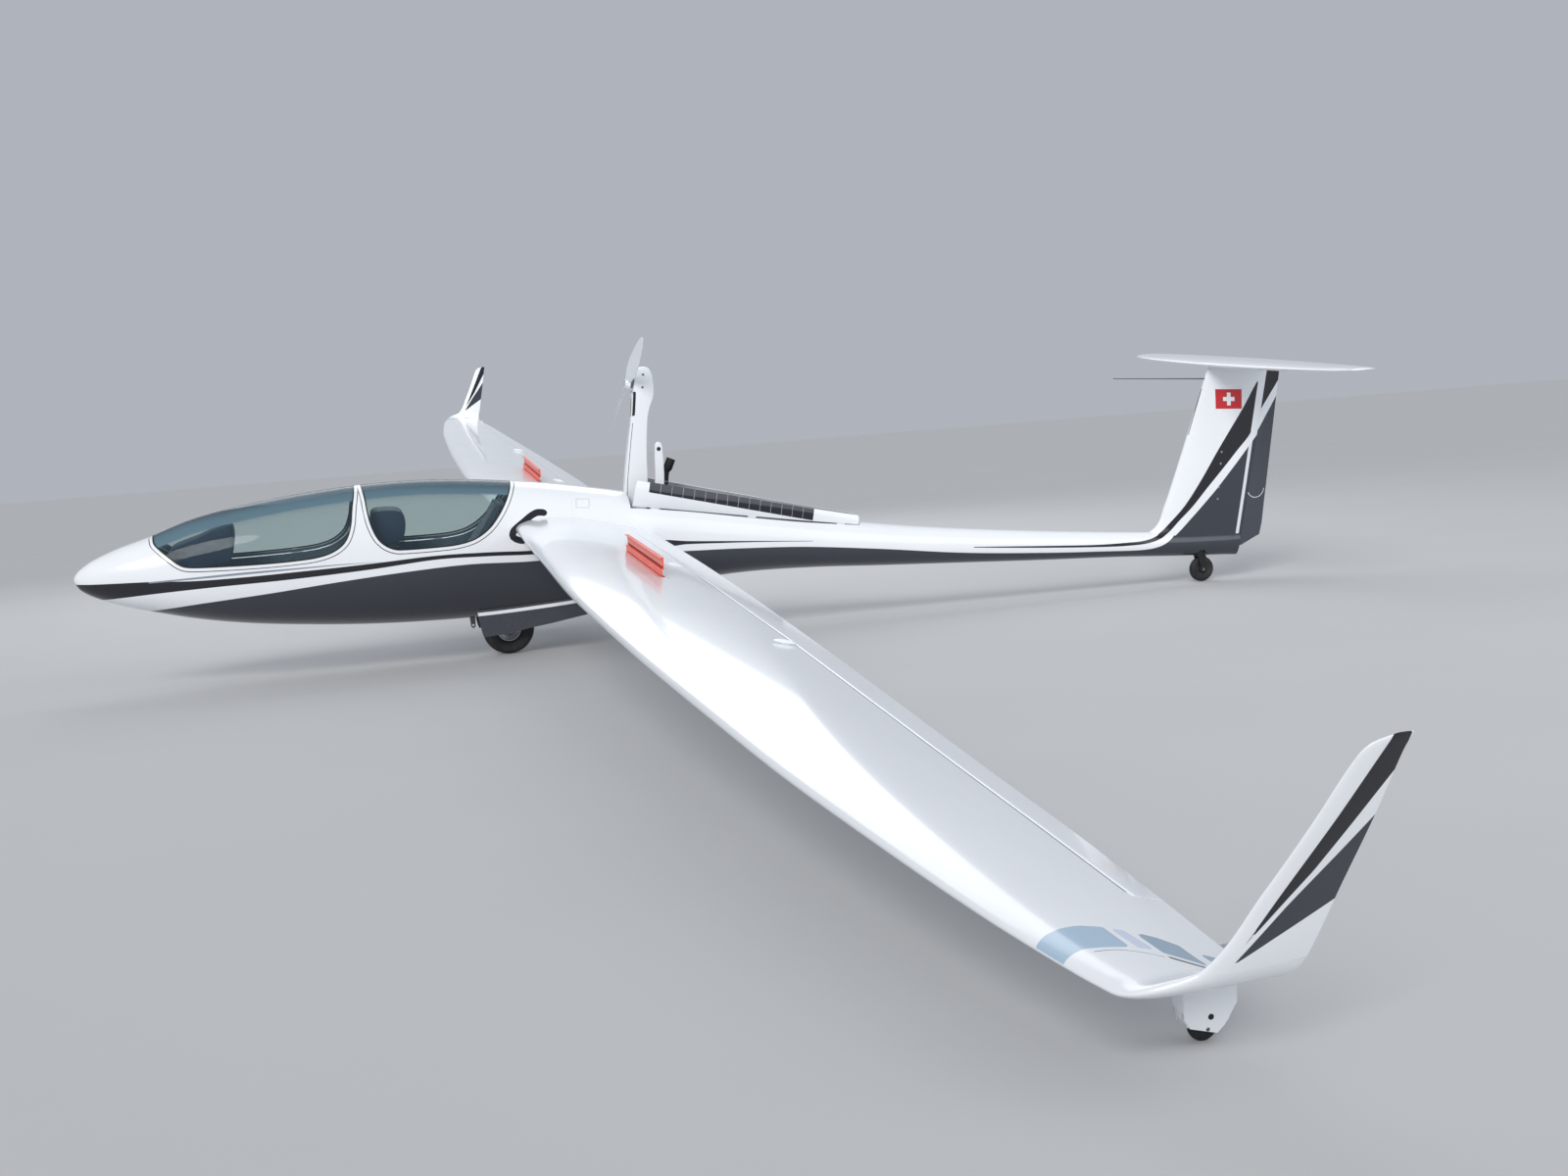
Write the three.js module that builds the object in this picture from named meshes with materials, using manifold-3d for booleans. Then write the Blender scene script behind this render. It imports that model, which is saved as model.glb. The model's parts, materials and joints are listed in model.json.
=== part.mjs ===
// Two-seat self-launching sailplane, parked with its port wing tip down on the tip wheel.
// Craft axes, in millimetres: X aft from the nose, Y to starboard, Z up from the ground under the main wheel.
import * as THREE from 'three';
import { mergeVertices } from 'three/addons/utils/BufferGeometryUtils.js';
import Module from 'manifold-3d';

const wasm = await Module();
wasm.setup();

const DEG = Math.PI / 180;
const SEAT_GAP = 0.3;

// Stance: the craft leans to port until the tip wheel stands on the ground.
const BANK = 4.83 * DEG;

// Wheels: hub place along X, outside radius, radius of the tread's cross-section, width.
const MAIN_WHEEL = { x: 2905, y: 0, radius: 185, crown: 58, width: 120 };
const TAIL_WHEEL = { x: 8400, y: 0, radius: 100, crown: 24, width: 52 };
const TIP_WHEEL = { x: 3577, y: 9464, radius: 38, crown: 11, width: 24 };

// Height of a wheel's hub above the craft's ground line, so that its tread meets the ground when the craft leans.
function hubHeight(wheel) {
  const arm = wheel.radius - wheel.crown;
  return (arm * Math.cos(BANK) + wheel.crown + wheel.y * Math.sin(BANK)) / Math.cos(BANK);
}

// Fuselage sections. Columns: x, top z, bottom z, half width, z of the widest line, squareness above, below.
const FUSELAGE = [
  [4, 828, 806, 9, 817, 2.0, 2.0],
  [17, 851, 775, 35, 815, 2.0, 2.0],
  [45, 880, 738, 64, 812, 2.0, 2.0],
  [130, 935, 684, 118, 809, 2.1, 2.1],
  [300, 1003, 613, 182, 807, 2.1, 2.2],
  [520, 1068, 546, 240, 805, 2.15, 2.2],
  [800, 1162, 473, 293, 803, 2.2, 2.3],
  [1150, 1230, 408, 332, 800, 2.25, 2.3],
  [1550, 1279, 359, 352, 797, 2.3, 2.3],
  [1950, 1307, 323, 360, 792, 2.3, 2.3],
  [2350, 1308, 303, 358, 785, 2.3, 2.3],
  [2750, 1279, 297, 350, 775, 2.3, 2.3],
  [3150, 1229, 308, 338, 762, 2.4, 2.3],
  [3400, 1188, 322, 330, 752, 2.5, 2.3],
  [3700, 1130, 352, 318, 736, 2.7, 2.3],
  [3850, 1097, 372, 310, 724, 2.8, 2.3],
  [4250, 1009, 415, 275, 680, 2.8, 2.3],
  [4700, 910, 434, 228, 632, 2.6, 2.2],
  [5200, 800, 418, 182, 585, 2.4, 2.2],
  [5750, 698, 380, 150, 534, 2.2, 2.1],
  [6300, 616, 345, 126, 476, 2.1, 2.1],
  [7000, 530, 300, 105, 412, 2.0, 2.0],
  [7700, 457, 260, 88, 358, 2.0, 2.0],
  [8200, 413, 223, 74, 315, 2.0, 2.0],
  [8740, 370, 188, 45, 280, 2.0, 2.0],
];
const FUSELAGE_END = 8740;
const FUSELAGE_SPLIT = 3400;
const RING_STEPS = 28;
const COCKPIT_WALL = 22;
const BAY_WALL = 9;

// Cockpit openings in side view, as polygons of x, z. They run past the spine.
const FRONT_WINDOW = [[548, 1050], [600, 985], [659, 932], [705, 893], [750, 871], [852, 861], [1251, 853],
  [1563, 860], [1690, 880], [1771, 916], [1825, 965], [1860, 1040], [1880, 1130], [1888, 1400], [548, 1400]];
const REAR_WINDOW = [[1973, 1400], [1973, 1214], [1983, 1110], [1999, 1037], [2028, 965], [2067, 917], [2115, 885],
  [2175, 868], [2497, 864], [2600, 872], [2690, 893], [2770, 935], [2838, 993], [2930, 1115], [2999, 1250],
  [3045, 1400]];
const CANOPY_FRAME = 20;
const CANOPY_GAP = 6;
const GLASS = 6;
const COCKPIT = { front: 430, rear: 3015, wellRoof: 655, wellFront: 2590 };
const CANOPY_HINGE = { y: 376, z: 842, tube: 6, front: [960, 1480], rear: [2210, 2480], length: 60 };

// Wheel well and its doors, in side view.
const WELL = { x0: 2690, x1: 3380, half: 180, top: 615 };
const GEAR_DOOR = [[2680, 400], [2680, 358], [2712, 171], [2877, 183], [3083, 212], [3183, 223], [3471, 266],
  [3492, 330], [3440, 440]];
const GEAR_DOOR_Y = 191;
const GEAR_DOOR_THICK = 8;

// Engine bay on the spine: opening's ends, and the doors' hinge line on the skin from front to rear.
const BAY = { x0: 3440, x1: 5620 };
const BAY_OPENING = { x0: 3818, x1: 5566 };
const DOOR_HINGE = { front: [3826, 247, 1016], rear: [5560, 76, 706] };
const DOOR_SLOT = { front: 70, rear: 3 };
const DOOR_THICK = 6;
const DOOR_HINGE_GAP = 6;
const DOOR_OPEN = 69 * DEG;

// Propeller mast: pivot on the centre plane, outline of the column and of the brace arm behind it, in side view.
const MAST_PIVOT = [3870, 840];
const MAST_HALF = 45;
const MAST_COLUMN = [[3815, 800], [3812, 1010], [3826, 1180], [3868, 1450], [3908, 1680], [3922, 1800],
  [3945, 1905], [3968, 1978], [4005, 1993], [4052, 1986], [4077, 1930], [4083, 1850], [4077, 1780], [4045, 1700],
  [4024, 1620], [4003, 1400], [3993, 1173], [3960, 900], [3930, 790], [3870, 765]];
const MAST_ARM = [[3925, 800], [3950, 905], [4018, 985], [4052, 1160], [4068, 1420], [4088, 1444], [4112, 1436],
  [4120, 1400], [4118, 1160], [4080, 950], [4000, 800]];
const MAST_ARM_HALF = 18;
const EXHAUST = { foot: [4100, 960], neck: [4142, 1228], tip: [4182, 1316], pipe: 20, can: 33 };
const PROP = { x: 3899, z: 1885, radius: 615, angle: 33 * DEG, lean: 7.4 * DEG, chord: 88, hub: 42, half: 20, face: 40 };
// Propeller blade. Columns: share of the radius, chord share, pitch in degrees, thickness ratio.
const BLADE = [[0.02, 0.5, 46, 0.3], [0.12, 0.66, 40, 0.24], [0.25, 0.85, 30, 0.15], [0.45, 1.0, 23, 0.12],
  [0.7, 0.84, 17, 0.1], [0.9, 0.56, 14, 0.09], [0.99, 0.26, 13, 0.09]];
const BLADE_STEPS = [0, 0.06, 0.28, 0.62, 1];

// Wing sections. Columns: y, leading edge x, trailing edge x, leading edge z, incidence, thickness ratio.
const WING = [
  [230, 2986, 3962, 940, 7.0, 0.150],
  [1200, 2966, 3968, 950, 6.9, 0.150],
  [2200, 2950, 3958, 962, 6.6, 0.148],
  [3400, 2931, 3934, 977, 6.4, 0.145],
  [4600, 2950, 3889, 991, 6.1, 0.142],
  [5600, 2973, 3848, 1003, 5.9, 0.140],
  [6700, 3013, 3793, 1016, 5.6, 0.138],
  [7600, 3052, 3749, 1027, 5.4, 0.135],
  [8500, 3117, 3707, 1038, 5.2, 0.130],
  [9100, 3171, 3666, 1045, 5.0, 0.125],
  [9460, 3215, 3634, 1050, 4.6, 0.120],
  [9640, 3243, 3626, 1053, 3.6, 0.115],
];
// Tip bend and winglet. Columns: y, leading edge x, trailing edge x, leading edge z, cant, thickness ratio.
const WINGLET = [
  [9715, 3262, 3630, 1058, 22, 0.110],
  [9768, 3305, 3640, 1080, 48, 0.105],
  [9800, 3410, 3656, 1118, 68, 0.100],
  [9870, 3517, 3700, 1300, 70, 0.100],
  [9931, 3595, 3737, 1456, 70, 0.100],
  [9983, 3664, 3768, 1600, 70, 0.100],
  [9995, 3697, 3778, 1632, 70, 0.095],
  [10000, 3745, 3783, 1645, 70, 0.090],
];
const WINGLET_SPLIT_Z = 1112;
const CAMBER = 0.022;
const TRAILING_EDGE = 3;
// Chord stations of a section, from the leading edge to the trailing edge.
const CHORD_STEPS = [0, 0.012, 0.045, 0.1, 0.19, 0.31, 0.45, 0.6, 0.76, 0.9, 1];

// Wing control surfaces: inboard and outboard y, and x of the hinge line there.
const FLAP = { y0: 460, y1: 5240, x0: 3780, x1: 3712, nose0: 28.5, nose1: 21.8, room: 13 };
const AILERON = { y0: 5262, y1: 9080, x0: 3711, x1: 3592, nose0: 21.4, nose1: 9, room: 8 };
const SURFACE_GAP = 6;
const NOSE_GAP = 7;
const HINGE_PIN = 3;

// Airbrakes: two storeys that slide in one slot across the wing.
const AIRBRAKE = { x: 3467, y0: 2180, y1: 3350, thick: 6, apart: 2.5, depth: 64, rise: 108, skin: 61, slotHalf: 14,
  floor: -46, end: 6, ribs: [2260, 2760, 3260] };

// Fin and rudder sections. Columns: z, leading edge x, trailing edge x, thickness ratio.
const FIN = [
  [262, 8060, 8912, 0.105],
  [400, 7900, 8931, 0.094],
  [446, 7985, 8938, 0.100],
  [500, 8038, 8945, 0.105],
  [601, 8080, 8959, 0.110],
  [714, 8127, 8975, 0.115],
  [1052, 8255, 9023, 0.118],
  [1400, 8382, 9072, 0.118],
  [1650, 8473, 9108, 0.118],
  [1712, 8495, 9117, 0.118],
];
const RUDDER = { foot: [8745, 290], top: [8997.5, 1636], noseFoot: 19, noseTop: 12.5, below: 60, room: 26,
  boomTop: 374 };
// Tailplane sections. Columns: y, leading edge x, trailing edge x, thickness ratio.
const TAILPLANE = [
  [0, 8432, 9030, 0.11],
  [700, 8468, 9006, 0.11],
  [1300, 8548, 8970, 0.10],
  [1560, 8618, 8938, 0.10],
  [1680, 8705, 8902, 0.09],
];
const TAILPLANE_Z = 1716;
const ELEVATOR = { half: 1570, x: 8858, noseRoot: 18.3, noseTip: 7.4,
  room: [[8828, 1800], [8828, 1684], [9000, 1658], [9130, 1650], [9400, 1650], [9400, 1800]] };

const ENGINE = { x0: 3470, x1: 3765, half: 140, z0: 440, z1: 740, legs: [3500, 3700] };

const PAINT = {
  gelcoat: new THREE.MeshStandardMaterial({ color: 0xf1f3f5, roughness: 0.25, metalness: 0.0 }),
  slate: new THREE.MeshStandardMaterial({ color: 0x3d404c, roughness: 0.3, metalness: 0.25 }),
  glass: new THREE.MeshStandardMaterial({ color: 0x9fc6c0, roughness: 0.05, metalness: 0.0, transparent: true, opacity: 0.35 }),
  brake: new THREE.MeshStandardMaterial({ color: 0xf2735a, roughness: 0.45, metalness: 0.0 }),
  rubber: new THREE.MeshStandardMaterial({ color: 0x17181a, roughness: 0.85, metalness: 0.0 }),
  rim: new THREE.MeshStandardMaterial({ color: 0xa9adb0, roughness: 0.4, metalness: 0.8 }),
  steel: new THREE.MeshStandardMaterial({ color: 0x6d7175, roughness: 0.45, metalness: 0.8 }),
  soot: new THREE.MeshStandardMaterial({ color: 0x1c1c1d, roughness: 0.7, metalness: 0.3 }),
  trim: new THREE.MeshStandardMaterial({ color: 0x2a3444, roughness: 0.6, metalness: 0.0 }),
  cloth: new THREE.MeshStandardMaterial({ color: 0x4a4f5a, roughness: 0.9, metalness: 0.0 }),
};

// Solids from three.js geometry, and the cuts and joins between them.

function solid(geometry) {
  const bare = geometry.clone();
  for (const name of Object.keys(bare.attributes)) {
    if (name !== 'position') bare.deleteAttribute(name);
  }
  const merged = mergeVertices(bare, 1e-3);
  const vertProperties = new Float32Array(merged.attributes.position.array);
  const triVerts = new Uint32Array(merged.index.array);
  if (signedVolume(vertProperties, triVerts) < 0) {
    for (let i = 0; i < triVerts.length; i += 3) {
      [triVerts[i + 1], triVerts[i + 2]] = [triVerts[i + 2], triVerts[i + 1]];
    }
  }
  return new wasm.Manifold(new wasm.Mesh({ numProp: 3, vertProperties, triVerts }));
}

function signedVolume(v, t) {
  let sum = 0;
  for (let i = 0; i < t.length; i += 3) {
    const [a, b, c] = [t[i] * 3, t[i + 1] * 3, t[i + 2] * 3];
    sum += v[a] * (v[b + 1] * v[c + 2] - v[b + 2] * v[c + 1])
      + v[a + 1] * (v[b + 2] * v[c] - v[b] * v[c + 2])
      + v[a + 2] * (v[b] * v[c + 1] - v[b + 1] * v[c]);
  }
  return sum / 6;
}

const join = (...parts) => parts.reduce((sum, part) => sum.add(part));
const cut = (body, ...tools) => tools.reduce((rest, tool) => rest.subtract(tool), body);
const common = (a, b) => a.intersect(b);

function geometryOf(body) {
  const mesh = body.getMesh();
  const geometry = new THREE.BufferGeometry();
  geometry.setAttribute('position', new THREE.BufferAttribute(new Float32Array(mesh.vertProperties), 3));
  geometry.setIndex(new THREE.BufferAttribute(new Uint32Array(mesh.triVerts), 1));
  return geometry;
}

// A closed skin over rings of equal count. Each ring's points pair off first with last, so its ends close as ladders.
function loft(rings) {
  const count = rings[0].length;
  const index = [];
  for (let r = 0; r + 1 < rings.length; r += 1) {
    for (let i = 0; i < count; i += 1) {
      const j = (i + 1) % count;
      const [a, b, c, d] = [r * count + i, r * count + j, (r + 1) * count + i, (r + 1) * count + j];
      index.push(a, b, d, a, d, c);
    }
  }
  ladder(index, 0, count, false);
  ladder(index, (rings.length - 1) * count, count, true);
  const geometry = new THREE.BufferGeometry();
  geometry.setAttribute('position', new THREE.Float32BufferAttribute(rings.flat(2), 3));
  geometry.setIndex(index);
  return solid(geometry);
}

function ladder(index, base, count, last) {
  const push = (a, b, c) => {
    if (last) index.push(base + a, base + b, base + c);
    else index.push(base + a, base + c, base + b);
  };
  let [low, high] = [0, count - 1];
  while (high - low > 1) {
    push(low, low + 1, high);
    low += 1;
    if (high - low > 1) {
      push(low, high - 1, high);
      high -= 1;
    }
  }
}

function extruded(points, depth) {
  const shape = new THREE.Shape(points.map(([a, b]) => new THREE.Vector2(a, b)));
  return new THREE.ExtrudeGeometry(shape, { depth, bevelEnabled: false });
}

// A prism of a side-view outline (x, z) between two y.
function sidePrism(outline, y0, y1) {
  const geometry = extruded(outline, y1 - y0);
  geometry.rotateX(Math.PI / 2);
  geometry.translate(0, y1, 0);
  return solid(geometry);
}

// A prism of a plan-view outline (x, y) between two z.
function planPrism(outline, z0, z1) {
  const geometry = extruded(outline, z1 - z0);
  geometry.translate(0, 0, z0);
  return solid(geometry);
}

function box(x0, x1, y0, y1, z0, z1) {
  const geometry = new THREE.BoxGeometry(x1 - x0, y1 - y0, z1 - z0);
  geometry.translate((x0 + x1) / 2, (y0 + y1) / 2, (z0 + z1) / 2);
  return solid(geometry);
}

// A round bar or cone between two points.
function bar(from, to, r0, r1 = r0, sides = 16) {
  const a = new THREE.Vector3(...from);
  const b = new THREE.Vector3(...to);
  const geometry = new THREE.CylinderGeometry(r1, r0, a.distanceTo(b), sides, 1);
  const turn = new THREE.Quaternion().setFromUnitVectors(new THREE.Vector3(0, 1, 0), b.clone().sub(a).normalize());
  geometry.applyQuaternion(turn);
  geometry.translate((a.x + b.x) / 2, (a.y + b.y) / 2, (a.z + b.z) / 2);
  return solid(geometry);
}

// A turned body about the line through centre along Y. The profile lists radius and offset along Y.
function turned(profile, centre, segments) {
  const geometry = new THREE.LatheGeometry(profile.map(([r, h]) => new THREE.Vector2(r, h)), segments);
  geometry.translate(...centre);
  return solid(geometry);
}

// The point a share of the way from a to b.
const between = (a, b, share) => a.map((value, i) => value + (b[i] - value) * share);
const mirrored = (point, side) => [point[0], point[1] * side, point[2]];

// Smooth reading of a table's columns at a given first column, by cubic Hermite pieces.
function readTable(table, at) {
  const last = table.length - 1;
  let i = 0;
  while (i < last - 1 && table[i + 1][0] < at) i += 1;
  const [a, b] = [table[i], table[i + 1]];
  const before = table[Math.max(i - 1, 0)];
  const after = table[Math.min(i + 2, last)];
  const span = b[0] - a[0];
  const u = Math.min(Math.max((at - a[0]) / span, 0), 1);
  return a.map((_, c) => {
    const slopeA = (b[c] - before[c]) / (b[0] - before[0]) * span;
    const slopeB = (after[c] - a[c]) / (after[0] - a[0]) * span;
    return (2 * u ** 3 - 3 * u ** 2 + 1) * a[c] + (u ** 3 - 2 * u ** 2 + u) * slopeA
      + (3 * u ** 2 - 2 * u ** 3) * b[c] + (u ** 3 - u ** 2) * slopeB;
  });
}

// Fuselage

function sectionRing(x, inset) {
  const [, top, bottom, half, waist, above, below] = readTable(FUSELAGE, x);
  const ring = [];
  for (let i = 0; i < RING_STEPS; i += 1) {
    const turn = (i + 0.5) / RING_STEPS * 2 * Math.PI;
    const [c, s] = [Math.cos(turn), Math.sin(turn)];
    const power = 2 / (s > 0 ? above : below);
    const reach = s > 0 ? top - inset - waist : waist - bottom - inset;
    ring.push([x, Math.sign(c) * Math.abs(c) ** power * (half - inset), waist + Math.sign(s) * Math.abs(s) ** power * reach]);
  }
  return ring;
}

// The fuselage's body with its skin moved inwards by inset (outwards if negative), from x0 to x1.
function hull(inset, x0, x1) {
  const stations = FUSELAGE.map(([x]) => x).filter((x) => x > x0 + 1 && x < x1 - 1);
  return loft([x0, ...stations, x1].map((x) => sectionRing(x, inset)));
}

// Moves each edge of an outline outwards by the given distance.
function offset(outline, by) {
  const area = outline.reduce((sum, [x, z], i) => {
    const [nx, nz] = outline[(i + 1) % outline.length];
    return sum + x * nz - nx * z;
  }, 0);
  const sense = Math.sign(area);
  return outline.map((point, i) => {
    const before = outline[(i + outline.length - 1) % outline.length];
    const after = outline[(i + 1) % outline.length];
    const normals = [[before, point], [point, after]].map(([p, q]) => {
      const [dx, dz] = [q[0] - p[0], q[1] - p[1]];
      const length = Math.hypot(dx, dz);
      return [dz / length * sense, -dx / length * sense];
    });
    const [nx, nz] = [normals[0][0] + normals[1][0], normals[0][1] + normals[1][1]];
    const scale = 2 * by / (nx * nx + nz * nz);
    return [point[0] + nx * scale, point[1] + nz * scale];
  });
}

const OUTER = hull(0, 4, FUSELAGE_END);
const CLEAR_OF_HULL = hull(-SEAT_GAP, 4, FUSELAGE_END + SEAT_GAP);

const WIDE = 500;
const openingPrism = (outline, by) => sidePrism(offset(outline, by), -WIDE, WIDE);

function bayPlan(widen, x0, x1) {
  const [front, rear] = [DOOR_HINGE.front, DOOR_HINGE.rear];
  const sideAt = (x) => front[1] + (rear[1] - front[1]) * (x - front[0]) / (rear[0] - front[0]) + widen;
  return [[x0, -sideAt(x0)], [x1, -sideAt(x1)], [x1, sideAt(x1)], [x0, sideAt(x0)]];
}

function fuselageFront() {
  const shell = hull(0, 4, FUSELAGE_SPLIT);
  const cavityLow = hull(COCKPIT_WALL, COCKPIT.front, COCKPIT.wellFront + 1);
  const cavityHigh = common(hull(COCKPIT_WALL, COCKPIT.wellFront, COCKPIT.rear),
    box(COCKPIT.wellFront, COCKPIT.rear, -WIDE, WIDE, COCKPIT.wellRoof, 1500));
  const well = box(WELL.x0, WELL.x1, -WELL.half, WELL.half, 100, WELL.top);
  const body = cut(shell, join(cavityLow, cavityHigh), well,
    openingPrism(FRONT_WINDOW, CANOPY_FRAME + CANOPY_GAP), openingPrism(REAR_WINDOW, CANOPY_FRAME + CANOPY_GAP));
  return join(body, ...[CANOPY_HINGE.front, CANOPY_HINGE.rear].flatMap((pair) => pair.flatMap(hingeCheeks)));
}

// The two ears on the starboard side that hold one canopy hinge tube between them.
function hingeCheeks(x) {
  const { y, z, tube, length } = CANOPY_HINGE;
  const ear = (x0) => {
    const skin = skinHalf(x0 + 4, z - 20) - 12;
    return join(box(x0, x0 + 8, skin, y + tube, z - 34, z - 18), box(x0, x0 + 8, y - tube, y + tube, z - 18, z),
      bar([x0, y, z], [x0 + 8, y, z], tube));
  };
  return [ear(x - length / 2 - 8 - SEAT_GAP), ear(x + length / 2 + SEAT_GAP)];
}

// Half width of the skin at a station and height.
function skinHalf(x, z) {
  const [, top, bottom, half, waist, above, below] = readTable(FUSELAGE, x);
  const power = z > waist ? above : below;
  const share = Math.min(Math.abs(z - waist) / (z > waist ? top - waist : waist - bottom), 1);
  return half * (1 - share ** power) ** (1 / power);
}

function canopy(outline, hinges) {
  const { y, z, tube, length } = CANOPY_HINGE;
  const frameZone = openingPrism(outline, CANOPY_FRAME);
  const shell = cut(OUTER, hull(COCKPIT_WALL, 300, 3400));
  let frame = cut(common(shell, frameZone), openingPrism(outline, 0));
  for (const x of hinges) {
    const skin = skinHalf(x, z + 14) - 14;
    frame = join(frame, box(x - length / 2, x + length / 2, skin, y, z + 4, z + 14),
      bar([x - length / 2, y, z], [x + length / 2, y, z], tube));
  }
  const pane = cut(OUTER, hull(GLASS, 300, 3400));
  return [frame, common(pane, openingPrism(outline, -SEAT_GAP))];
}

function fuselageRear() {
  const shell = hull(0, FUSELAGE_SPLIT + SEAT_GAP, FUSELAGE_END);
  const bay = hull(BAY_WALL, BAY.x0, BAY.x1);
  const opening = common(planPrism(bayPlan(5, BAY_OPENING.x0, BAY_OPENING.x1), 600, 1400),
    hull(-50, BAY_OPENING.x0 - 10, BAY_OPENING.x1 + 10));
  const forkRecess = bar([TAIL_WHEEL.x - 15, 0, 100], [TAIL_WHEEL.x - 15, 0, FORK.crownTop + SEAT_GAP], 60, 60, 24);
  return cut(shell, bay, opening, forkRecess, TAIL_END);
}

// The slanted end of the tail boom, ahead of the rudder's nose.
const rudderLineX = (z) => RUDDER.foot[0] + (RUDDER.top[0] - RUDDER.foot[0]) * (z - RUDDER.foot[1])
  / (RUDDER.top[1] - RUDDER.foot[1]);
const TAIL_END = sidePrism([[rudderLineX(150) - RUDDER.room, 150], [9400, 150], [9400, RUDDER.boomTop],
  [rudderLineX(RUDDER.boomTop) - RUDDER.room, RUDDER.boomTop]], -200, 200);

function engineDoor(side) {
  const [front, rear] = [mirrored(DOOR_HINGE.front, side), mirrored(DOOR_HINGE.rear, side)];
  const edge = DOOR_HINGE_GAP * side;
  const skin = cut(hull(0, 3700, 5700), hull(DOOR_THICK, 3690, 5710));
  const plan = [[front[0], DOOR_SLOT.front * side], [rear[0] - 4, DOOR_SLOT.rear * side],
    [rear[0] - 4, rear[1] - edge], [front[0], front[1] - edge]];
  let panel = common(skin, planPrism(plan, 650, 1300));
  for (const share of [0.08, 0.5, 0.9]) {
    const [a, b] = [between(front, rear, share), between(front, rear, share + 0.035)];
    panel = join(panel, bar(a, b, 4.4, 4.4, 10), hingeStrap(a, b, [0, -14 * side, 3]));
  }
  return swung(panel, front, rear, DOOR_OPEN * -side);
}

// Turns a body about the line from a to b.
function swung(body, a, b, angle) {
  const axis = new THREE.Vector3(...b).sub(new THREE.Vector3(...a)).normalize();
  const geometry = geometryOf(body);
  geometry.translate(-a[0], -a[1], -a[2]);
  geometry.applyQuaternion(new THREE.Quaternion().setFromAxisAngle(axis, angle));
  geometry.translate(...a);
  return solid(geometry);
}

// A flat strap from a hinge tube to the panel beside it.
function hingeStrap(a, b, inward) {
  const half = 2;
  const corner = (p, along, lift) => [p[0], p[1] + inward[1] * along, p[2] + inward[2] * along + half * lift];
  return loft([[corner(a, 0, -1), corner(a, 1, -1), corner(a, 1, 1), corner(a, 0, 1)],
    [corner(b, 0, -1), corner(b, 1, -1), corner(b, 1, 1), corner(b, 0, 1)]]);
}

function gearDoor(side) {
  const [y0, y1] = [GEAR_DOOR_Y, GEAR_DOOR_Y + GEAR_DOOR_THICK].map((y) => y * side).sort((a, b) => a - b);
  return cut(sidePrism(GEAR_DOOR, y0, y1), CLEAR_OF_HULL);
}

// Wings

function thickness(u, ratio) {
  return 5 * ratio * (0.2969 * Math.sqrt(u) - 0.126 * u - 0.3516 * u ** 2 + 0.2843 * u ** 3 - 0.1036 * u ** 4);
}

// A section's ring: leading edge point, chord length, incidence and cant, on the given side.
function airfoilRing({ lead, chord, incidence, cant, ratio, camber, side }) {
  const place = (u, h) => {
    const x = u * Math.cos(incidence) + h * Math.sin(incidence);
    const rise = h * Math.cos(incidence) - u * Math.sin(incidence);
    return [lead[0] + x, (lead[1] - rise * Math.sin(cant)) * side, lead[2] + rise * Math.cos(cant)];
  };
  const point = (u, sense) => {
    const half = thickness(u, ratio) * chord + TRAILING_EDGE / 2 * u;
    return place(u * chord, 4 * camber * u * (1 - u) * chord + sense * half);
  };
  const back = [...CHORD_STEPS].reverse();
  return [...back.map((u) => point(u, 1)), ...CHORD_STEPS.slice(1).map((u) => point(u, -1))];
}

function wingRing(row, side) {
  const [y, lead, trail, z, incidence, ratio] = row;
  return airfoilRing({ lead: [lead, y, z], chord: (trail - lead) / Math.cos(incidence * DEG),
    incidence: incidence * DEG, cant: 0, ratio, camber: CAMBER, side });
}

function wingletRing(row, side) {
  const [y, lead, trail, z, cant, ratio] = row;
  const upright = cant / 70;
  return airfoilRing({ lead: [lead, y, z], chord: trail - lead, incidence: 3 * (1 - upright) * DEG,
    cant: cant * DEG, ratio, camber: CAMBER * (1 - upright) + 0.008 * upright, side });
}

function wholeWing(side) {
  return loft([...WING.map((row) => wingRing(row, side)), ...WINGLET.map((row) => wingletRing(row, side))]);
}

// Height of the wing's mean line at y and x, between its skins.
function wingMidHeight(y, x) {
  const [, lead, trail, z, incidence] = readTable(WING, y);
  const u = (x - lead) / (trail - lead);
  return z - (x - lead) * Math.tan(incidence * DEG) + 4 * CAMBER * u * (1 - u) * (trail - lead);
}

// Splits a control surface off a body: a round nose along the hinge line, end pins, and a gap all round.
// Each stop of the hinge line has a point and the nose's radius there.
function splitSurface(body, stops, room, zone, zoneWide) {
  const [first, last] = [stops[0].at, stops[stops.length - 1].at];
  const step = new THREE.Vector3(...last).sub(new THREE.Vector3(...first)).normalize();
  const beyond = (point, distance) => [point[0] + step.x * distance, point[1] + step.y * distance,
    point[2] + step.z * distance];
  const noses = stops.slice(1).map((stop, i) => bar(stops[i].at, stop.at, stops[i].nose, stop.nose, 14));
  const rooms = stops.slice(1).map((stop, i) => bar(
    i ? stops[i].at : beyond(first, -SURFACE_GAP),
    i + 2 < stops.length ? stop.at : beyond(last, SURFACE_GAP),
    stops[i].nose + room, stop.nose + room, 14));
  const reach = SURFACE_GAP - SEAT_GAP;
  const pins = [bar(beyond(first, -reach), beyond(first, 5), HINGE_PIN, HINGE_PIN, 10),
    bar(beyond(last, -5), beyond(last, reach), HINGE_PIN, HINGE_PIN, 10)];
  return [cut(body, zoneWide, ...rooms), join(common(body, zone), ...noses, ...pins)];
}

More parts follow.
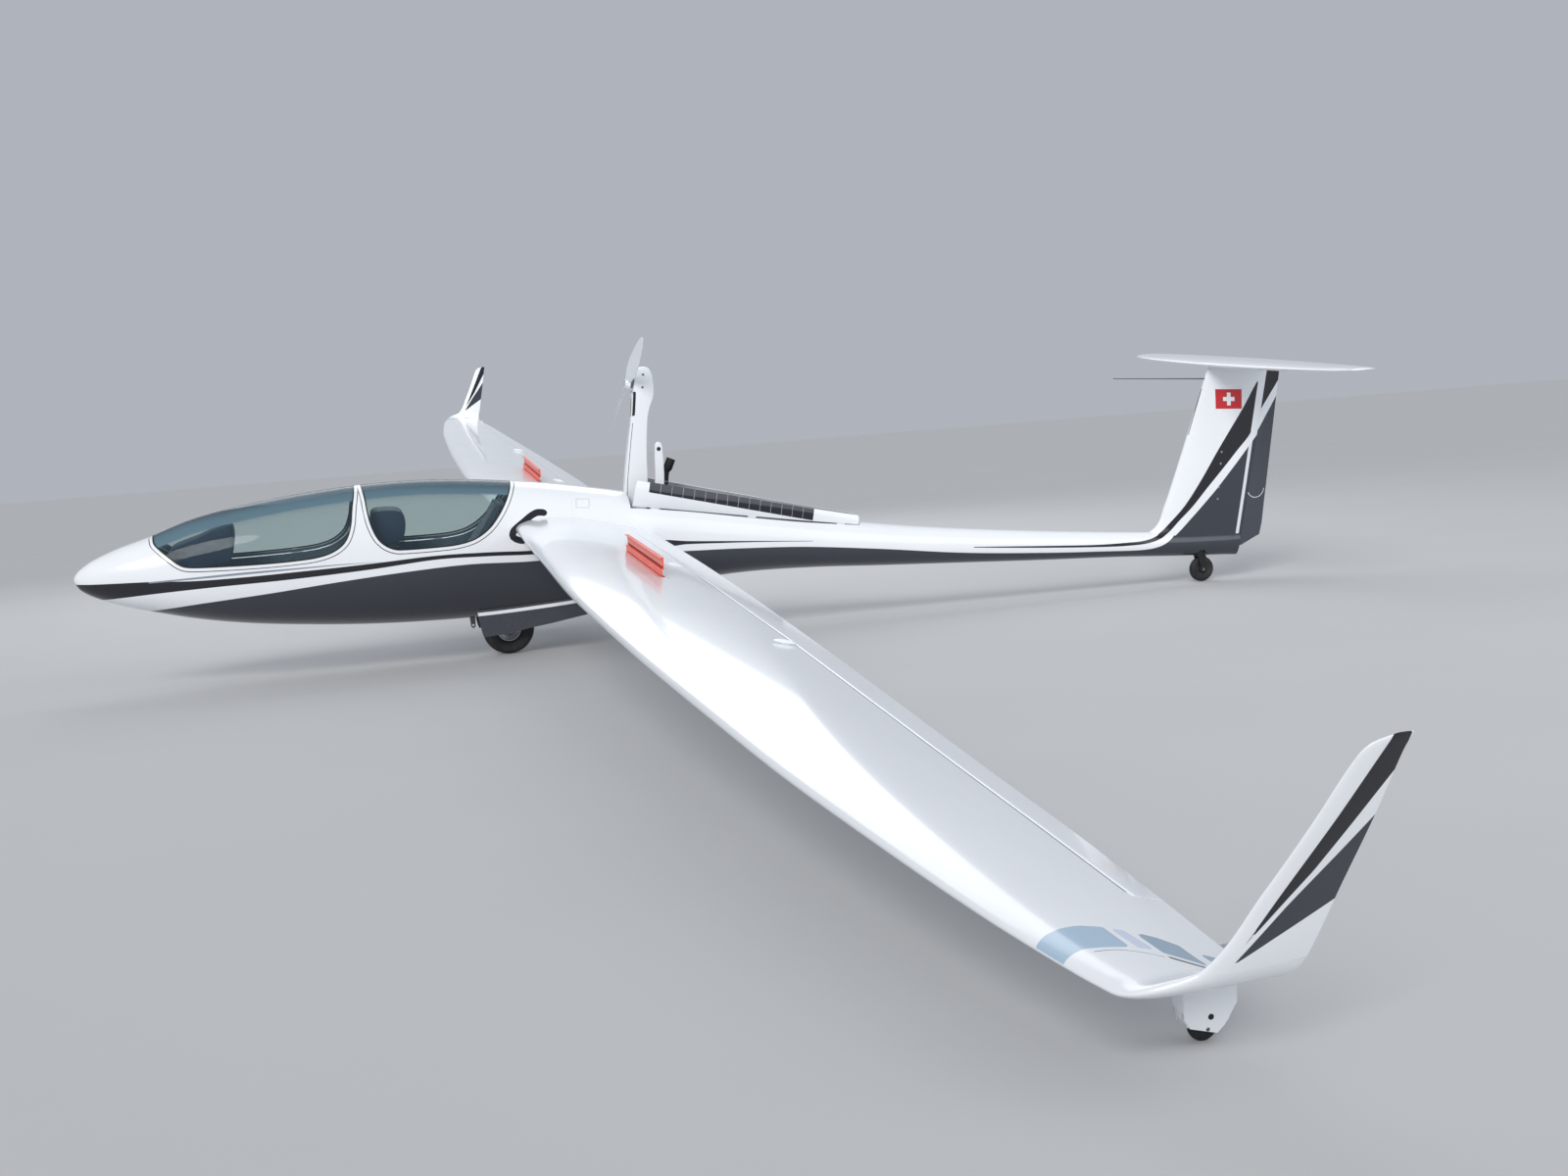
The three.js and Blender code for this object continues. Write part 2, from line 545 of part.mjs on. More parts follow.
function surfaceOnWing(body, spec, side) {
  const point = (x, y) => [x, y * side, wingMidHeight(y, x)];
  const zone = (grow) => planPrism([[spec.x0 - grow, (spec.y0 - grow) * side], [4100, (spec.y0 - grow) * side],
    [4100, (spec.y1 + grow) * side], [spec.x1 - grow, (spec.y1 + grow) * side]], 600, 1300);
  const stops = [{ at: point(spec.x0, spec.y0), nose: spec.nose0 }, { at: point(spec.x1, spec.y1), nose: spec.nose1 }];
  return splitSurface(body, stops, spec.room, zone(0), zone(SURFACE_GAP));
}

function wingSet(side) {
  const whole = cut(wholeWing(side), CLEAR_OF_HULL);
  const above = box(3000, 4000, Math.min(9500 * side, 10300 * side), Math.max(9500 * side, 10300 * side),
    WINGLET_SPLIT_Z, 1900);
  const aboveClear = box(3000, 4000, Math.min(9500 * side, 10300 * side), Math.max(9500 * side, 10300 * side),
    WINGLET_SPLIT_Z - SEAT_GAP, 1900);
  const winglet = common(whole, above);
  let wing = cut(whole, aboveClear);
  let flap;
  let aileron;
  [wing, flap] = surfaceOnWing(wing, FLAP, side);
  [wing, aileron] = surfaceOnWing(wing, AILERON, side);
  wing = cut(wing, airbrakeSlot(side));
  return { wing, winglet, flap, aileron };
}

function sideBox(x0, x1, y0, y1, z0, z1, side) {
  return side > 0 ? box(x0, x1, y0, y1, z0, z1) : box(x0, x1, -y1, -y0, z0, z1);
}

// A slab across the wing that follows its dihedral: from x0 to x1 and y0 to y1, with heights above the mean line.
function wingSlab(x0, x1, y0, y1, low, high, side) {
  return loft([y0, y1].map((y) => {
    const mid = wingMidHeight(y, AIRBRAKE.x);
    return [[x0, y * side, mid + low], [x1, y * side, mid + low], [x1, y * side, mid + high], [x0, y * side, mid + high]];
  }));
}

function airbrakeSlot(side) {
  const { x, y0, y1, slotHalf, floor } = AIRBRAKE;
  return wingSlab(x - slotHalf, x + slotHalf, y0, y1, floor, 200, side);
}

// One storey of the airbrake, standing up out of the wing. The lower one has guide pins and ribs for the upper one.
function airbrakeStorey(side, upper) {
  const { x, y0, y1, thick, apart, depth, rise, skin, end, ribs } = AIRBRAKE;
  const front = upper ? x + apart : x - apart - thick;
  const top = skin + (upper ? rise : rise / 2);
  const foot = top - depth;
  const blade = wingSlab(front, front + thick, y0 + end, y1 - end, foot, top, side);
  if (upper) return blade;
  const pin = (a, b) => wingSlab(front + 1, front + thick - 1, a, b, foot, foot + 8, side);
  const guides = ribs.map((y) => wingSlab(front + thick - 1, x + apart - SEAT_GAP, y, y + 12, foot, top, side));
  return join(blade, pin(y0 + SEAT_GAP, y0 + end + 4), pin(y1 - end - 4, y1 - SEAT_GAP), ...guides);
}

// Landing gear and wheels

function tyre(wheel, rimRadius, segments) {
  const { radius, crown, width } = wheel;
  const half = width / 2;
  const inner = rimRadius + SEAT_GAP;
  const shoulder = radius - crown * 0.45;
  const profile = [[inner, -half * 0.72], [inner + 12, -half * 0.9], [(inner + shoulder) / 2, -half],
    [shoulder, -half * 0.93], [radius - crown * 0.12, -half * 0.55], [radius, -half * 0.14], [radius, half * 0.14],
    [radius - crown * 0.12, half * 0.55], [shoulder, half * 0.93], [(inner + shoulder) / 2, half],
    [inner + 12, half * 0.9], [inner, half * 0.72], [inner, -half * 0.72]];
  return turned(profile, [wheel.x, wheel.y, hubHeight(wheel)], segments);
}

function rim(wheel, rimRadius, bore, hubHalf, segments) {
  const half = wheel.width / 2 * 0.72;
  const profile = [[bore, -hubHalf], [bore + 14, -hubHalf], [rimRadius * 0.6, -half * 0.45],
    [rimRadius - 12, -half * 0.7], [rimRadius - 8, -half], [rimRadius, -half], [rimRadius, half],
    [rimRadius - 8, half], [rimRadius - 12, half * 0.7], [rimRadius * 0.6, half * 0.45], [bore + 14, hubHalf],
    [bore, hubHalf], [bore, -hubHalf]];
  return turned(profile, [wheel.x, wheel.y, hubHeight(wheel)], segments);
}

const MAIN_RIM = 88;
const MAIN_AXLE = 12;
const MAIN_HUB_HALF = 62;
const TAIL_RIM = 48;
const FORK = { crownTop: 258, crownRadius: 44, plate: 8, half: 36 };

function gearLegs() {
  const z = hubHeight(MAIN_WHEEL);
  const { x } = MAIN_WHEEL;
  const leg = (side) => {
    const outline = [[x - 24, z - 10], [x, z - 28], [x + 26, z - 8], [x + 120, 470], [x + 260, WELL.top - SEAT_GAP],
      [x + 90, WELL.top - SEAT_GAP], [x + 20, 420]];
    const [y0, y1] = [74 * side, 90 * side].sort((a, b) => a - b);
    return sidePrism(outline, y0, y1);
  };
  const crossbar = bar([x + 150, -82, 545], [x + 150, 82, 545], 18);
  return join(leg(1), leg(-1), crossbar, bar([x, -98, z], [x, 98, z], MAIN_AXLE, MAIN_AXLE, 24));
}

function tailFork() {
  const { x, radius } = TAIL_WHEEL;
  const z = hubHeight(TAIL_WHEEL);
  const steer = x - 15;
  const crown = bar([steer, 0, 206], [steer, 0, FORK.crownTop], FORK.crownRadius, FORK.crownRadius, 24);
  const arm = (side) => {
    const outline = [[x - 16, z - 8], [x, z - 18], [x + 18, z - 8], [x + 22, 214], [x - 46, 214]];
    const [y0, y1] = [FORK.half * side, (FORK.half + FORK.plate) * side].sort((a, b) => a - b);
    return sidePrism(outline, y0, y1);
  };
  const cheek = box(x - 46, x + 22, -FORK.half - FORK.plate, FORK.half + FORK.plate, 206, 214);
  return join(crown, cheek, arm(1), arm(-1), bar([x, -50, z], [x, 50, z], 7, 7, 16));
}

function towRelease() {
  const block = sidePrism([[2634, 330], [2640, 222], [2656, 210], [2672, 222], [2676, 330]], -12, 12);
  const ring = bar([2656, -20, 232], [2656, 20, 232], 9, 9, 14);
  return cut(block, ring, CLEAR_OF_HULL);
}

function tipFairing(side) {
  const { x, y, width } = TIP_WHEEL;
  const z = hubHeight(TIP_WHEEL);
  const outline = [[x - 66, 1030], [x - 60, z + 30], [x - 44, z + 6], [x + 24, z - 14], [x + 44, z + 4],
    [x + 76, z + 55], [x + 84, 1030]];
  const body = side > 0 ? sidePrism(outline, y - 30, y + 30) : sidePrism(outline, -y - 30, -y + 30);
  const slot = sideBox(x - 48, x + 48, y - width / 2 - 5, y + width / 2 + 5, 700, z + 46, side);
  const pin = bar([x, (y - 30) * side, z], [x, (y + 30) * side, z], 5, 5, 12);
  return join(cut(body, slot), pin);
}

function tipWheel(side) {
  const { x, y, radius, crown, width } = TIP_WHEEL;
  const half = width / 2;
  const profile = [[5.5, -half - 4.7], [10, -half - 4.7], [12, -half], [radius - crown, -half], [radius - 3, -half * 0.6],
    [radius, -half * 0.15], [radius, half * 0.15], [radius - 3, half * 0.6], [radius - crown, half], [12, half],
    [10, half + 4.7], [5.5, half + 4.7], [5.5, -half - 4.7]];
  return turned(profile, [x, y * side, hubHeight(TIP_WHEEL)], 20);
}

// Tail

function finRing([z, lead, trail, ratio]) {
  const chord = trail - lead;
  const at = (u, sense) => [lead + u * chord, sense * (thickness(u, ratio) * chord + TRAILING_EDGE / 2 * u), z];
  return [...[...CHORD_STEPS].reverse().map((u) => at(u, 1)), ...CHORD_STEPS.slice(1).map((u) => at(u, -1))];
}

function tailplaneBody() {
  const rows = [...TAILPLANE.slice(1).map(([y, ...rest]) => [-y, ...rest]).reverse(), ...TAILPLANE];
  return loft(rows.map(([y, lead, trail, ratio]) => airfoilRing({ lead: [lead, y, TAILPLANE_Z], chord: trail - lead,
    incidence: 0, cant: 0, ratio, camber: 0, side: 1 })));
}

function tailSet() {
  const whole = loft(FIN.map(finRing));
  const { foot, top, below } = RUDDER;
  const low = foot[1] - below;
  const zone = (grow) => sidePrism([[rudderLineX(low) - grow, low], [9400, low], [9400, top[1] + grow],
    [rudderLineX(top[1] + grow) - grow, top[1] + grow]], -200, 200);
  const rudderStops = [{ at: [foot[0], 0, foot[1]], nose: RUDDER.noseFoot },
    { at: [top[0], 0, top[1]], nose: RUDDER.noseTop }];
  const [fin, rudder] = splitSurface(whole, rudderStops, NOSE_GAP, zone(0), zone(SURFACE_GAP));
  const { x, half } = ELEVATOR;
  const elevatorZone = (grow) => box(x - grow, 9400, -half - grow, half + grow, 1600, 1800);
  const elevatorRoom = sidePrism(ELEVATOR.room, -200, 200);
  const elevatorStops = [[-half, ELEVATOR.noseTip], [0, ELEVATOR.noseRoot], [half, ELEVATOR.noseTip]]
    .map(([y, nose]) => ({ at: [x, y, TAILPLANE_Z], nose }));
  const [stab, elevator] = splitSurface(tailplaneBody(), elevatorStops, NOSE_GAP, elevatorZone(0),
    elevatorZone(SURFACE_GAP));
  return { fin: cut(fin, CLEAR_OF_HULL, TAIL_END, stabClear(), elevatorRoom), rudder, stab, elevator };
}

// The room that the tailplane needs on top of the fin.
function stabClear() {
  return loft([-1, 1].map((side) => airfoilRing({ lead: [TAILPLANE[0][1] - SEAT_GAP, 200 * side, TAILPLANE_Z],
    chord: TAILPLANE[0][2] - TAILPLANE[0][1], incidence: 0, cant: 0, ratio: TAILPLANE[0][3] + 0.003, camber: 0, side: 1 })));
}

// The tube that stands forward of the fin and senses the air's pressure.
function probe() {
  const room = loft(FIN.map(([z, lead, trail, ratio]) => finRing([z, lead - SEAT_GAP, trail, ratio])));
  return cut(bar([7686, 0, 1655], [8490, 0, 1600], 3.5, 5, 10), room);
}

// Mast, propeller and engine

function mastColumn() {
  const [x, z] = MAST_PIVOT;
  const boss = bar([x, -50, z], [x, 50, z], 40, 40, 20);
  const bore = bar([x, -60, z], [x, 60, z], 14.3, 14.3, 20);
  const face = bar(propPoint(-PROP.face), propPoint(60), 60, 60, 16);
  const bearing = bar(propPoint(-PROP.face - 40), propPoint(-PROP.face), 40, 40, 16);
  return join(cut(join(sidePrism(MAST_COLUMN, -MAST_HALF, MAST_HALF), boss), bore, face), bearing);
}

function mastArm() {
  const hole = bar([4092, -40, 1395], [4092, 40, 1395], 12, 12, 16);
  return cut(sidePrism(MAST_ARM, -MAST_ARM_HALF, MAST_ARM_HALF), hole,
    sidePrism(offset(MAST_COLUMN, SEAT_GAP), -WIDE, WIDE));
}

function exhaustStack() {
  const at = ([x, z]) => [x, 0, z];
  const { foot, neck, tip, pipe, can } = EXHAUST;
  const body = join(bar(at(foot), at(neck), pipe), bar(at(neck), at(tip), can));
  return cut(body, sidePrism(offset(MAST_ARM, SEAT_GAP), -WIDE, WIDE), sidePrism(offset(MAST_COLUMN, SEAT_GAP), -WIDE, WIDE));
}

function mastBearers() {
  const [x, z] = MAST_PIVOT;
  const plate = (side) => {
    const [y0, y1] = [(50 + SEAT_GAP) * side, 62 * side].sort((a, b) => a - b);
    return sidePrism([[x - 70, 300], [x + 70, 300], [x + 34, z], [x, z + 34], [x - 34, z]], y0, y1);
  };
  const beam = box(x - 60, x + 60, -62, 62, 400, 440);
  const pin = bar([x, -62, z], [x, 62, z], 14, 14, 24);
  return common(join(plate(1), plate(-1), beam, pin), hull(BAY_WALL + SEAT_GAP, BAY.x0 + 1, BAY.x1 - 1));
}

const thrust = [-Math.cos(PROP.lean), 0, Math.sin(PROP.lean)];

function propPoint(distance) {
  return [PROP.x + thrust[0] * distance, 0, PROP.z + thrust[2] * distance];
}

function propHub() {
  return bar(propPoint(SEAT_GAP - PROP.face), propPoint(-PROP.half - SEAT_GAP), 34, 34, 20);
}

function bladeRing([share, width, pitch, ratio]) {
  const chord = PROP.chord * width;
  const [c, s] = [Math.cos(pitch * DEG), Math.sin(pitch * DEG)];
  const at = (u, sense) => {
    const along = (u - 0.5) * chord;
    const out = sense * (thickness(u, ratio) * chord + 0.8 * u);
    return [along * s - out * c, along * c + out * s, share * PROP.radius];
  };
  return [...[...BLADE_STEPS].reverse().map((u) => at(u, 1)), ...BLADE_STEPS.slice(1).map((u) => at(u, -1))];
}

function propeller() {
  const blade = loft(BLADE.map(bladeRing));
  const other = swung(blade, [0, 0, 0], [1, 0, 0], Math.PI);
  const boss = bar([-PROP.half, 0, 0], [PROP.half, 0, 0], PROP.hub * 0.75, PROP.hub, 20);
  const geometry = geometryOf(join(blade, other, boss));
  geometry.rotateX(Math.PI / 2 - PROP.angle);
  geometry.rotateY(PROP.lean);
  geometry.translate(PROP.x, 0, PROP.z);
  return solid(geometry);
}

function engineBlock() {
  const { x0, x1, half, z0, z1, legs } = ENGINE;
  const feet = legs.flatMap((x) => [-1, 1].map((side) => sideBox(x, x + 26, half - 34, half - 8, 300, z0 + 5, side)));
  const heads = box(x0 + 40, x1 - 70, -half + 40, half - 40, z1 - 5, z1 + 60);
  return common(join(box(x0, x1, -half, half, z0, z1), heads, ...feet), hull(BAY_WALL + SEAT_GAP, BAY.x0 + 1, BAY.x1 - 1));
}

// Cockpit fittings

const FRONT_HOOD = [[640, 962], [1062, 1112], [1048, 880], [960, 850], [780, 850]];
const FRONT_POST = [[790, 860], [960, 860], [930, 300], [800, 300]];
const REAR_HOOD = [[2012, 1100], [2060, 1128], [2226, 1098], [2216, 925], [2120, 890], [2012, 890]];
const REAR_POST = [[2030, 900], [2115, 900], [2095, 250], [2030, 250]];

const insideCockpit = (body) => common(body, hull(COCKPIT_WALL + SEAT_GAP, COCKPIT.front + 1, COCKPIT.rear - 1));

// The outline of a strip along a line of points, with its thickness below the line.
function strip(points, thick) {
  const lower = points.map((point, i) => {
    const a = points[Math.max(i - 1, 0)];
    const b = points[Math.min(i + 1, points.length - 1)];
    const length = Math.hypot(b[0] - a[0], b[1] - a[1]);
    return [point[0] + (b[1] - a[1]) / length * thick, point[1] - (b[0] - a[0]) / length * thick];
  });
  return [...points, ...lower.reverse()];
}

const FRONT_SEAT = [[1130, 640], [1230, 560], [1400, 470], [1520, 455], [1620, 500], [1740, 680], [1850, 860], [1905, 960]];
const REAR_SEAT = [[2230, 770], [2320, 715], [2450, 690], [2580, 700], [2680, 760], [2790, 900], [2880, 1030], [2930, 1120]];
const SEAT_THICK = 14;
const CANOPY_SILL = 822;
const CUSHION_THICK = 42;

function seat(line) {
  const pan = sidePrism(strip(line, SEAT_THICK), -WIDE, WIDE);
  const low = common(insideCockpit(pan), box(0, 4000, -WIDE, WIDE, 0, CANOPY_SILL));
  return join(low, common(pan, hull(COCKPIT_WALL + 8, COCKPIT.front + 8, COCKPIT.rear - 8)));
}

function cushion(line) {
  const lifted = strip(line, -CUSHION_THICK - SEAT_GAP);
  const bed = strip(line, -SEAT_GAP);
  return cut(sidePrism(lifted, -200, 200), sidePrism(bed, -WIDE, WIDE));
}

function instrumentPanel(hood, post, half) {
  return insideCockpit(join(sidePrism(hood, -half, half), sidePrism(post, -half * 0.6, half * 0.6)));
}

function stick(x, top) {
  const foot = readTable(FUSELAGE, x)[2];
  return insideCockpit(join(bar([x, 0, foot], [x, 0, top], 9, 9, 10), bar([x, 0, top - 90], [x, 0, top], 15, 13, 12)));
}

// Assembly

const craft = new THREE.Group();

function add(name, body, material) {
  const mesh = new THREE.Mesh(geometryOf(body), material);
  mesh.name = name;
  craft.add(mesh);
  return mesh;
}

add('fuselage_front', fuselageFront(), PAINT.gelcoat);
add('fuselage_rear', fuselageRear(), PAINT.gelcoat);
const tail = tailSet();
add('fin', tail.fin, PAINT.gelcoat);
add('rudder', tail.rudder, PAINT.slate);
add('tailplane', tail.stab, PAINT.gelcoat);
add('elevator', tail.elevator, PAINT.gelcoat);

for (const [word, side] of [['port', -1], ['starboard', 1]]) {
  const set = wingSet(side);
  const wingRoom = wholeWing(side);
  const fairing = cut(tipFairing(side), wingRoom, wingRoom.translate([0, 0, -SEAT_GAP]));
  add(`wing_${word}`, set.wing, PAINT.gelcoat);
  add(`winglet_${word}`, set.winglet, PAINT.gelcoat);
  add(`flap_${word}`, set.flap, PAINT.gelcoat);
  add(`aileron_${word}`, set.aileron, PAINT.gelcoat);
  add(`airbrake_lower_${word}`, airbrakeStorey(side, false), PAINT.brake);
  add(`airbrake_upper_${word}`, airbrakeStorey(side, true), PAINT.brake);
  add(`tip_wheel_fairing_${word}`, fairing, PAINT.gelcoat);
  add(`tip_wheel_${word}`, tipWheel(side), PAINT.rubber);
  add(`gear_door_${word}`, gearDoor(side), PAINT.slate);
  add(`engine_door_${word}`, engineDoor(side), PAINT.gelcoat);
}

const [frontFrame, frontPane] = canopy(FRONT_WINDOW, CANOPY_HINGE.front);
const [rearFrame, rearPane] = canopy(REAR_WINDOW, CANOPY_HINGE.rear);
add('canopy_front_frame', frontFrame, PAINT.gelcoat);
add('canopy_front_glass', frontPane, PAINT.glass);
add('canopy_rear_frame', rearFrame, PAINT.gelcoat);
add('canopy_rear_glass', rearPane, PAINT.glass);

add('gear_legs', gearLegs(), PAINT.steel);
add('main_rim', rim(MAIN_WHEEL, MAIN_RIM, MAIN_AXLE + 0.5, MAIN_HUB_HALF, 24), PAINT.rim);
add('main_tyre', tyre(MAIN_WHEEL, MAIN_RIM, 40), PAINT.rubber);
add('tail_fork', tailFork(), PAINT.soot);
add('tail_rim', rim(TAIL_WHEEL, TAIL_RIM, 7.4, 30, 20), PAINT.rim);
add('tail_tyre', tyre(TAIL_WHEEL, TAIL_RIM, 32), PAINT.rubber);

add('mast_bearers', mastBearers(), PAINT.steel);
add('mast_column', mastColumn(), PAINT.gelcoat);
add('mast_arm', mastArm(), PAINT.gelcoat);
add('exhaust', exhaustStack(), PAINT.soot);
add('prop_hub', propHub(), PAINT.steel);
add('propeller', propeller(), PAINT.gelcoat);

add('engine_block', engineBlock(), PAINT.steel);

add('instruments_front', instrumentPanel(FRONT_HOOD, FRONT_POST, 150), PAINT.trim);
add('instruments_rear', instrumentPanel(REAR_HOOD, REAR_POST, 140), PAINT.trim);
add('seat_front', seat(FRONT_SEAT), PAINT.trim);
add('seat_rear', seat(REAR_SEAT), PAINT.trim);
add('cushion_front', cushion(FRONT_SEAT), PAINT.cloth);
add('cushion_rear', cushion(REAR_SEAT), PAINT.cloth);
add('stick_front', stick(1090, 760), PAINT.soot);
add('stick_rear', stick(2175, 850), PAINT.soot);
add('tow_release', towRelease(), PAINT.steel);
add('probe_tube', probe(), PAINT.steel);

// Leans the craft onto its tip wheel, then centres its box on the origin with the ground under it.
const lean = new THREE.Matrix4().makeRotationX(BANK);
craft.children.forEach((mesh) => mesh.geometry.applyMatrix4(lean));
const bounds = new THREE.Box3().setFromObject(craft);
const middle = bounds.getCenter(new THREE.Vector3());
craft.children.forEach((mesh) => mesh.geometry.translate(-middle.x, -middle.y, -bounds.min.z));

export default craft;
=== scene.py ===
"""A sailplane with a folding engine mast: fine surfaces and finishes over its fixed frame."""

import json
import math

import bpy
import numpy as np
from mathutils import Matrix, Vector
from mathutils.geometry import tessellate_polygon


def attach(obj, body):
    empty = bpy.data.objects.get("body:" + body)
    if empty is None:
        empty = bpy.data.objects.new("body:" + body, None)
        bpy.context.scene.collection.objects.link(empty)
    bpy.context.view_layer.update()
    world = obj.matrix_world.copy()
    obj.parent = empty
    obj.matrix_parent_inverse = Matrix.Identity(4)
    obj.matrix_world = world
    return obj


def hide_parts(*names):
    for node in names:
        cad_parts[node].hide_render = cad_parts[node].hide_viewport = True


bl_info = {
    "name": "Sailplane surfaces",
    "version": (1, 0, 0),
    "blender": (4, 5, 0),
    "location": "3D View > Sidebar > Sailplane",
    "description": "Builds the skins, fittings and finishes of a self-launching two-seat sailplane",
    "category": "Add Mesh",
}

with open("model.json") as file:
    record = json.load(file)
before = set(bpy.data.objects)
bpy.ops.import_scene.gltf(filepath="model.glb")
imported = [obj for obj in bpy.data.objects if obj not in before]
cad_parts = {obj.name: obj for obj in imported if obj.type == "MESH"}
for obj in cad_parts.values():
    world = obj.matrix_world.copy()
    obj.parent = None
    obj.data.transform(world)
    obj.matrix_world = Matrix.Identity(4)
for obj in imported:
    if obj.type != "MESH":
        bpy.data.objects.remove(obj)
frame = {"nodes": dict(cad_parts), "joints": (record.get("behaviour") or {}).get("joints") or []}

DEG = math.pi / 180
FAR = -1000.0
SIDES = (("port", -1), ("starboard", 1))

# Craft measures in millimetres: x aft from the nose, y to starboard, z up from the ground at the centre line.
MAIN_WHEEL = {"x": 2905, "y": 0, "radius": 185, "crown": 58, "width": 120}
TAIL_WHEEL = {"x": 8400, "y": 0, "radius": 100, "crown": 24, "width": 52}
TIP_WHEEL = {"x": 3577, "y": 9464, "radius": 38, "crown": 11, "width": 24}
SPIN = next(joint for joint in frame["joints"] if joint["name"] == "main_wheel_spin")
LEAN = math.atan2(SPIN["axis"][2], SPIN["axis"][1])
TURN = np.array([[1, 0, 0], [0, math.cos(LEAN), -math.sin(LEAN)], [0, math.sin(LEAN), math.cos(LEAN)]])


def hub_height(wheel):
    """Height of a hub whose tread meets the ground once the craft leans: the tread's arc plus the lean's rise."""
    arm = wheel["radius"] - wheel["crown"]
    return (arm * math.cos(LEAN) + wheel["crown"] + wheel["y"] * math.sin(LEAN)) / math.cos(LEAN)


HUB = np.array([MAIN_WHEEL["x"], 0, hub_height(MAIN_WHEEL)])
ORIGIN = np.array(SPIN["pos_m"]) - TURN @ HUB * 0.001


def placed(points):
    """Craft millimetres turned by the lean about x, scaled to metres and moved to the frame's origin."""
    return np.asarray(points, float) @ TURN.T * 0.001 + ORIGIN


# Fuselage sections: x, top z, bottom z, half width, z of the widest line, squareness above, below.
FUSELAGE = np.array([
    [4, 828, 806, 9, 817, 2.0, 2.0], [17, 851, 775, 35, 815, 2.0, 2.0], [45, 880, 738, 64, 812, 2.0, 2.0],
    [130, 935, 684, 118, 809, 2.1, 2.1], [300, 1003, 613, 182, 807, 2.1, 2.2], [520, 1068, 546, 240, 805, 2.15, 2.2],
    [800, 1162, 473, 293, 803, 2.2, 2.3], [1150, 1230, 408, 332, 800, 2.25, 2.3],
    [1550, 1279, 359, 352, 797, 2.3, 2.3], [1950, 1307, 323, 360, 792, 2.3, 2.3],
    [2350, 1308, 303, 358, 785, 2.3, 2.3], [2750, 1279, 297, 350, 775, 2.3, 2.3],
    [3150, 1229, 308, 338, 762, 2.4, 2.3], [3400, 1188, 322, 330, 752, 2.5, 2.3],
    [3700, 1130, 352, 318, 736, 2.7, 2.3], [3850, 1097, 372, 310, 724, 2.8, 2.3],
    [4250, 1009, 415, 275, 680, 2.8, 2.3], [4700, 910, 434, 228, 632, 2.6, 2.2],
    [5200, 800, 418, 182, 585, 2.4, 2.2], [5750, 698, 380, 150, 534, 2.2, 2.1],
    [6300, 616, 345, 126, 476, 2.1, 2.1], [7000, 530, 300, 105, 412, 2.0, 2.0],
    [7700, 457, 260, 88, 358, 2.0, 2.0], [8200, 413, 223, 74, 315, 2.0, 2.0], [8740, 370, 188, 45, 280, 2.0, 2.0],
])
HULL_SPLIT = 3400
HULL_SEAM = 0.4
COCKPIT_WALL = 22
BAY_WALL = 9

# Cockpit openings in side view, as x and z. They run past the spine.
FRONT_WINDOW = [(548, 1050), (600, 985), (659, 932), (705, 893), (750, 871), (852, 861), (1251, 853), (1563, 860),
                (1690, 880), (1771, 916), (1825, 965), (1860, 1040), (1880, 1130), (1888, 1400), (548, 1400)]
REAR_WINDOW = [(1973, 1400), (1973, 1214), (1983, 1110), (1999, 1037), (2028, 965), (2067, 917), (2115, 885),
               (2175, 868), (2497, 864), (2600, 872), (2690, 893), (2770, 935), (2838, 993), (2930, 1115),
               (2999, 1250), (3045, 1400)]
CANOPY_FRAME = 20
CANOPY_GAP = 6
GLASS = 6
CANOPY_HINGE = {"y": 376, "z": 842, "tube": 6, "front": (960, 1480), "rear": (2210, 2480), "length": 60}
WELL = {"x0": 2690, "x1": 3380, "half": 180, "top": 615, "cut": 600}
BULKHEADS = {"cockpit": 3018, "bay_front": 3442, "bay_rear": 5625}

# Engine bay: the opening's ends, and the doors' hinge line on the port skin from front to rear.
BAY_OPENING = (3818, 5566)
BAY_CUT = 560
DOOR_HINGE = ((3826, 247, 1016), (5560, 76, 706))
DOOR_SLOT = (70, 3)
DOOR_THICK = 6
DOOR_OPEN = 69

# Wing sections: y, leading edge x, trailing edge x, leading edge z, incidence, thickness ratio.
WING = np.array([
    [230, 2986, 3962, 940, 7.0, 0.150], [1200, 2966, 3968, 950, 6.9, 0.150], [2200, 2950, 3958, 962, 6.6, 0.148],
    [3400, 2931, 3934, 977, 6.4, 0.145], [4600, 2950, 3889, 991, 6.1, 0.142], [5600, 2973, 3848, 1003, 5.9, 0.140],
    [6700, 3013, 3793, 1016, 5.6, 0.138], [7600, 3052, 3749, 1027, 5.4, 0.135], [8500, 3117, 3707, 1038, 5.2, 0.130],
    [9100, 3171, 3666, 1045, 5.0, 0.125], [9460, 3215, 3634, 1050, 4.6, 0.120], [9640, 3243, 3626, 1053, 3.6, 0.115],
])
# Tip bend and winglet: y, leading edge x, trailing edge x, leading edge z, cant, thickness ratio.
WINGLET = np.array([
    [9715, 3262, 3630, 1058, 22, 0.110], [9768, 3305, 3640, 1080, 48, 0.105], [9800, 3410, 3656, 1118, 68, 0.100],
    [9870, 3517, 3700, 1300, 70, 0.100], [9931, 3595, 3737, 1456, 70, 0.100], [9983, 3664, 3768, 1600, 70, 0.100],
    [9995, 3697, 3778, 1632, 70, 0.095], [10000, 3745, 3783, 1645, 70, 0.090],
])
CAMBER = 0.022
TIP_CAMBER = 0.008
UPRIGHT = 70
TRAILING_EDGE = 3

# Control surfaces: inboard and outboard y, and x of the hinge line there.
FLAP = {"y0": 460, "y1": 5240, "x0": 3780, "x1": 3712}
AILERON = {"y0": 5262, "y1": 9080, "x0": 3711, "x1": 3592}
SURFACE_GAP = 6
AIRBRAKE = {"x": 3467, "y0": 2180, "y1": 3350, "thick": 6, "apart": 2.5, "depth": 64, "rise": 108, "skin": 61,
            "slot_half": 14, "floor": -46, "end": 6, "drop": 5, "guides": (2260, 2760, 3260)}
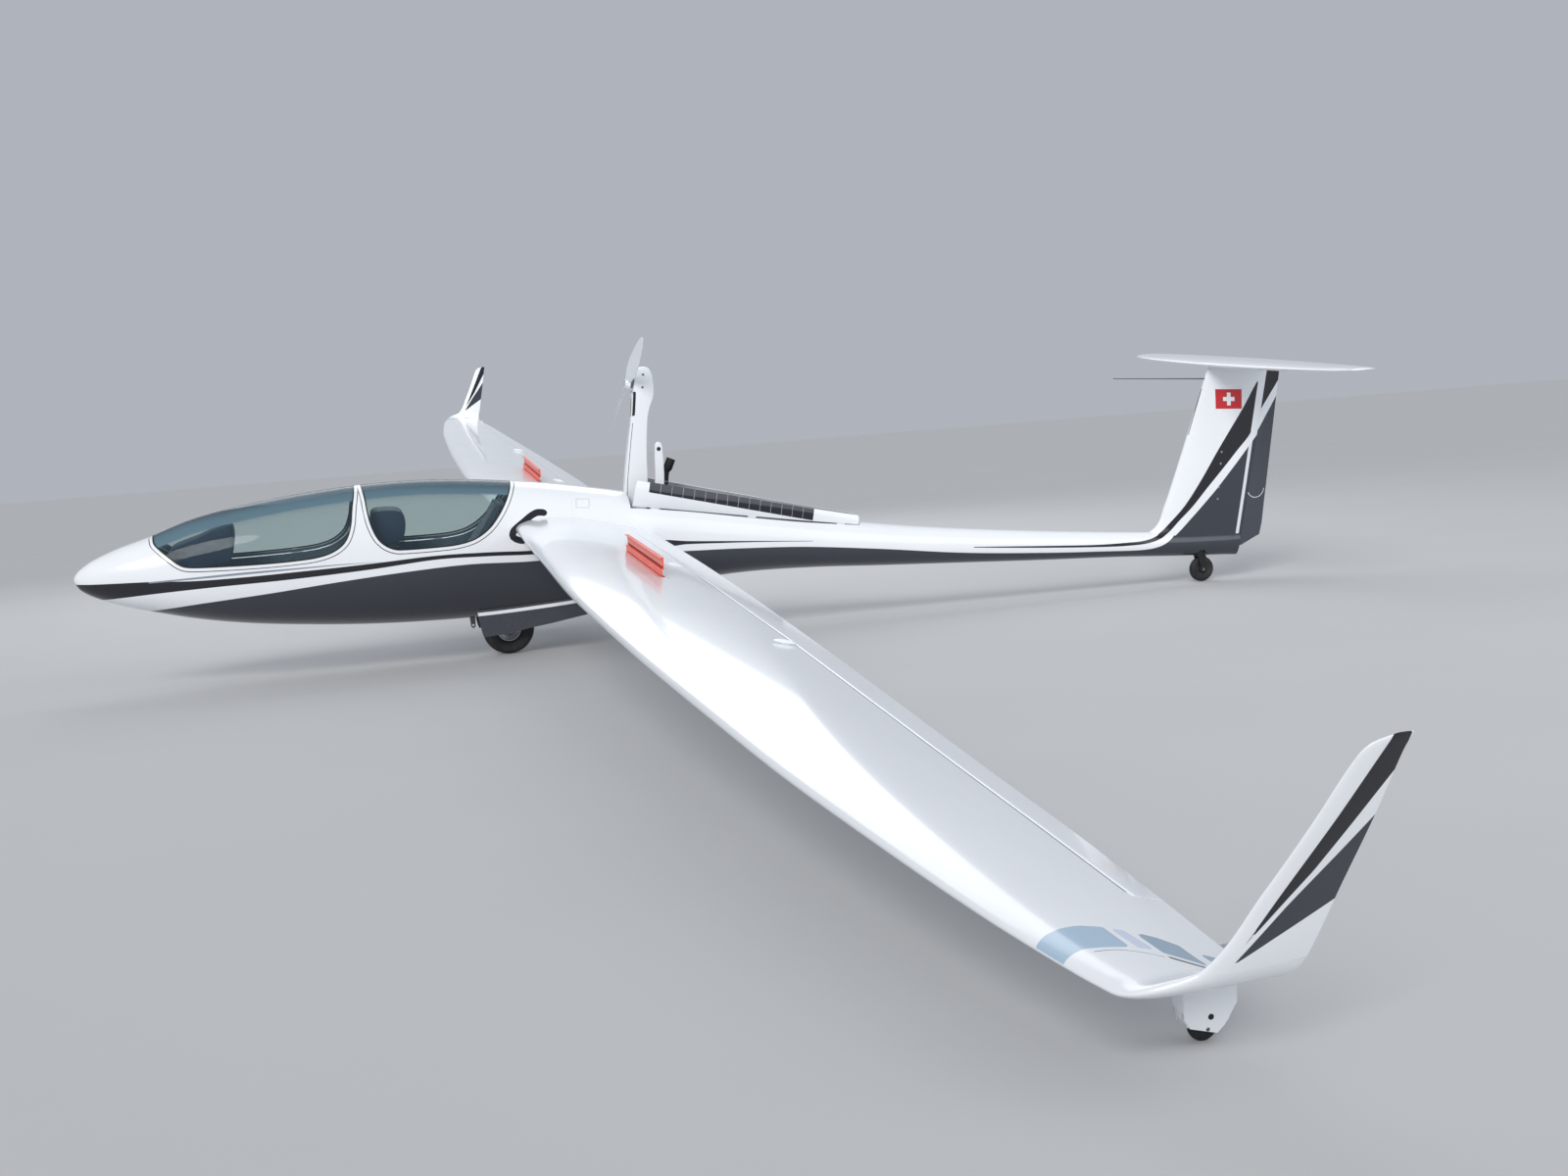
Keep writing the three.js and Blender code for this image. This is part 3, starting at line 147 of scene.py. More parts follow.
# The airbrake box's outline on the upper skin: x in front and behind, and its distance past the slot's ends.
BRAKE_BOX = {"front": 3438, "rear": 3496, "past": 14}

# Fin sections: z, leading edge x, trailing edge x, thickness ratio. Tailplane sections: y instead of z.
FIN = np.array([
    [262, 8060, 8912, 0.105], [400, 7900, 8931, 0.094], [446, 7985, 8938, 0.100], [500, 8038, 8945, 0.105],
    [601, 8080, 8959, 0.110], [714, 8127, 8975, 0.115], [1052, 8255, 9023, 0.118], [1400, 8382, 9072, 0.118],
    [1650, 8473, 9108, 0.118], [1712, 8495, 9117, 0.118],
])
TAILPLANE = np.array([
    [0, 8432, 9030, 0.11], [700, 8468, 9006, 0.11], [1300, 8548, 8970, 0.10], [1560, 8618, 8938, 0.10],
    [1680, 8705, 8902, 0.09],
])
TAILPLANE_Z = 1716
FIN_TOP = [(8828, 1684), (9000, 1658), (9130, 1650)]
RUDDER_FOOT = 262
RUDDER = {"foot": (8745, 290), "top": (8997.5, 1636)}
ELEVATOR = {"half": 1570, "x": 8858}


# Surfaces: points in craft millimetres, triangles, a finish number per triangle, and marks per point.

class Skin:
    """A triangle surface. Marks are named columns of three numbers per point, which finishes read."""

    def __init__(self, points, faces, slots=None, marks=None):
        self.points = np.asarray(points, float).reshape(-1, 3)
        self.faces = np.asarray(faces, int).reshape(-1, 3)
        self.slots = np.zeros(len(self.faces), int) if slots is None else np.asarray(slots, int)
        self.marks = dict(marks or {})

    def centres(self):
        """The mean of each triangle's corners."""
        return self.points[self.faces].mean(1)

    def coloured(self, slot):
        """The same surface with every triangle in one finish."""
        return Skin(self.points, self.faces, np.full(len(self.faces), slot), self.marks)

    def marked(self, **marks):
        """The same surface with further marks, given as arrays or as one triple for all points."""
        more = {name: np.broadcast_to(value, (len(self.points), 3)).astype(float) for name, value in marks.items()}
        return Skin(self.points, self.faces, self.slots, {**self.marks, **more})

    def moved(self, points):
        """The same triangles on other points."""
        return Skin(points, self.faces, self.slots, self.marks)

    def flipped(self):
        """The same surface with its faces turned round."""
        return Skin(self.points, self.faces[:, ::-1], self.slots, self.marks)


def read_table(table, at):
    """Cubic Hermite pieces through a table's rows: end slopes are the chords over the neighbouring rows."""
    at = np.asarray(at, float)
    keys = table[:, 0]
    last = len(table) - 1
    i = np.clip(np.searchsorted(keys, at, "left") - 1, 0, last - 1)
    a, b = table[i], table[i + 1]
    before, after = table[np.maximum(i - 1, 0)], table[np.minimum(i + 2, last)]
    span = b[..., :1] - a[..., :1]
    u = np.clip((at[..., None] - a[..., :1]) / span, 0, 1)
    slope_a = (b - before) / (b[..., :1] - before[..., :1]) * span
    slope_b = (after - a) / (after[..., :1] - a[..., :1]) * span
    return ((2 * u**3 - 3 * u**2 + 1) * a + (u**3 - 2 * u**2 + u) * slope_a
            + (3 * u**2 - 2 * u**3) * b + (u**3 - u**2) * slope_b)


def grid(points, wrap=False, slot=0, marks=None):
    """A sheet over rows and columns of points, two triangles to a cell; wrap joins the last column to the first."""
    points = np.asarray(points, float)
    rows, cols = points.shape[:2]
    i = np.arange(rows - 1)[:, None]
    j = np.arange(cols if wrap else cols - 1)[None, :]
    k = (j + 1) % cols
    a, b, c, d = i * cols + j, i * cols + k, (i + 1) * cols + k, (i + 1) * cols + j
    faces = np.concatenate([np.stack(np.broadcast_arrays(a, b, c), -1).reshape(-1, 3),
                            np.stack(np.broadcast_arrays(a, c, d), -1).reshape(-1, 3)])
    return Skin(points.reshape(-1, 3), faces, np.full(len(faces), slot), marks)


def welded(skin, step=0.005):
    """Points that round to the same step become one, and triangles without area go."""
    _, first, back = np.unique(np.round(skin.points / step).astype(np.int64), axis=0, return_index=True,
                               return_inverse=True)
    faces = back.reshape(-1)[skin.faces]
    good = (faces[:, 0] != faces[:, 1]) & (faces[:, 1] != faces[:, 2]) & (faces[:, 2] != faces[:, 0])
    return Skin(skin.points[first], faces[good], skin.slots[good], {k: v[first] for k, v in skin.marks.items()})


def outward(skin):
    """Faces turned so that the volume they enclose, summed about their middle, is positive."""
    corners = skin.points[skin.faces] - skin.points.mean(0)
    volume = np.einsum("ij,ij->i", corners[:, 0], np.cross(corners[:, 1], corners[:, 2])).sum()
    return skin if volume >= 0 else skin.flipped()


def joined(*skins):
    """Several surfaces as one; a mark that one of them lacks is far outside there."""
    names = sorted({name for skin in skins for name in skin.marks})
    starts = np.cumsum([0] + [len(skin.points) for skin in skins])
    marks = {name: np.concatenate([skin.marks.get(name, np.full((len(skin.points), 3), FAR)) for skin in skins])
             for name in names}
    return Skin(np.concatenate([skin.points for skin in skins]),
                np.concatenate([skin.faces + start for skin, start in zip(skins, starts)]),
                np.concatenate([skin.slots for skin in skins]), marks)


def take(skin, wanted):
    """The triangles where wanted is true, with only their own points."""
    used, back = np.unique(skin.faces[wanted], return_inverse=True)
    return Skin(skin.points[used], back.reshape(-1, 3), skin.slots[wanted],
                {k: v[used] for k, v in skin.marks.items()})


def score(skin, field, snap=0.25):
    """Splits the triangles along the line where a field of the points is nought; near points snap to the line."""
    values = field(skin.points)
    values = np.where(np.abs(values) < snap, 0.0, values)
    faces = skin.faces
    edges = np.sort(np.stack([faces, np.roll(faces, -1, 1)], -1).reshape(-1, 2), 1)
    unique, where = np.unique(edges, axis=0, return_inverse=True)
    f0, f1 = values[unique[:, 0]], values[unique[:, 1]]
    crossing = f0 * f1 < 0
    number = np.full(len(unique), -1)
    number[crossing] = len(skin.points) + np.arange(crossing.sum())
    share = (f0[crossing] / (f0[crossing] - f1[crossing]))[:, None]

    def extended(rows):
        """Rows of the points, and those of the new ones between them."""
        a, b = rows[unique[crossing, 0]], rows[unique[crossing, 1]]
        return np.concatenate([rows, a + (b - a) * share])

    cuts = number[where.reshape(-1, 3)]
    count = (cuts >= 0).sum(1)
    one, two = count == 1, count == 2
    turn = (np.argmax(cuts[one] >= 0, 1)[:, None] + np.arange(3)) % 3
    a, b, c = np.take_along_axis(faces[one], turn, 1).T
    m = np.take_along_axis(cuts[one], turn, 1)[:, 0]
    lone = (np.argmin(cuts[two] >= 0, 1)[:, None] + 2 + np.arange(3)) % 3
    p, q, r = np.take_along_axis(faces[two], lone, 1).T
    n0, _, n2 = np.take_along_axis(cuts[two], lone, 1).T
    parts = [faces[count == 0], np.stack([a, m, c], 1), np.stack([m, b, c], 1), np.stack([p, n0, n2], 1),
             np.stack([n0, q, r], 1), np.stack([n0, r, n2], 1)]
    slots = [skin.slots[count == 0]] + [skin.slots[one]] * 2 + [skin.slots[two]] * 3
    return Skin(extended(skin.points), np.concatenate(parts), np.concatenate(slots),
                {k: extended(v) for k, v in skin.marks.items()})


def open_edges(faces):
    """Directed edges that no other triangle runs back along."""
    edges = np.stack([faces, np.roll(faces, -1, 1)], -1).reshape(-1, 2)
    size = faces.max() + 1
    lonely = ~np.isin(edges[:, 0] * size + edges[:, 1], edges[:, 1] * size + edges[:, 0])
    return edges[lonely]


def rim_faces(faces, count):
    """Two triangles on each open edge, to a copy of the points that stands count numbers further on."""
    a, b = open_edges(faces).T
    return np.concatenate([np.stack([b, a, a + count], 1), np.stack([b, a + count, b + count], 1)])


def shell(skin, inner, slot=0, edge_slot=None):
    """Closes a sheet into a wall: the sheet, its inner copy turned round, and two triangles on each open edge."""
    count = len(skin.points)
    rim = rim_faces(skin.faces, count)
    slots = np.concatenate([skin.slots, np.full(len(skin.faces), slot),
                            np.full(len(rim), slot if edge_slot is None else edge_slot)])
    marks = {k: np.concatenate([v, v]) for k, v in skin.marks.items()}
    return Skin(np.concatenate([skin.points, inner]),
                np.concatenate([skin.faces, skin.faces[:, ::-1] + count, rim]), slots, marks)


def normals(skin):
    """Unit normals at the points: the mean of the triangles around each, weighted by area."""
    corners = skin.points[skin.faces]
    face = np.cross(corners[:, 1] - corners[:, 0], corners[:, 2] - corners[:, 0])
    total = np.zeros_like(skin.points)
    for column in range(3):
        np.add.at(total, skin.faces[:, column], face)
    return total / np.maximum(np.linalg.norm(total, axis=1, keepdims=True), 1e-9)


def facing(skin, axis, sense=1):
    """The surface turned, where it needs it, so that its mean normal points along an axis in the given sense."""
    return skin.flipped() if normals(skin)[:, axis].mean() * sense < 0 else skin


def walled(skin, thick, slot=0):
    """A wall whose inner face lies the given thickness behind each point, against its normal."""
    return shell(skin, skin.points - normals(skin) * thick, slot)


def pressed(skin, wanted, shift, slot=None):
    """Moves the wanted triangles by a shift and closes the step with a wall along their border."""
    kept, moved = take(skin, ~wanted), take(skin, wanted)
    low = moved.points + shift
    wall = rim_faces(moved.faces, len(low))
    slots = np.concatenate([moved.slots if slot is None else np.full(len(moved.faces), slot),
                            np.full(len(wall), moved.slots[0] if slot is None else slot)])
    floor = Skin(np.concatenate([low, moved.points]), np.concatenate([moved.faces, wall]), slots,
                 {k: np.concatenate([v, v]) for k, v in moved.marks.items()})
    return welded(joined(kept, floor))


def smooth_outline(points, steps=6, closed=True):
    """Cubic Hermite pieces through an outline's corners, with slopes taken over the distance along it."""
    points = np.asarray(points, float)
    if not closed:
        lengths = np.concatenate([[0], np.cumsum(np.linalg.norm(np.diff(points, axis=0), axis=1))])
        table = np.column_stack([lengths, points])
        at = np.interp(np.arange((len(points) - 1) * steps + 1) / steps, np.arange(len(points)), lengths)
        return read_table(table, at)[:, 1:]
    ring = np.concatenate([points[-2:], points, points[:3]])
    lengths = np.concatenate([[0], np.cumsum(np.linalg.norm(np.diff(ring, axis=0), axis=1))])
    at = np.interp(2 + np.arange(len(points) * steps) / steps, np.arange(len(ring)), lengths)
    return read_table(np.column_stack([lengths, ring]), at)[:, 1:]


def inside_distance(points, outline):
    """Distance of plane points from an outline's edges, positive inside it by the crossing count."""
    outline = np.asarray(outline, float)
    nearest = np.full(len(points), np.inf)
    inside = np.zeros(len(points), bool)
    for a, b in zip(outline, np.roll(outline, -1, 0)):
        step = b - a
        share = np.clip(((points - a) @ step) / max(step @ step, 1e-9), 0, 1)
        nearest = np.minimum(nearest, np.linalg.norm(points - a - share[:, None] * step, axis=1))
        if a[1] != b[1]:
            spans = (points[:, 1] < a[1]) != (points[:, 1] < b[1])
            across = a[0] + (points[:, 1] - a[1]) * step[0] / step[1]
            inside ^= spans & (points[:, 0] < across)
    return np.where(inside, nearest, -nearest)


def frames_along(path):
    """Directions along a path with two cross directions each: one in the side plane, one level."""
    ahead = np.gradient(path, axis=0)
    ahead /= np.maximum(np.linalg.norm(ahead, axis=1, keepdims=True), 1e-9)
    guide = np.array([0, 1.0, 0]) if abs(ahead[:, 1]).max() < 0.9 else np.array([0, 0, 1.0])
    side = np.cross(ahead, guide)
    side /= np.maximum(np.linalg.norm(side, axis=1, keepdims=True), 1e-9)
    return ahead, side, np.cross(ahead, side)


def tube(path, radius, sides=16, slot=0):
    """A circle carried along a path, its radius given at each point, with ends drawn in to close."""
    path = np.asarray(path, float)
    radius = np.broadcast_to(radius, len(path)).astype(float)
    _, side, up = frames_along(path)
    turn = np.arange(sides) / sides * 2 * np.pi
    ring = (np.cos(turn)[None, :, None] * side[:, None] + np.sin(turn)[None, :, None] * up[:, None])
    points = path[:, None] + ring * radius[:, None, None]
    ends = [np.repeat(path[:1], sides, 0)[None], points, np.repeat(path[-1:], sides, 0)[None]]
    return outward(welded(grid(np.concatenate(ends), wrap=True, slot=slot)))


def slab(outline, y0, y1, round_off=2.0, slot=0, plane="xz"):
    """A side-view outline carried across from y0 to y1, its edges drawn in over a small round at both faces."""
    outline = np.asarray(outline, float)
    area = turning(outline, np.roll(outline, -1, 0)).sum()
    ahead = np.roll(outline, -1, 0) - np.roll(outline, 1, 0)
    out = np.stack([ahead[:, 1], -ahead[:, 0]], 1) * np.sign(area)
    out /= np.maximum(np.linalg.norm(out, axis=1, keepdims=True), 1e-9)
    low, high = min(y0, y1), max(y0, y1)
    bend = np.array([(1.0, 0.0), (0.45, 0.1), (0.1, 0.45), (0.0, 1.0)]) * round_off
    steps = [(inset, low + deep) for inset, deep in bend] + [(inset, high - deep) for inset, deep in bend[::-1]]
    rings = [np.column_stack([outline - out * inset, np.full(len(outline), y)]) for inset, y in steps]
    skin = joined(grid(np.array(rings), wrap=True), cap(rings[0], True), cap(rings[-1], False)).coloured(slot)
    order = {"xz": [0, 2, 1], "xy": [0, 1, 2], "yz": [2, 0, 1]}[plane]
    return outward(welded(Skin(skin.points[:, order], skin.faces, skin.slots)))


def turning(a, b):
    """Cross products of plane vectors."""
    return a[..., 0] * b[..., 1] - a[..., 1] * b[..., 0]


def cap(ring, turned):
    """Closes a flat ring with triangles that run the way the ring does, or the other way when turned."""
    flat = ring[:, :2]
    faces = np.array(tessellate_polygon([[Vector((u, v, 0)) for u, v in flat]]))
    corners = flat[faces]
    spin = turning(corners[:, 1] - corners[:, 0], corners[:, 2] - corners[:, 0])
    way = np.sign(turning(flat, np.roll(flat, -1, 0)).sum())
    flip = (spin * way < 0) ^ turned
    faces[flip] = faces[flip][:, ::-1]
    return Skin(ring, faces)


def linear(code):
    """A colour's linear values from its display code: the display curve undone for each channel."""
    values = [int(code[k:k + 2], 16) / 255 for k in (0, 2, 4)]
    return tuple(v / 12.92 if v <= 0.04045 else ((v + 0.055) / 1.055) ** 2.4 for v in values)


def colour_property(name, code, description):
    """A colour that a user may change."""
    return bpy.props.FloatVectorProperty(name=name, description=description, default=linear(code), size=3,
                                         subtype="COLOR", min=0, max=1)


def length_property(name, value, description):
    """A length in millimetres that a user may change."""
    return bpy.props.FloatProperty(name=name, description=description, default=value, min=0, precision=2)


class SailplaneColours(bpy.types.PropertyGroup):
    """Colours of the finishes."""

    gelcoat: colour_property("Gelcoat", "eef1f5", "White lacquer of the skins")
    stripe: colour_property("Stripe", "10111a", "Navy-black stripes and bands")
    slate: colour_property("Slate", "3d4149", "Dark metallic paint of the belly, rudder and wheel doors")
    # Pin line colour: on the wing it also lays a grey line ahead of the flap and aileron, painted shade of the step at
    # their seal.
    silver: colour_property("Pin line", "8f97a6", "Thin grey line above the stripe")
    tip_pale: colour_property("Pale tip band", "a6bfd4", "First band across the wing tip")
    tip_blue: colour_property("Tip band", "8aa4b8", "Second band across the wing tip")
    flag: colour_property("Flag", "c4151f", "Field of the plain cross on the fin")
    brake: colour_property("Airbrake", "f04a20", "Airbrake plates")
    # Seal colour: also the painted shade in the airbrakes' gaps, the mast's slot and gap lines, the wing's coves and
    # the brace arm's hole.
    seal: colour_property("Seal", "0d0f13", "Canopy seal and dark gaps")
    lining: colour_property("Lining", "4d5661", "Cockpit lining")
    bay: colour_property("Engine bay", "a9adb2", "Bare inside of the engine bay")
    trim: colour_property("Instrument covers", "1d2a44", "Covers of the instrument panels")
    cushion: colour_property("Cushions", "3a414f", "Woven seat covers")
    strap: colour_property("Straps", "1c2b52", "Harness webbing")
    rubber: colour_property("Rubber", "17181a", "Tyres")
    rim: colour_property("Rims", "a9adb0", "Wheel rims")
    steel: colour_property("Steel", "74787d", "Bare steel fittings")
    soot: colour_property("Exhaust", "1b1b1c", "Heat-stained steel")
    solar: colour_property("Solar cells", "0b1020", "Cells on the port engine door")


class SailplaneSizes(bpy.types.PropertyGroup):
    """Sizes in millimetres."""

    seal: length_property("Seal", 9.0, "Width of the dark band at a canopy's edge")
    channel: length_property("Channel", 70.0, "Distance between the sewn channels of a cushion")
    skin: length_property("Skin step", 26.0, "Length of a cell of the skins")
    swell: length_property("Swell", 12.0, "Most that a cushion's cover may swell")


def colours():
    """The scene's colours."""
    return bpy.context.scene.sailplane_colours


def sizes():
    """The scene's sizes."""
    return bpy.context.scene.sailplane_sizes


# Finishes: shader maths as expressions on sockets.

class Link:
    """An output socket that takes part in arithmetic, each operation adding its Math node."""

    def __init__(self, tree, socket):
        self.tree = tree
        self.socket = socket

    def math(self, operation, *others, clamp=False):
        """A Math node on this value and others."""
        values = dict(enumerate((self,) + others))
        return self.tree.add("ShaderNodeMath", {"operation": operation, "use_clamp": clamp}, values)

    def __add__(self, other):
        return self.math("ADD", other)

    __radd__ = __add__

    def __sub__(self, other):
        return self.math("SUBTRACT", other)

    def __rsub__(self, other):
        return self.tree.add("ShaderNodeMath", {"operation": "SUBTRACT"}, {0: other, 1: self})

    def __mul__(self, other):
        return self.math("MULTIPLY", other)

    __rmul__ = __mul__

    def __truediv__(self, other):
        return self.math("DIVIDE", other)

    def __rtruediv__(self, other):
        return self.tree.add("ShaderNodeMath", {"operation": "DIVIDE"}, {0: other, 1: self})

    def least(self, other):
        """The smaller of two values."""
        return self.math("MINIMUM", other)

    def most(self, other):
        """The larger of two values."""
        return self.math("MAXIMUM", other)

    def wave(self):
        """The sine of the value."""
        return self.math("SINE")

    def within(self):
        """The value held between nought and one."""
        return self.math("ADD", 0.0, clamp=True)


class Tree:
    """A material's nodes, all added through one method."""

    def __init__(self, name):
        self.material = bpy.data.materials.new(name)
        self.material.use_nodes = True
        self.nodes = self.material.node_tree.nodes
        self.links = self.material.node_tree.links
        self.nodes.clear()

    def add(self, kind, settings=None, sockets=None, out=0):
        """A node of a type: its settings first, then its sockets' values or links. Gives one output, or all."""
        node = self.nodes.new(kind)
        for key, value in (settings or {}).items():
            setattr(node, key, value)
        for key, value in (sockets or {}).items():
            if isinstance(value, Link):
                self.links.new(value.socket, node.inputs[key])
            else:
                default = node.inputs[key].default_value
                plain = tuple(value) if hasattr(value, "__len__") else value
                if hasattr(default, "__len__") and len(default) == 4 and len(plain) == 3:
                    plain = (*plain, 1.0)
                node.inputs[key].default_value = plain
        return [Link(self, socket) for socket in node.outputs] if out is None else Link(self, node.outputs[out])

    def place(self, scale=1.0, turn=(0, 0, 0)):
        """Object coordinates, scaled and turned."""
        spot = self.add("ShaderNodeTexCoord", out="Object")
        size = scale if hasattr(scale, "__len__") else (scale,) * 3
        return self.add("ShaderNodeMapping", None, {"Vector": spot, "Rotation": turn, "Scale": size})

    def noise(self, scale, detail=3.0, rough=0.5, place=None):
        """Noise over the object, about one half."""
        return self.add("ShaderNodeTexNoise", None, {"Vector": place or self.place(), "Scale": scale,
                                                     "Detail": detail, "Roughness": rough}, out="Fac")

    def mix(self, share, a, b):
        """From colour a to colour b by a share."""
        return self.add("ShaderNodeMix", {"data_type": "RGBA", "clamp_factor": True}, {0: share, 6: a, 7: b}, out=2)

    def split(self, vector):
        """A vector's three numbers."""
        return self.add("ShaderNodeSeparateXYZ", None, {0: vector}, out=None)

    def inside(self, name, soft=1.0):
        """One inside a mark's three distances, nought outside, over a soft width in millimetres."""
        a, b, c = self.split(self.add("ShaderNodeAttribute", {"attribute_name": name}, out="Vector"))
        return (a.least(b).least(c) / soft + 0.5).within()

    def finish(self, sockets, bump=None, strength=0.1, distance=0.001):
        """The surface shader and the output, with an optional height for its bump."""
        sockets = dict(sockets)
        if bump is not None:
            sockets["Normal"] = self.add("ShaderNodeBump", None, {"Strength": strength, "Distance": distance,
                                                                  "Height": bump})
        return self.shown(self.add("ShaderNodeBsdfPrincipled", None, sockets))

    def shown(self, shader):
        """The material, with a shader as its surface."""
        self.add("ShaderNodeOutputMaterial", None, {"Surface": shader}, out=None)
        return self.material


def scaled(colour, by):
    """A colour times a number."""
    return tuple(min(channel * by, 1.0) for channel in colour)


def lacquer(name, base, layers=(), rough=0.2, coat=0.4, marks=()):
    """Sprayed lacquer: layers of other colours inside their marks, faint dust, and the ripple of a hand-sanded skin."""
    tree = Tree(name)
    dust = tree.noise(1.7, 5.0, 0.6)
    fine = tree.noise(38.0, 4.0, 0.55)
    colour = tree.mix((dust - 0.42) * 1.3, base, scaled(base, 0.93))
    metal = None
    for mark, paint, soft, shine in layers:
        share = tree.inside(mark, soft)
        flake = tree.mix(tree.noise(900.0, 1.0), scaled(paint, 0.92), scaled(paint, 1.1))
        colour = tree.mix(share, colour, flake)
        if shine:
            metal = share * shine if metal is None else metal.most(share * shine)
    sockets = {"Base Color": colour, "Roughness": rough + (fine - 0.5) * 0.06 + (dust - 0.5) * 0.08,
               "Coat Weight": coat, "Coat Roughness": 0.06, "Specular IOR Level": 0.5}
    if metal is not None:
        sockets["Metallic"] = metal
    material = tree.finish(sockets, bump=fine * 0.25 + dust, strength=0.05, distance=0.002)
    material["marks"] = ",".join([mark for mark, *_ in layers] + list(marks))
    return material


def paint(name, base, rough=0.5, metal=0.0, scale=60.0, wear=0.12, bump=0.12, coat=0.0):
    """A plain paint or bare metal: two noises vary its colour and roughness, and one of them lifts its surface."""
    tree = Tree(name)
    broad = tree.noise(scale * 0.12, 4.0, 0.6)
    fine = tree.noise(scale * 6, 3.0, 0.6)
    colour = tree.mix((broad - 0.3) * 1.6, scaled(base, 1 + wear), scaled(base, 1 - wear * 2))
    return tree.finish({"Base Color": colour, "Metallic": metal, "Coat Weight": coat,
                        "Roughness": rough + (fine - 0.5) * 0.2 + (broad - 0.5) * 0.2},
                       bump=fine, strength=bump, distance=0.0006)


def brushed(name, base, rough=0.3, stretch=(900, 30, 900)):
    """Turned or brushed metal: noise drawn out along one axis."""
    tree = Tree(name)
    lines = tree.noise(1.0, 2.0, 0.5, tree.place(stretch))
    stain = tree.noise(14.0, 4.0, 0.6)
    colour = tree.mix((stain - 0.35) * 1.5, scaled(base, 1.08), scaled(base, 0.7))
    return tree.finish({"Base Color": colour, "Metallic": 0.85, "Roughness": rough + (lines - 0.5) * 0.2 + stain * 0.1},
                       bump=lines, strength=0.08, distance=0.0003)


def rubber_finish(name, base):
    """Rubber: fine grain, dusty in broad patches."""
    tree = Tree(name)
    grain = tree.noise(700.0, 3.0, 0.6)
    dust = tree.noise(9.0, 5.0, 0.65)
    colour = tree.mix((dust - 0.45) * 1.6, base, (0.075, 0.072, 0.066))
    return tree.finish({"Base Color": colour, "Roughness": 0.72 + (grain - 0.5) * 0.2}, bump=grain, strength=0.25,
                       distance=0.0006)


def woven(name, base, pitch=2.2):
    """Cloth: two crossed waves of threads over the object, with loose fibres in the colour."""
    tree = Tree(name)
    along, across, up = tree.split(tree.place(2 * math.pi / (pitch * 0.001), (0, LEAN, 0)))
    weave = (along + up).wave() * across.wave()
    fibre = tree.noise(420.0, 4.0, 0.7)
    worn = tree.noise(7.0, 4.0, 0.6)
    colour = tree.mix(fibre * 0.5 + weave * 0.25 + (worn - 0.5) * 0.6, scaled(base, 0.7), scaled(base, 1.35))
    return tree.finish({"Base Color": colour, "Roughness": 0.86 + (fibre - 0.5) * 0.2, "Sheen Weight": 0.25,
                        "Sheen Roughness": 0.5}, bump=weave + fibre, strength=0.35, distance=0.0006)


def pane_finish(name):
    """Canopy glass: tinted see-through mixed with a clear reflection by the angle; a seal band at the pane's edge."""
    tree = Tree(name)
    haze = tree.noise(5.0, 4.0, 0.6)
    fresnel = tree.add("ShaderNodeFresnel", None, {"IOR": 1.49})
    clear = tree.add("ShaderNodeBsdfTransparent", None, {"Color": (0.93, 0.975, 0.965)})
    shine = tree.add("ShaderNodeBsdfPrincipled", None, {"Base Color": (0.20, 0.30, 0.38), "Roughness": 0.03,
                                                        "Specular IOR Level": 0.6, "Coat Weight": 1.0,
                                                        "Coat Roughness": 0.02})
    film = fresnel + 0.02 + (haze - 0.5) * 0.03
    glass = tree.add("ShaderNodeMixShader", None, {0: film.within(), 1: clear, 2: shine})
    seal = tree.add("ShaderNodeBsdfPrincipled", None, {"Base Color": colours().seal, "Roughness": 0.45})
    pane = tree.shown(tree.add("ShaderNodeMixShader", None, {0: tree.inside("seal", 1.5), 1: glass, 2: seal}))
    pane["marks"] = "seal"
    return pane


FINISHES = {}


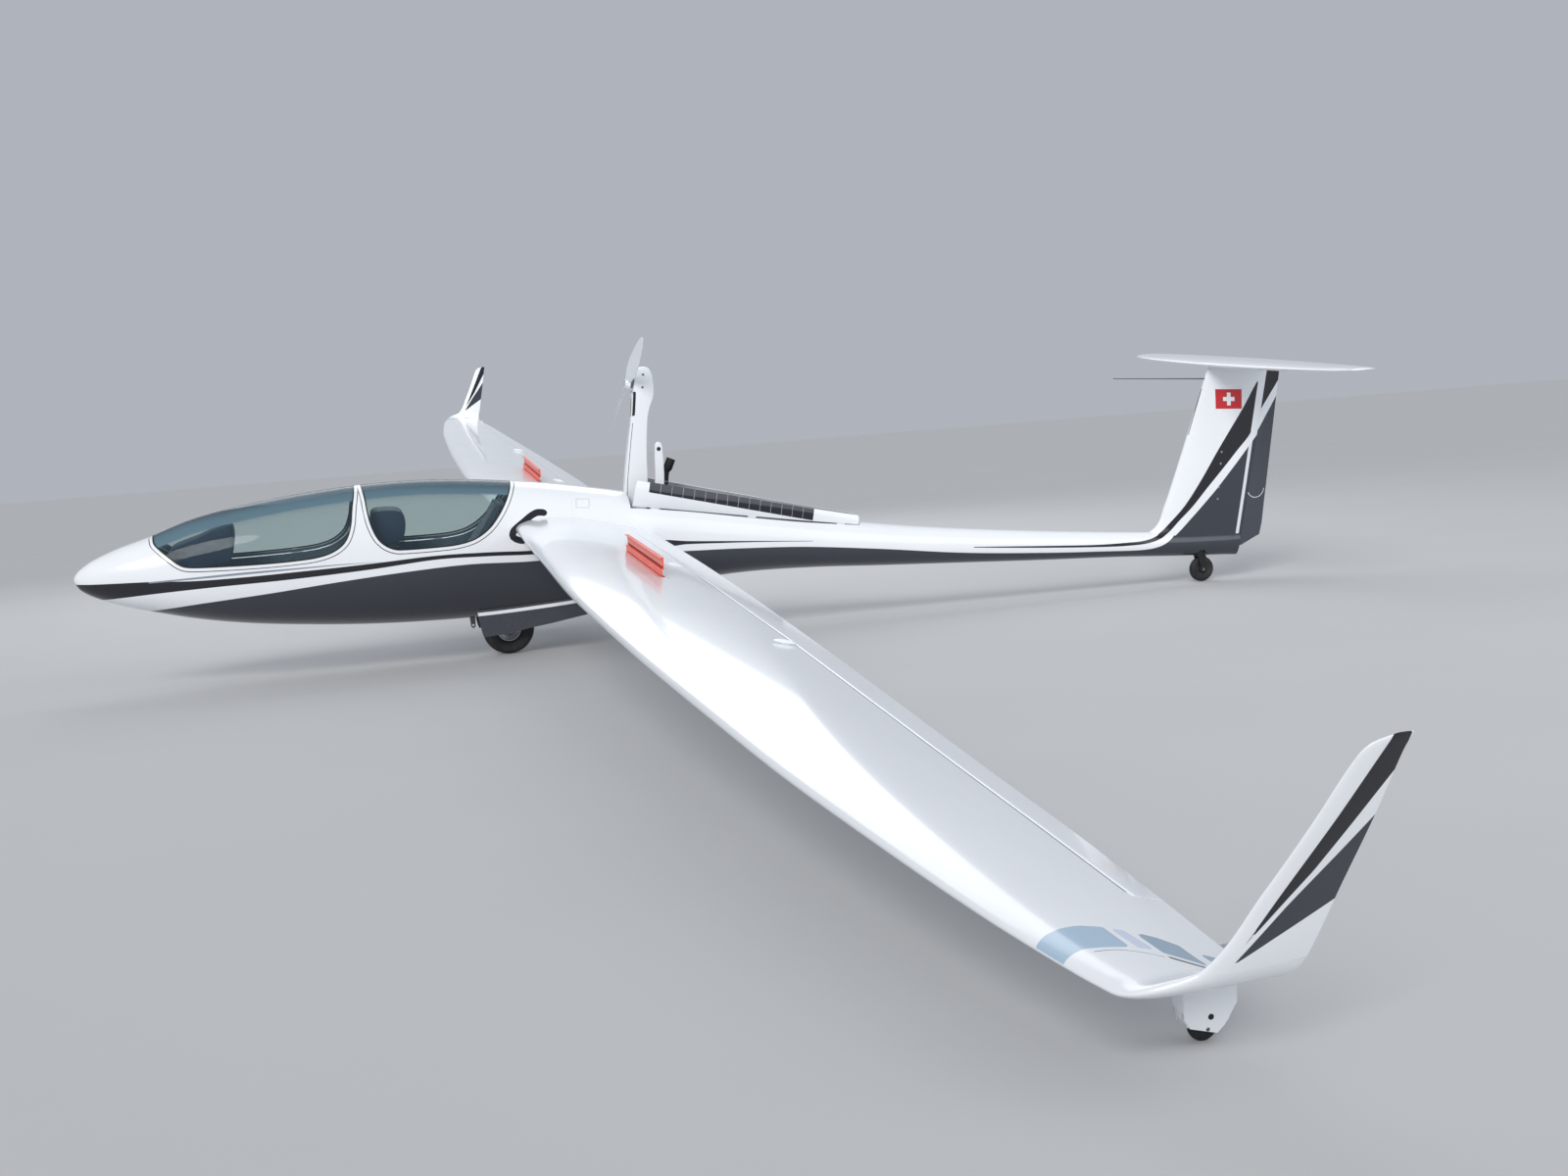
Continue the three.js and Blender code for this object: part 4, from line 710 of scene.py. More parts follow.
def finish_named(name):
    """One of the object's finishes, made on first use."""
    if name in FINISHES:
        return FINISHES[name]
    c = colours()
    hull_layers = [("belly", c.slate, 1.2, 0.35), ("stripe", c.stripe, 1.0, 0.0), ("pin", c.silver, 1.0, 0.2),
                   ("thin", c.stripe, 1.0, 0.0), ("swoosh", c.stripe, 1.2, 0.0)]
    fin_layers = [("band", c.stripe, 1.2, 0.0), ("triangle", c.slate, 1.2, 0.35), ("white", c.gelcoat, 1.0, 0.0),
                  ("dark", c.seal, 1.0, 0.0), ("flag", c.flag, 1.0, 0.0), ("cross", c.gelcoat, 1.0, 0.0),
                  ("bar", c.gelcoat, 1.0, 0.0)]
    # On the wing, pin also lays the painted shade of the step ahead of the flap and aileron, and dark lays the painted
    # shade in their coves.
    wing_layers = [("lilac", scaled(c.silver, 2.2), 1.5, 0.0), ("pale", c.tip_pale, 1.5, 0.0),
                   ("blue", c.tip_blue, 1.5, 0.0), ("band", c.stripe, 1.2, 0.0), ("triangle", c.slate, 1.2, 0.35),
                   ("pin", c.silver, 1.0, 0.0), ("dark", c.seal, 0.8, 0.0)]
    makers = {
        "hull": lambda: lacquer("hull_lacquer", c.gelcoat, hull_layers),
        "fin": lambda: lacquer("fin_lacquer", c.gelcoat, fin_layers),
        "rudder": lambda: lacquer("rudder_lacquer", c.slate, [("white", c.gelcoat, 1.2, 0.0),
                                                             ("band", c.stripe, 1.2, 0.0),
                                                             ("arc", c.gelcoat, 1.0, 0.0)], rough=0.28),
        "wing": lambda: lacquer("wing_lacquer", c.gelcoat, wing_layers),
        "white": lambda: lacquer("white_lacquer", c.gelcoat, [("dark", c.seal, 0.8, 0.0)]),
        "door": lambda: lacquer("wheel_door_lacquer", c.slate, [("white", c.gelcoat, 1.0, 0.0)], rough=0.26),
        "mast": lambda: lacquer("mast_lacquer", scaled(c.gelcoat, 0.98), [("dark", c.seal, 0.8, 0.0)], rough=0.3),
        "lining": lambda: paint("cockpit_lining", c.lining, 0.7, scale=90, bump=0.3),
        "bay": lambda: paint("bay_resin", c.bay, 0.6, scale=40, bump=0.2),
        # The wheel well's resin: the bay's resin darkened to three quarters, painted shade of the recess.
        "well": lambda: paint("well_resin_painted_shade", scaled(c.bay, 0.75), 0.65, scale=40, bump=0.2),
        # seal: dark rubber and paint, and also the painted shade of gaps, slots and holes laid on as dark strips and
        # discs.
        "seal": lambda: paint("seal_rubber_and_painted_gap_shade", c.seal, 0.6, scale=80, bump=0.2),
        "pane": lambda: pane_finish("canopy_pane"),
        "brake": lambda: paint("brake_paint", c.brake, 0.42, scale=30, wear=0.06, bump=0.06, coat=0.2),
        "rubber": lambda: rubber_finish("tyre_rubber", c.rubber),
        "rim": lambda: brushed("rim_metal", c.rim, 0.34),
        "dark_rim": lambda: paint("rim_paint", (0.03, 0.032, 0.036), 0.4, scale=80, bump=0.1),
        "steel": lambda: brushed("steel_fittings", c.steel, 0.38),
        "soot": lambda: paint("burnt_steel", c.soot, 0.62, metal=0.5, scale=60, wear=0.3, bump=0.3),
        "trim": lambda: paint("cover_leather", c.trim, 0.6, scale=120, bump=0.5),
        "shell": lambda: paint("seat_shell", scaled(c.lining, 0.8), 0.5, scale=60, bump=0.15),
        "cushion": lambda: woven("cushion_cloth", c.cushion),
        "strap": lambda: woven("strap_webbing", c.strap, 1.6),
        "solar": lambda: paint("solar_cells", c.solar, 0.18, metal=0.2, scale=50, wear=0.2, bump=0.02, coat=0.6),
        # dial: black dial faces and grips, and the painted shade of the wheel rims' holes.
        "dial": lambda: paint("dial_black_and_painted_hole_shade", (0.012, 0.012, 0.014), 0.35, scale=70),
    }
    FINISHES[name] = makers[name]()
    return FINISHES[name]


def in_scene(name, data):
    """A new object that shows some data."""
    thing = bpy.data.objects.new(name, data)
    bpy.context.scene.collection.objects.link(thing)
    return thing


def build_piece(name, body, skin, finishes, replaces=(), angle=34):
    """Writes a surface into a mesh in the frame's metres, with its marks, finishes and soft shading."""
    mesh = bpy.data.meshes.new(name)
    count = len(skin.faces)
    mesh.vertices.add(len(skin.points))
    mesh.vertices.foreach_set("co", placed(skin.points).astype(np.float32).ravel())
    mesh.loops.add(count * 3)
    mesh.loops.foreach_set("vertex_index", skin.faces.astype(np.int32).ravel())
    mesh.polygons.add(count)
    mesh.polygons.foreach_set("loop_start", np.arange(0, count * 3, 3, dtype=np.int32))
    mesh.polygons.foreach_set("material_index", skin.slots.astype(np.int32))
    mesh.polygons.foreach_set("use_smooth", np.ones(count, bool))
    wanted = set()
    for finish in finishes:
        material = finish_named(finish)
        mesh.materials.append(material)
        wanted |= set(filter(None, material.get("marks", "").split(",")))
    for mark in sorted(wanted):
        values = skin.marks.get(mark, np.full((len(skin.points), 3), FAR))
        attribute = mesh.attributes.new(mark, "FLOAT_VECTOR", "POINT")
        attribute.data.foreach_set("vector", values.astype(np.float32).ravel())
    mesh.update(calc_edges=True)
    if mesh.validate():
        print(f"{name}: the mesh had faults that were mended")
    mesh.set_sharp_from_angle(angle=angle * DEG)
    piece = in_scene(name, mesh)
    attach(piece, body)
    if replaces:
        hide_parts(*replaces)
    return piece


# Fuselage

STRIPE_UPPER = [(-10, 790), (30, 790), (235, 792), (507, 791), (800, 778), (1134, 778), (1458, 784), (1758, 790),
                (2042, 798), (2424, 810), (2789, 799), (3063, 783), (3500, 775), (4025, 766), (4199, 741),
                (4494, 710), (4794, 679), (5174, 640)]
STRIPE_LOWER = [(-10, 650), (209, 676), (495, 702), (890, 723), (1453, 736), (1979, 756), (2422, 782),
                (2787, 771), (3061, 755), (3500, 742), (4025, 722), (4109, 715), (4197, 717), (4493, 696),
                (4793, 672), (5174, 637)]
BELLY_UPPER = [(250, 540), (525, 577), (793, 610), (1054, 632), (1315, 652), (1749, 688), (2195, 715), (2640, 727),
               (3057, 707), (3500, 705), (3900, 690), (4157, 671), (4610, 644), (5110, 603), (5687, 530),
               (6380, 431), (7067, 364), (7562, 328), (7879, 310), (8021, 328), (8123, 379), (8300, 520)]
PIN_UPPER = [(507, 791), (1073, 810), (1460, 811), (1760, 811), (2050, 802)]
PIN_LOWER = [(505, 781), (1071, 794), (1459, 800), (1760, 804), (2049, 801)]
THIN_UPPER = [(6452, 470), (6741, 446), (7066, 419), (7477, 388), (7728, 381), (7884, 383), (8019, 416), (8131, 508)]
THIN_LOWER = [(6452, 464), (6740, 435), (7065, 404), (7476, 370), (7726, 356), (7934, 362), (8086, 410), (8198, 509)]
SWOOSH = [(3193, 1037), (3145, 1042), (3093, 1020), (3048, 990), (3004, 961), (2966, 930), (2956, 897), (2974, 875),
          (3021, 856)]
HATCH = [(3437, 1107), (3529, 1098), (3517, 1041), (3426, 1050)]
TAIL_CUT = (8719, 290, 252.5 / 1346)
FORK_ROOM = {"x": 8385, "radius": 60, "top": 258.3, "below": 300}
BOOM = {"bend": 8600, "end": 8740}


def section(x):
    """The section table's columns at x, each with an axis more than x, ready for a turn round the section."""
    return [column[..., None] for column in np.moveaxis(read_table(FUSELAGE, x)[..., 1:], -1, 0)]


def hull_points(x, turn):
    """A superellipse at each x: the turn's cosine and sine, raised to two over the squareness, times the reaches."""
    top, bottom, half, waist, above, below = section(x)
    c, s = np.cos(turn), np.sin(turn)
    power = 2 / np.where(s > 0, above, below)
    reach = np.where(s > 0, top - waist, waist - bottom)
    y = np.sign(c) * np.abs(c) ** power * half
    z = waist + np.sign(s) * np.abs(s) ** power * reach
    return np.stack([np.broadcast_to(x[:, None], y.shape), y, z], -1)


def inset_points(points, inset):
    """Hull points drawn in: y and height over the waist shrink so that each reach loses the inset."""
    top, bottom, half, waist, _, _ = [column[:, 0] for column in section(points[:, 0])]
    reach = np.where(points[:, 2] > waist, top - waist, waist - bottom)
    y = points[:, 1] * np.maximum(half - inset, 0) / half
    z = waist + (points[:, 2] - waist) * np.maximum(reach - inset, 0) / reach
    return np.column_stack([points[:, 0], y, z])


def skin_half(x, z):
    """Half width of the skin at x and height z: the superellipse solved for y."""
    top, bottom, half, waist, above, below = [column[..., 0] for column in section(np.asarray(x, float))]
    power = np.where(z > waist, above, below)
    share = np.minimum(np.abs(z - waist) / np.where(z > waist, top - waist, waist - bottom), 1)
    return half * (1 - share**power) ** (1 / power)


def skin_top(x, y):
    """Height of the skin above x and y: the superellipse solved for z."""
    top, _, half, waist, above, _ = [column[..., 0] for column in section(np.asarray(x, float))]
    share = np.minimum(np.abs(y) / half, 1)
    return waist + (top - waist) * (1 - share**above) ** (1 / above)


def skin_bottom(x, y):
    """Height of the skin below x and y."""
    _, bottom, half, waist, _, below = [column[..., 0] for column in section(np.asarray(x, float))]
    share = np.minimum(np.abs(y) / half, 1)
    return waist - (waist - bottom) * (1 - share**below) ** (1 / below)


def curve_over(points, at):
    """Height of a smooth line of x and z over x, level beyond its ends."""
    return read_table(np.asarray(points, float), at)[..., 1]


def line_distance(points, line):
    """Distance of plane points from an open line of corners."""
    line = np.asarray(line, float)
    nearest = np.full(len(points), np.inf)
    for a, b in zip(line[:-1], line[1:]):
        step = b - a
        share = np.clip(((points - a) @ step) / (step @ step), 0, 1)
        nearest = np.minimum(nearest, np.linalg.norm(points - a - share[:, None] * step, axis=1))
    return nearest


def triple(a, b=500.0, c=500.0):
    """Three columns of a mark."""
    return np.column_stack(np.broadcast_arrays(a, b, c)).astype(float)


def hull_marks(points):
    """Distances inside each painted shape of the hull, from its side view."""
    x, _, z = points.T
    side = points[:, [0, 2]]
    swoosh = np.where(x < 3400, 23 - line_distance(side, smooth_outline(SWOOSH, 5, closed=False)), FAR)
    return {
        "stripe": triple(curve_over(STRIPE_UPPER, x) - z, z - curve_over(STRIPE_LOWER, x), 5170 - x),
        "belly": triple(curve_over(BELLY_UPPER, x) - z),
        "pin": triple(curve_over(PIN_UPPER, x) - z, z - curve_over(PIN_LOWER, x), np.minimum(x - 505, 2050 - x)),
        "thin": triple(curve_over(THIN_UPPER, x) - z, z - curve_over(THIN_LOWER, x), x - 6450),
        "swoosh": triple(swoosh),
    }


def window_field(outline, more):
    """Distance inside a cockpit opening that is widened by some millimetres, in side view."""
    smooth = smooth_outline(outline, 5)
    return lambda points: inside_distance(points[:, [0, 2]], smooth) + more


FRONT_STATIONS = np.concatenate([[4.0, 4.6], 4 + 296 * np.linspace(0.08, 1, 44) ** 1.8,
                                 np.linspace(300, HULL_SPLIT, 150)[1:]])
RING_TURNS = (np.arange(128) + 0.5) / 128 * 2 * np.pi


def front_skin():
    """The hull from the nose to its split, its first ring drawn to a point."""
    points = hull_points(FRONT_STATIONS, RING_TURNS)
    points[0] = points[0].mean(0)
    return welded(grid(points, wrap=True))


def disc(x, inset, thick, slot):
    """A bulkhead: the section at x and again a little further aft, each drawn to its middle."""
    rings = [inset_points(hull_points(np.array([float(at)]), RING_TURNS)[0], inset) for at in (x, x + thick)]
    return closed_rings(np.array(rings)).coloured(slot)


def wheel_well():
    """A tub: a rounded plan carried from the skin up to the roof, with the roof drawn to its middle."""
    middle = (WELL["x0"] + WELL["x1"]) / 2
    turn = np.arange(96) / 96 * 2 * np.pi
    square = np.sign(np.cos(turn)) * np.abs(np.cos(turn)) ** 0.12, np.sign(np.sin(turn)) * np.abs(np.sin(turn)) ** 0.12
    x = middle + square[0] * (WELL["x1"] - WELL["x0"] - 3) / 2
    y = square[1] * (WELL["half"] - 1.5)
    foot = skin_bottom(x, y) + 6
    rows = [np.column_stack([x, y, foot + (WELL["top"] - 2 - foot) * share]) for share in (0, 0.3, 0.7, 0.94)]
    rows += [np.column_stack([middle + (x - middle) * k, y * k, np.full(96, WELL["top"] - 2.0)])
             for k in (0.97, 0.6, 0.0)]
    sheet = welded(grid(np.array(rows), wrap=True, slot=2))
    return walled(facing(sheet, 2, -1), 3, slot=2)


def hinge_ear(x):
    """A canopy hinge's ear on the hull's starboard side: a bent plate with a round eye."""
    y, z, tube = CANOPY_HINGE["y"], CANOPY_HINGE["z"], CANOPY_HINGE["tube"]
    root = float(skin_half(x + 4, z - 20)) - 12
    outline = [(root, z - 34), (y + 2, z - 34), (y + tube, z - 26), (y + tube, z), (y, z + tube), (y - tube, z),
               (y - tube, z - 18), (root, z - 18)]
    return slab(outline, x, x + 8, 1.0, plane="yz")


def hinge_pairs():
    """The hull's ears, two for each canopy hinge."""
    length = CANOPY_HINGE["length"]
    places = CANOPY_HINGE["front"] + CANOPY_HINGE["rear"]
    return [hinge_ear(x + at) for x in places for at in (-length / 2 - 8.3, length / 2 + 0.3)]


def make_front_fuselage():
    """The forward hull with its two openings and wheel well, walled, with bulkhead and tub."""
    skin = front_skin()
    fields = [window_field(outline, CANOPY_FRAME + CANOPY_GAP) for outline in (FRONT_WINDOW, REAR_WINDOW)]
    for field in fields:
        skin = score(skin, field)
    for column, at in ((0, WELL["x0"]), (0, WELL["x1"]), (1, -WELL["half"]), (1, WELL["half"])):
        skin = score(skin, lambda points, c=column, v=at: points[:, c] - v)
    centres = skin.centres()
    open_now = (fields[0](centres) > 0) | (fields[1](centres) > 0)
    x, y, z = centres.T
    open_now |= (x > WELL["x0"]) & (x < WELL["x1"]) & (np.abs(y) < WELL["half"]) & (z < WELL["cut"])
    skin = take(skin, ~open_now)
    skin = skin.marked(**hull_marks(skin.points))
    skin = shell(skin, inset_points(skin.points, COCKPIT_WALL), slot=1, edge_slot=0)
    ears = [ear.coloured(0) for ear in hinge_pairs()]
    whole = joined(skin, disc(BULKHEADS["cockpit"], COCKPIT_WALL - 1, 6, 1), wheel_well(), *ears)
    build_piece("nose_and_cockpit_skin", "airframe", whole, ["hull", "lining", "well"], ["fuselage_front"])


def bay_side(x):
    """Half width of the engine bay's opening at x, on the doors' hinge line."""
    front, rear = DOOR_HINGE
    return front[1] + (rear[1] - front[1]) * (x - front[0]) / (rear[0] - front[0])


def tail_end(z):
    """Where the boom ends at a height: a line parallel to the rudder's hinge."""
    x, height, slope = TAIL_CUT
    return x + (z - height) * slope


def hatch_seam():
    """The hatch's outline: a thin tube along its corners on the port skin."""
    corners = np.array(HATCH + HATCH[:1], float)
    rim = np.concatenate([a + (b - a) * np.linspace(0, 1, 9)[:, None] for a, b in zip(corners[:-1], corners[1:])])
    return tube(np.column_stack([rim[:, 0], -skin_half(rim[:, 0], rim[:, 1]), rim[:, 1]]), 1.1, 8, slot=2)


def make_rear_fuselage():
    """The rear hull with the engine bay's opening, its slanted end and the room of the tail fork."""
    bend, end = BOOM["bend"], BOOM["end"]
    x = np.linspace(HULL_SPLIT + HULL_SEAM, end, int((end - HULL_SPLIT) / sizes().skin) + 1)
    turn = (np.arange(96) + 0.5) / 96 * 2 * np.pi
    points = hull_points(x, turn)
    share = np.clip((points[..., 0] - bend) / (end - bend), 0, 1)
    points[..., 0] += (bend + (tail_end(points[..., 2]) - bend) * share - points[..., 0]) * (share > 0)
    fan = points[-1].mean(0)
    fan[0] = tail_end(fan[2])
    rings = [points[-1] + (fan - points[-1]) * k for k in (0.06, 0.5, 1.0)]
    skin = welded(grid(np.concatenate([points, np.array(rings)]), wrap=True))
    room = FORK_ROOM

    def fork(p):
        """Distance inside the tail fork's round room, below its height."""
        return np.where(p[:, 2] < room["below"], room["radius"] - np.hypot(p[:, 0] - room["x"], p[:, 1]), FAR)

    skin = score(skin, fork)
    wanted = fork(skin.centres()) > 0
    moved = take(skin, wanted)
    lift = np.zeros_like(moved.points)
    lift[:, 2] = room["top"] - moved.points[:, 2]
    skin = pressed(skin, wanted, lift)
    x0, x1 = BAY_OPENING

    def sides(p):
        """Distance outside the bay's opening, across."""
        return np.abs(p[:, 1]) - bay_side(p[:, 0]) - 5

    for field in (lambda p: p[:, 0] - x0, lambda p: p[:, 0] - x1, sides):
        skin = score(skin, field)
    centres = skin.centres()
    opening = (centres[:, 0] > x0) & (centres[:, 0] < x1) & (sides(centres) < 0) & (centres[:, 2] > BAY_CUT)
    skin = take(skin, ~opening)
    skin = skin.marked(**hull_marks(skin.points))
    skin = shell(skin, inset_points(skin.points, BAY_WALL), slot=1, edge_slot=0)
    bulkheads = [disc(BULKHEADS[end], BAY_WALL - 1, 5, 1) for end in ("bay_front", "bay_rear")]
    whole = joined(skin, *bulkheads, hatch_seam())
    build_piece("rear_skin_and_boom", "airframe", whole, ["hull", "bay", "rim"], ["fuselage_rear"])


def hinge_strap(x):
    """A canopy hinge's strap on the frame: a flat tongue from the skin to a tube."""
    y, z, tube = CANOPY_HINGE["y"], CANOPY_HINGE["z"], CANOPY_HINGE["tube"]
    half = CANOPY_HINGE["length"] / 2
    root = float(skin_half(x, z + 14)) - 14
    outline = [(root, z + 4), (y - 7, z + 4), (y - 6, z - 2), (y, z - tube), (y + tube, z), (y + 4, z + 5), (y, z + 14),
               (root, z + 14)]
    return slab(outline, x - half, x + half, 1.0, plane="yz")


def make_canopies():
    """Each canopy: a band of the hull's skin round its opening, and a thin pane inside it with a seal at its edge."""
    skin = front_skin()
    tables = (("front", FRONT_WINDOW), ("rear", REAR_WINDOW))
    for word, outline in tables:
        inner, outer = window_field(outline, -0.3), window_field(outline, CANOPY_FRAME)
        edge = window_field(outline, 0)
        band = skin
        for field in (outer, edge):
            band = score(band, field)
        centres = band.centres()
        band = take(band, (outer(centres) > 0) & (edge(centres) < 0))
        band = shell(band, inset_points(band.points, COCKPIT_WALL), slot=1, edge_slot=0)
        hinges = [hinge_strap(x) for x in CANOPY_HINGE[word]]
        build_piece(f"canopy_{word}_rim", f"canopy_{word}", joined(band, *hinges), ["white", "lining"],
                    [f"canopy_{word}_frame"])
        seal_line = window_field(outline, -sizes().seal)
        pane = score(score(skin, inner), seal_line)
        pane = take(pane, inner(pane.centres()) > 0)
        pane = pane.marked(seal=triple(-seal_line(pane.points)))
        pane = shell(pane, inset_points(pane.points, GLASS))
        build_piece(f"canopy_{word}_pane", f"canopy_{word}", pane, ["pane"], [f"canopy_{word}_glass"])


def turned_about(points, a, b, degrees):
    """Points turned about the line from a to b, by the rotation formula of its unit direction."""
    a, b = np.asarray(a, float), np.asarray(b, float)
    axis = (b - a) / np.linalg.norm(b - a)
    arm = points - a
    c, s = math.cos(degrees * DEG), math.sin(degrees * DEG)
    return a + arm * c + np.cross(axis, arm) * s + axis * (arm @ axis)[:, None] * (1 - c)


SOLAR = {"count": 15, "x0": 3935, "x1": 5195, "near": (101, 10), "far": (174, 94), "gap": 2}


def make_engine_doors():
    """Each door: a patch of the hull's top between the slot and its hinge, walled, and turned about the hinge line."""
    front, rear = DOOR_HINGE
    for word, side in SIDES:
        def patch(x, share):
            """Points of the hull's top at x, by their share of the way from the slot to the hinge."""
            slot_edge = np.interp(x, (front[0], rear[0]), DOOR_SLOT)
            y = slot_edge + (bay_side(x) - 6 - slot_edge) * share
            return np.stack([x, y * side, skin_top(x, y)], -1)

        x = np.linspace(3830, 5554, 90)[:, None] + np.zeros((1, 26))
        share = np.linspace(0, 1, 26)[None] + np.zeros((90, 1))
        x[0] += 14 * (1 - share[0]) ** 4
        x[-1] -= 10 * (1 - share[-1]) ** 4
        skin = facing(grid(patch(x, share)), 2)
        door = shell(skin, inset_points(skin.points, DOOR_THICK), slot=1, edge_slot=0)
        lip = [patch(np.linspace(3850, 5530, 80), np.full(80, v)) for v in (0.2, 0.8)]
        ribs = [tube(inset_points(line, DOOR_THICK + 1.5), 3.5, 10, slot=1) for line in lip]
        parts = [door, *ribs]
        if side < 0:
            parts += solar_cells(side)
        a, b = [np.array(point) * (1, side, 1) for point in DOOR_HINGE]
        for at in (0.08, 0.5, 0.9):
            p, q = a + (b - a) * at, a + (b - a) * (at + 0.035)
            parts.append(tube([p, q], 4.4, 14, slot=0))
            strap = np.array([[p + (0, 0, -2), p + (0, -14 * side, 1), p + (0, -14 * side, 5), p + (0, 0, 2)],
                              [q + (0, 0, -2), q + (0, -14 * side, 1), q + (0, -14 * side, 5), q + (0, 0, 2)]])
            parts.append(closed_rings(strap))
        whole = joined(*parts)
        whole = whole.moved(turned_about(whole.points, a, b, -side * DOOR_OPEN))
        build_piece(f"bay_door_{word}", f"engine_door_{word}", whole, ["white", "bay", "solar"],
                    [f"engine_door_{word}"])


def solar_cells(side):
    """A row of thin cells laid on the door's skin at a distance from its hinge that narrows aft."""
    cells = []
    pitch = (SOLAR["x1"] - SOLAR["x0"]) / SOLAR["count"]
    for k in range(SOLAR["count"]):
        x0 = SOLAR["x0"] + k * pitch
        x = np.linspace(x0, x0 + pitch - SOLAR["gap"], 8)[:, None] + np.zeros((1, 8))
        near, far = [np.interp(x, (SOLAR["x0"], SOLAR["x1"]), SOLAR[edge]) for edge in ("near", "far")]
        away = near + (far - near) * np.linspace(0, 1, 8)[None]
        y = bay_side(x) - away
        cell = facing(grid(np.stack([x, y * side, skin_top(x, y) + 0.9], -1), slot=2), 2)
        cells.append(walled(cell, 1.2, slot=2))
    return cells


# Wings and tail: sections in two numbers, the distance along the chord and the height over it.

# Distances along the leading edge: the wing's root and first station, the start of its tip, and its step; the bend's
# end on the winglet. Reach is the widest y of the tip.
RUN = {"root": 300, "first": 352, "tip": 9300, "joint": 9640, "step": 60, "bent": 10340, "reach": 10003}
LIP = 12
LIP_EDGE = 1
AFT_STEPS = 11


def half_thickness(along, chord, ratio):
    """A section's half thickness: the usual four-digit polynomial with the root of the share, plus the blunt edge."""
    u = np.clip(along / chord, 0, 1)
    poly = 0.2969 * np.sqrt(u) - 0.126 * u - 0.3516 * u**2 + 0.2843 * u**3 - 0.1036 * u**4
    return 5 * ratio * chord * poly + TRAILING_EDGE / 2 * u


def mean_height(along, chord, camber):
    """The mean line: a parabola over the chord."""
    u = np.clip(along / chord, 0, 1)
    return 4 * camber * u * (1 - u) * chord


def section_rings(hinge, chord, ratio, camber, cove, lip=LIP, steps=30):
    """Closed rings, one to a station: both skins forward of the hinge's lips, then the aft part or a cove's arc."""
    hinge, chord, ratio, camber = [np.asarray(values, float)[:, None] for values in (hinge, chord, ratio, camber)]
    cut = hinge - lip
    share = np.concatenate([np.linspace(1, 0, steps), np.linspace(0, 1, steps)[1:]])[None]
    sense = np.where(np.arange(2 * steps - 1) < steps, 1.0, -1.0)[None]
    along = cut * share**2
    height = mean_height(along, chord, camber) + sense * half_thickness(along, chord, ratio)
    back = np.linspace(0, 1, AFT_STEPS + 1)[1:][None]
    aft = cut + (chord - cut) * np.concatenate([back, back[:, ::-1]], 1)
    aft_sense = np.repeat([-1.0, 1.0], AFT_STEPS)[None]
    aft_height = mean_height(aft, chord, camber) + aft_sense * half_thickness(aft, chord, ratio)
    depth = half_thickness(cut, chord, ratio) - LIP_EDGE
    middle = mean_height(cut, chord, camber)
    reach = np.hypot(lip, depth)
    angle = np.arctan2(depth, lip) * np.linspace(-1, 1, 2 * AFT_STEPS)[None]
    arc = hinge - reach * np.cos(angle)
    arc_height = middle + reach * np.sin(angle)
    cove = np.asarray(cove, bool)[:, None]
    return np.stack([np.concatenate([along, np.where(cove, arc, aft)], 1),
                     np.concatenate([height, np.where(cove, arc_height, aft_height)], 1)], -1)


def surface_rings(hinge, chord, ratio, camber, steps=12):
    """A control surface's rings: a nose arc round the hinge as deep as the section there, then both skins aft."""
    hinge, chord, ratio, camber = [np.asarray(values, float)[:, None] for values in (hinge, chord, ratio, camber)]
    angle = np.linspace(90, -90, 17)[None] * DEG
    radius = half_thickness(hinge, chord, ratio)
    middle = mean_height(hinge, chord, camber)
    back = np.linspace(0, 1, steps + 1)[1:][None]
    aft = hinge + (chord - hinge) * np.concatenate([back, back[:, ::-1]], 1)
    sense = np.repeat([-1.0, 1.0], steps)[None]
    height = mean_height(aft, chord, camber) + sense * half_thickness(aft, chord, ratio)
    return np.stack([np.concatenate([hinge - radius * np.cos(angle), aft], 1),
                     np.concatenate([middle + radius * np.sin(angle), height], 1)], -1)


def closed_rings(points):
    """A skin over rings, its first and last ring drawn to their middles."""
    first, last = [np.repeat(ring.mean(0)[None], points.shape[1], 0)[None] for ring in (points[0], points[-1])]
    return outward(welded(grid(np.concatenate([first, points, last]), wrap=True)))


def run_table():
    """The wing's and winglet's stations by the distance run along their leading edge in front view."""
    rows = [[y, y, lead, (trail - lead) / math.cos(i * DEG), z, i, 0.0, ratio, CAMBER]
            for y, lead, trail, z, i, ratio in WING]
    for y, lead, trail, z, cant, ratio in WINGLET:
        run = rows[-1][0] + math.hypot(y - rows[-1][1], z - rows[-1][4])
        up = cant / UPRIGHT
        rows.append([run, y, lead, trail - lead, z, 3 * (1 - up), cant, ratio, CAMBER * (1 - up) + TIP_CAMBER * up])
    return np.array(rows)


RUNS = run_table()
WINGLET_RUN = float(np.interp(1112, RUNS[-9:, 4], RUNS[-9:, 0]))


def wing_place(run, rings, side):
    """Ring coordinates turned by the incidence, leaned by the cant, and set at the leading edge of their station."""
    _, lead_y, lead_x, _, lead_z, incidence, cant, _, _ = [c[:, None] for c in read_table(RUNS, run).T]
    along, height = rings[..., 0], rings[..., 1]
    i, k = incidence * DEG, cant * DEG
    rise = height * np.cos(i) - along * np.sin(i)
    x = lead_x + along * np.cos(i) + height * np.sin(i)
    return np.stack([x, (lead_y - rise * np.sin(k)) * side, lead_z + rise * np.cos(k)], -1)


def hinge_at(run):
    """Distance of the hinge line along the chord, from the flap's and aileron's lines, level beyond them."""
    x = np.interp(run, [FLAP["y0"], FLAP["y1"], AILERON["y0"], AILERON["y1"]],
                  [FLAP["x0"], FLAP["x1"], AILERON["x0"], AILERON["x1"]])
    row = read_table(RUNS, run)
    along = (x - row[:, 2]) / np.cos(row[:, 5] * DEG)
    return np.where(run > AILERON["y1"] + 20, row[:, 3] * 0.8, along)


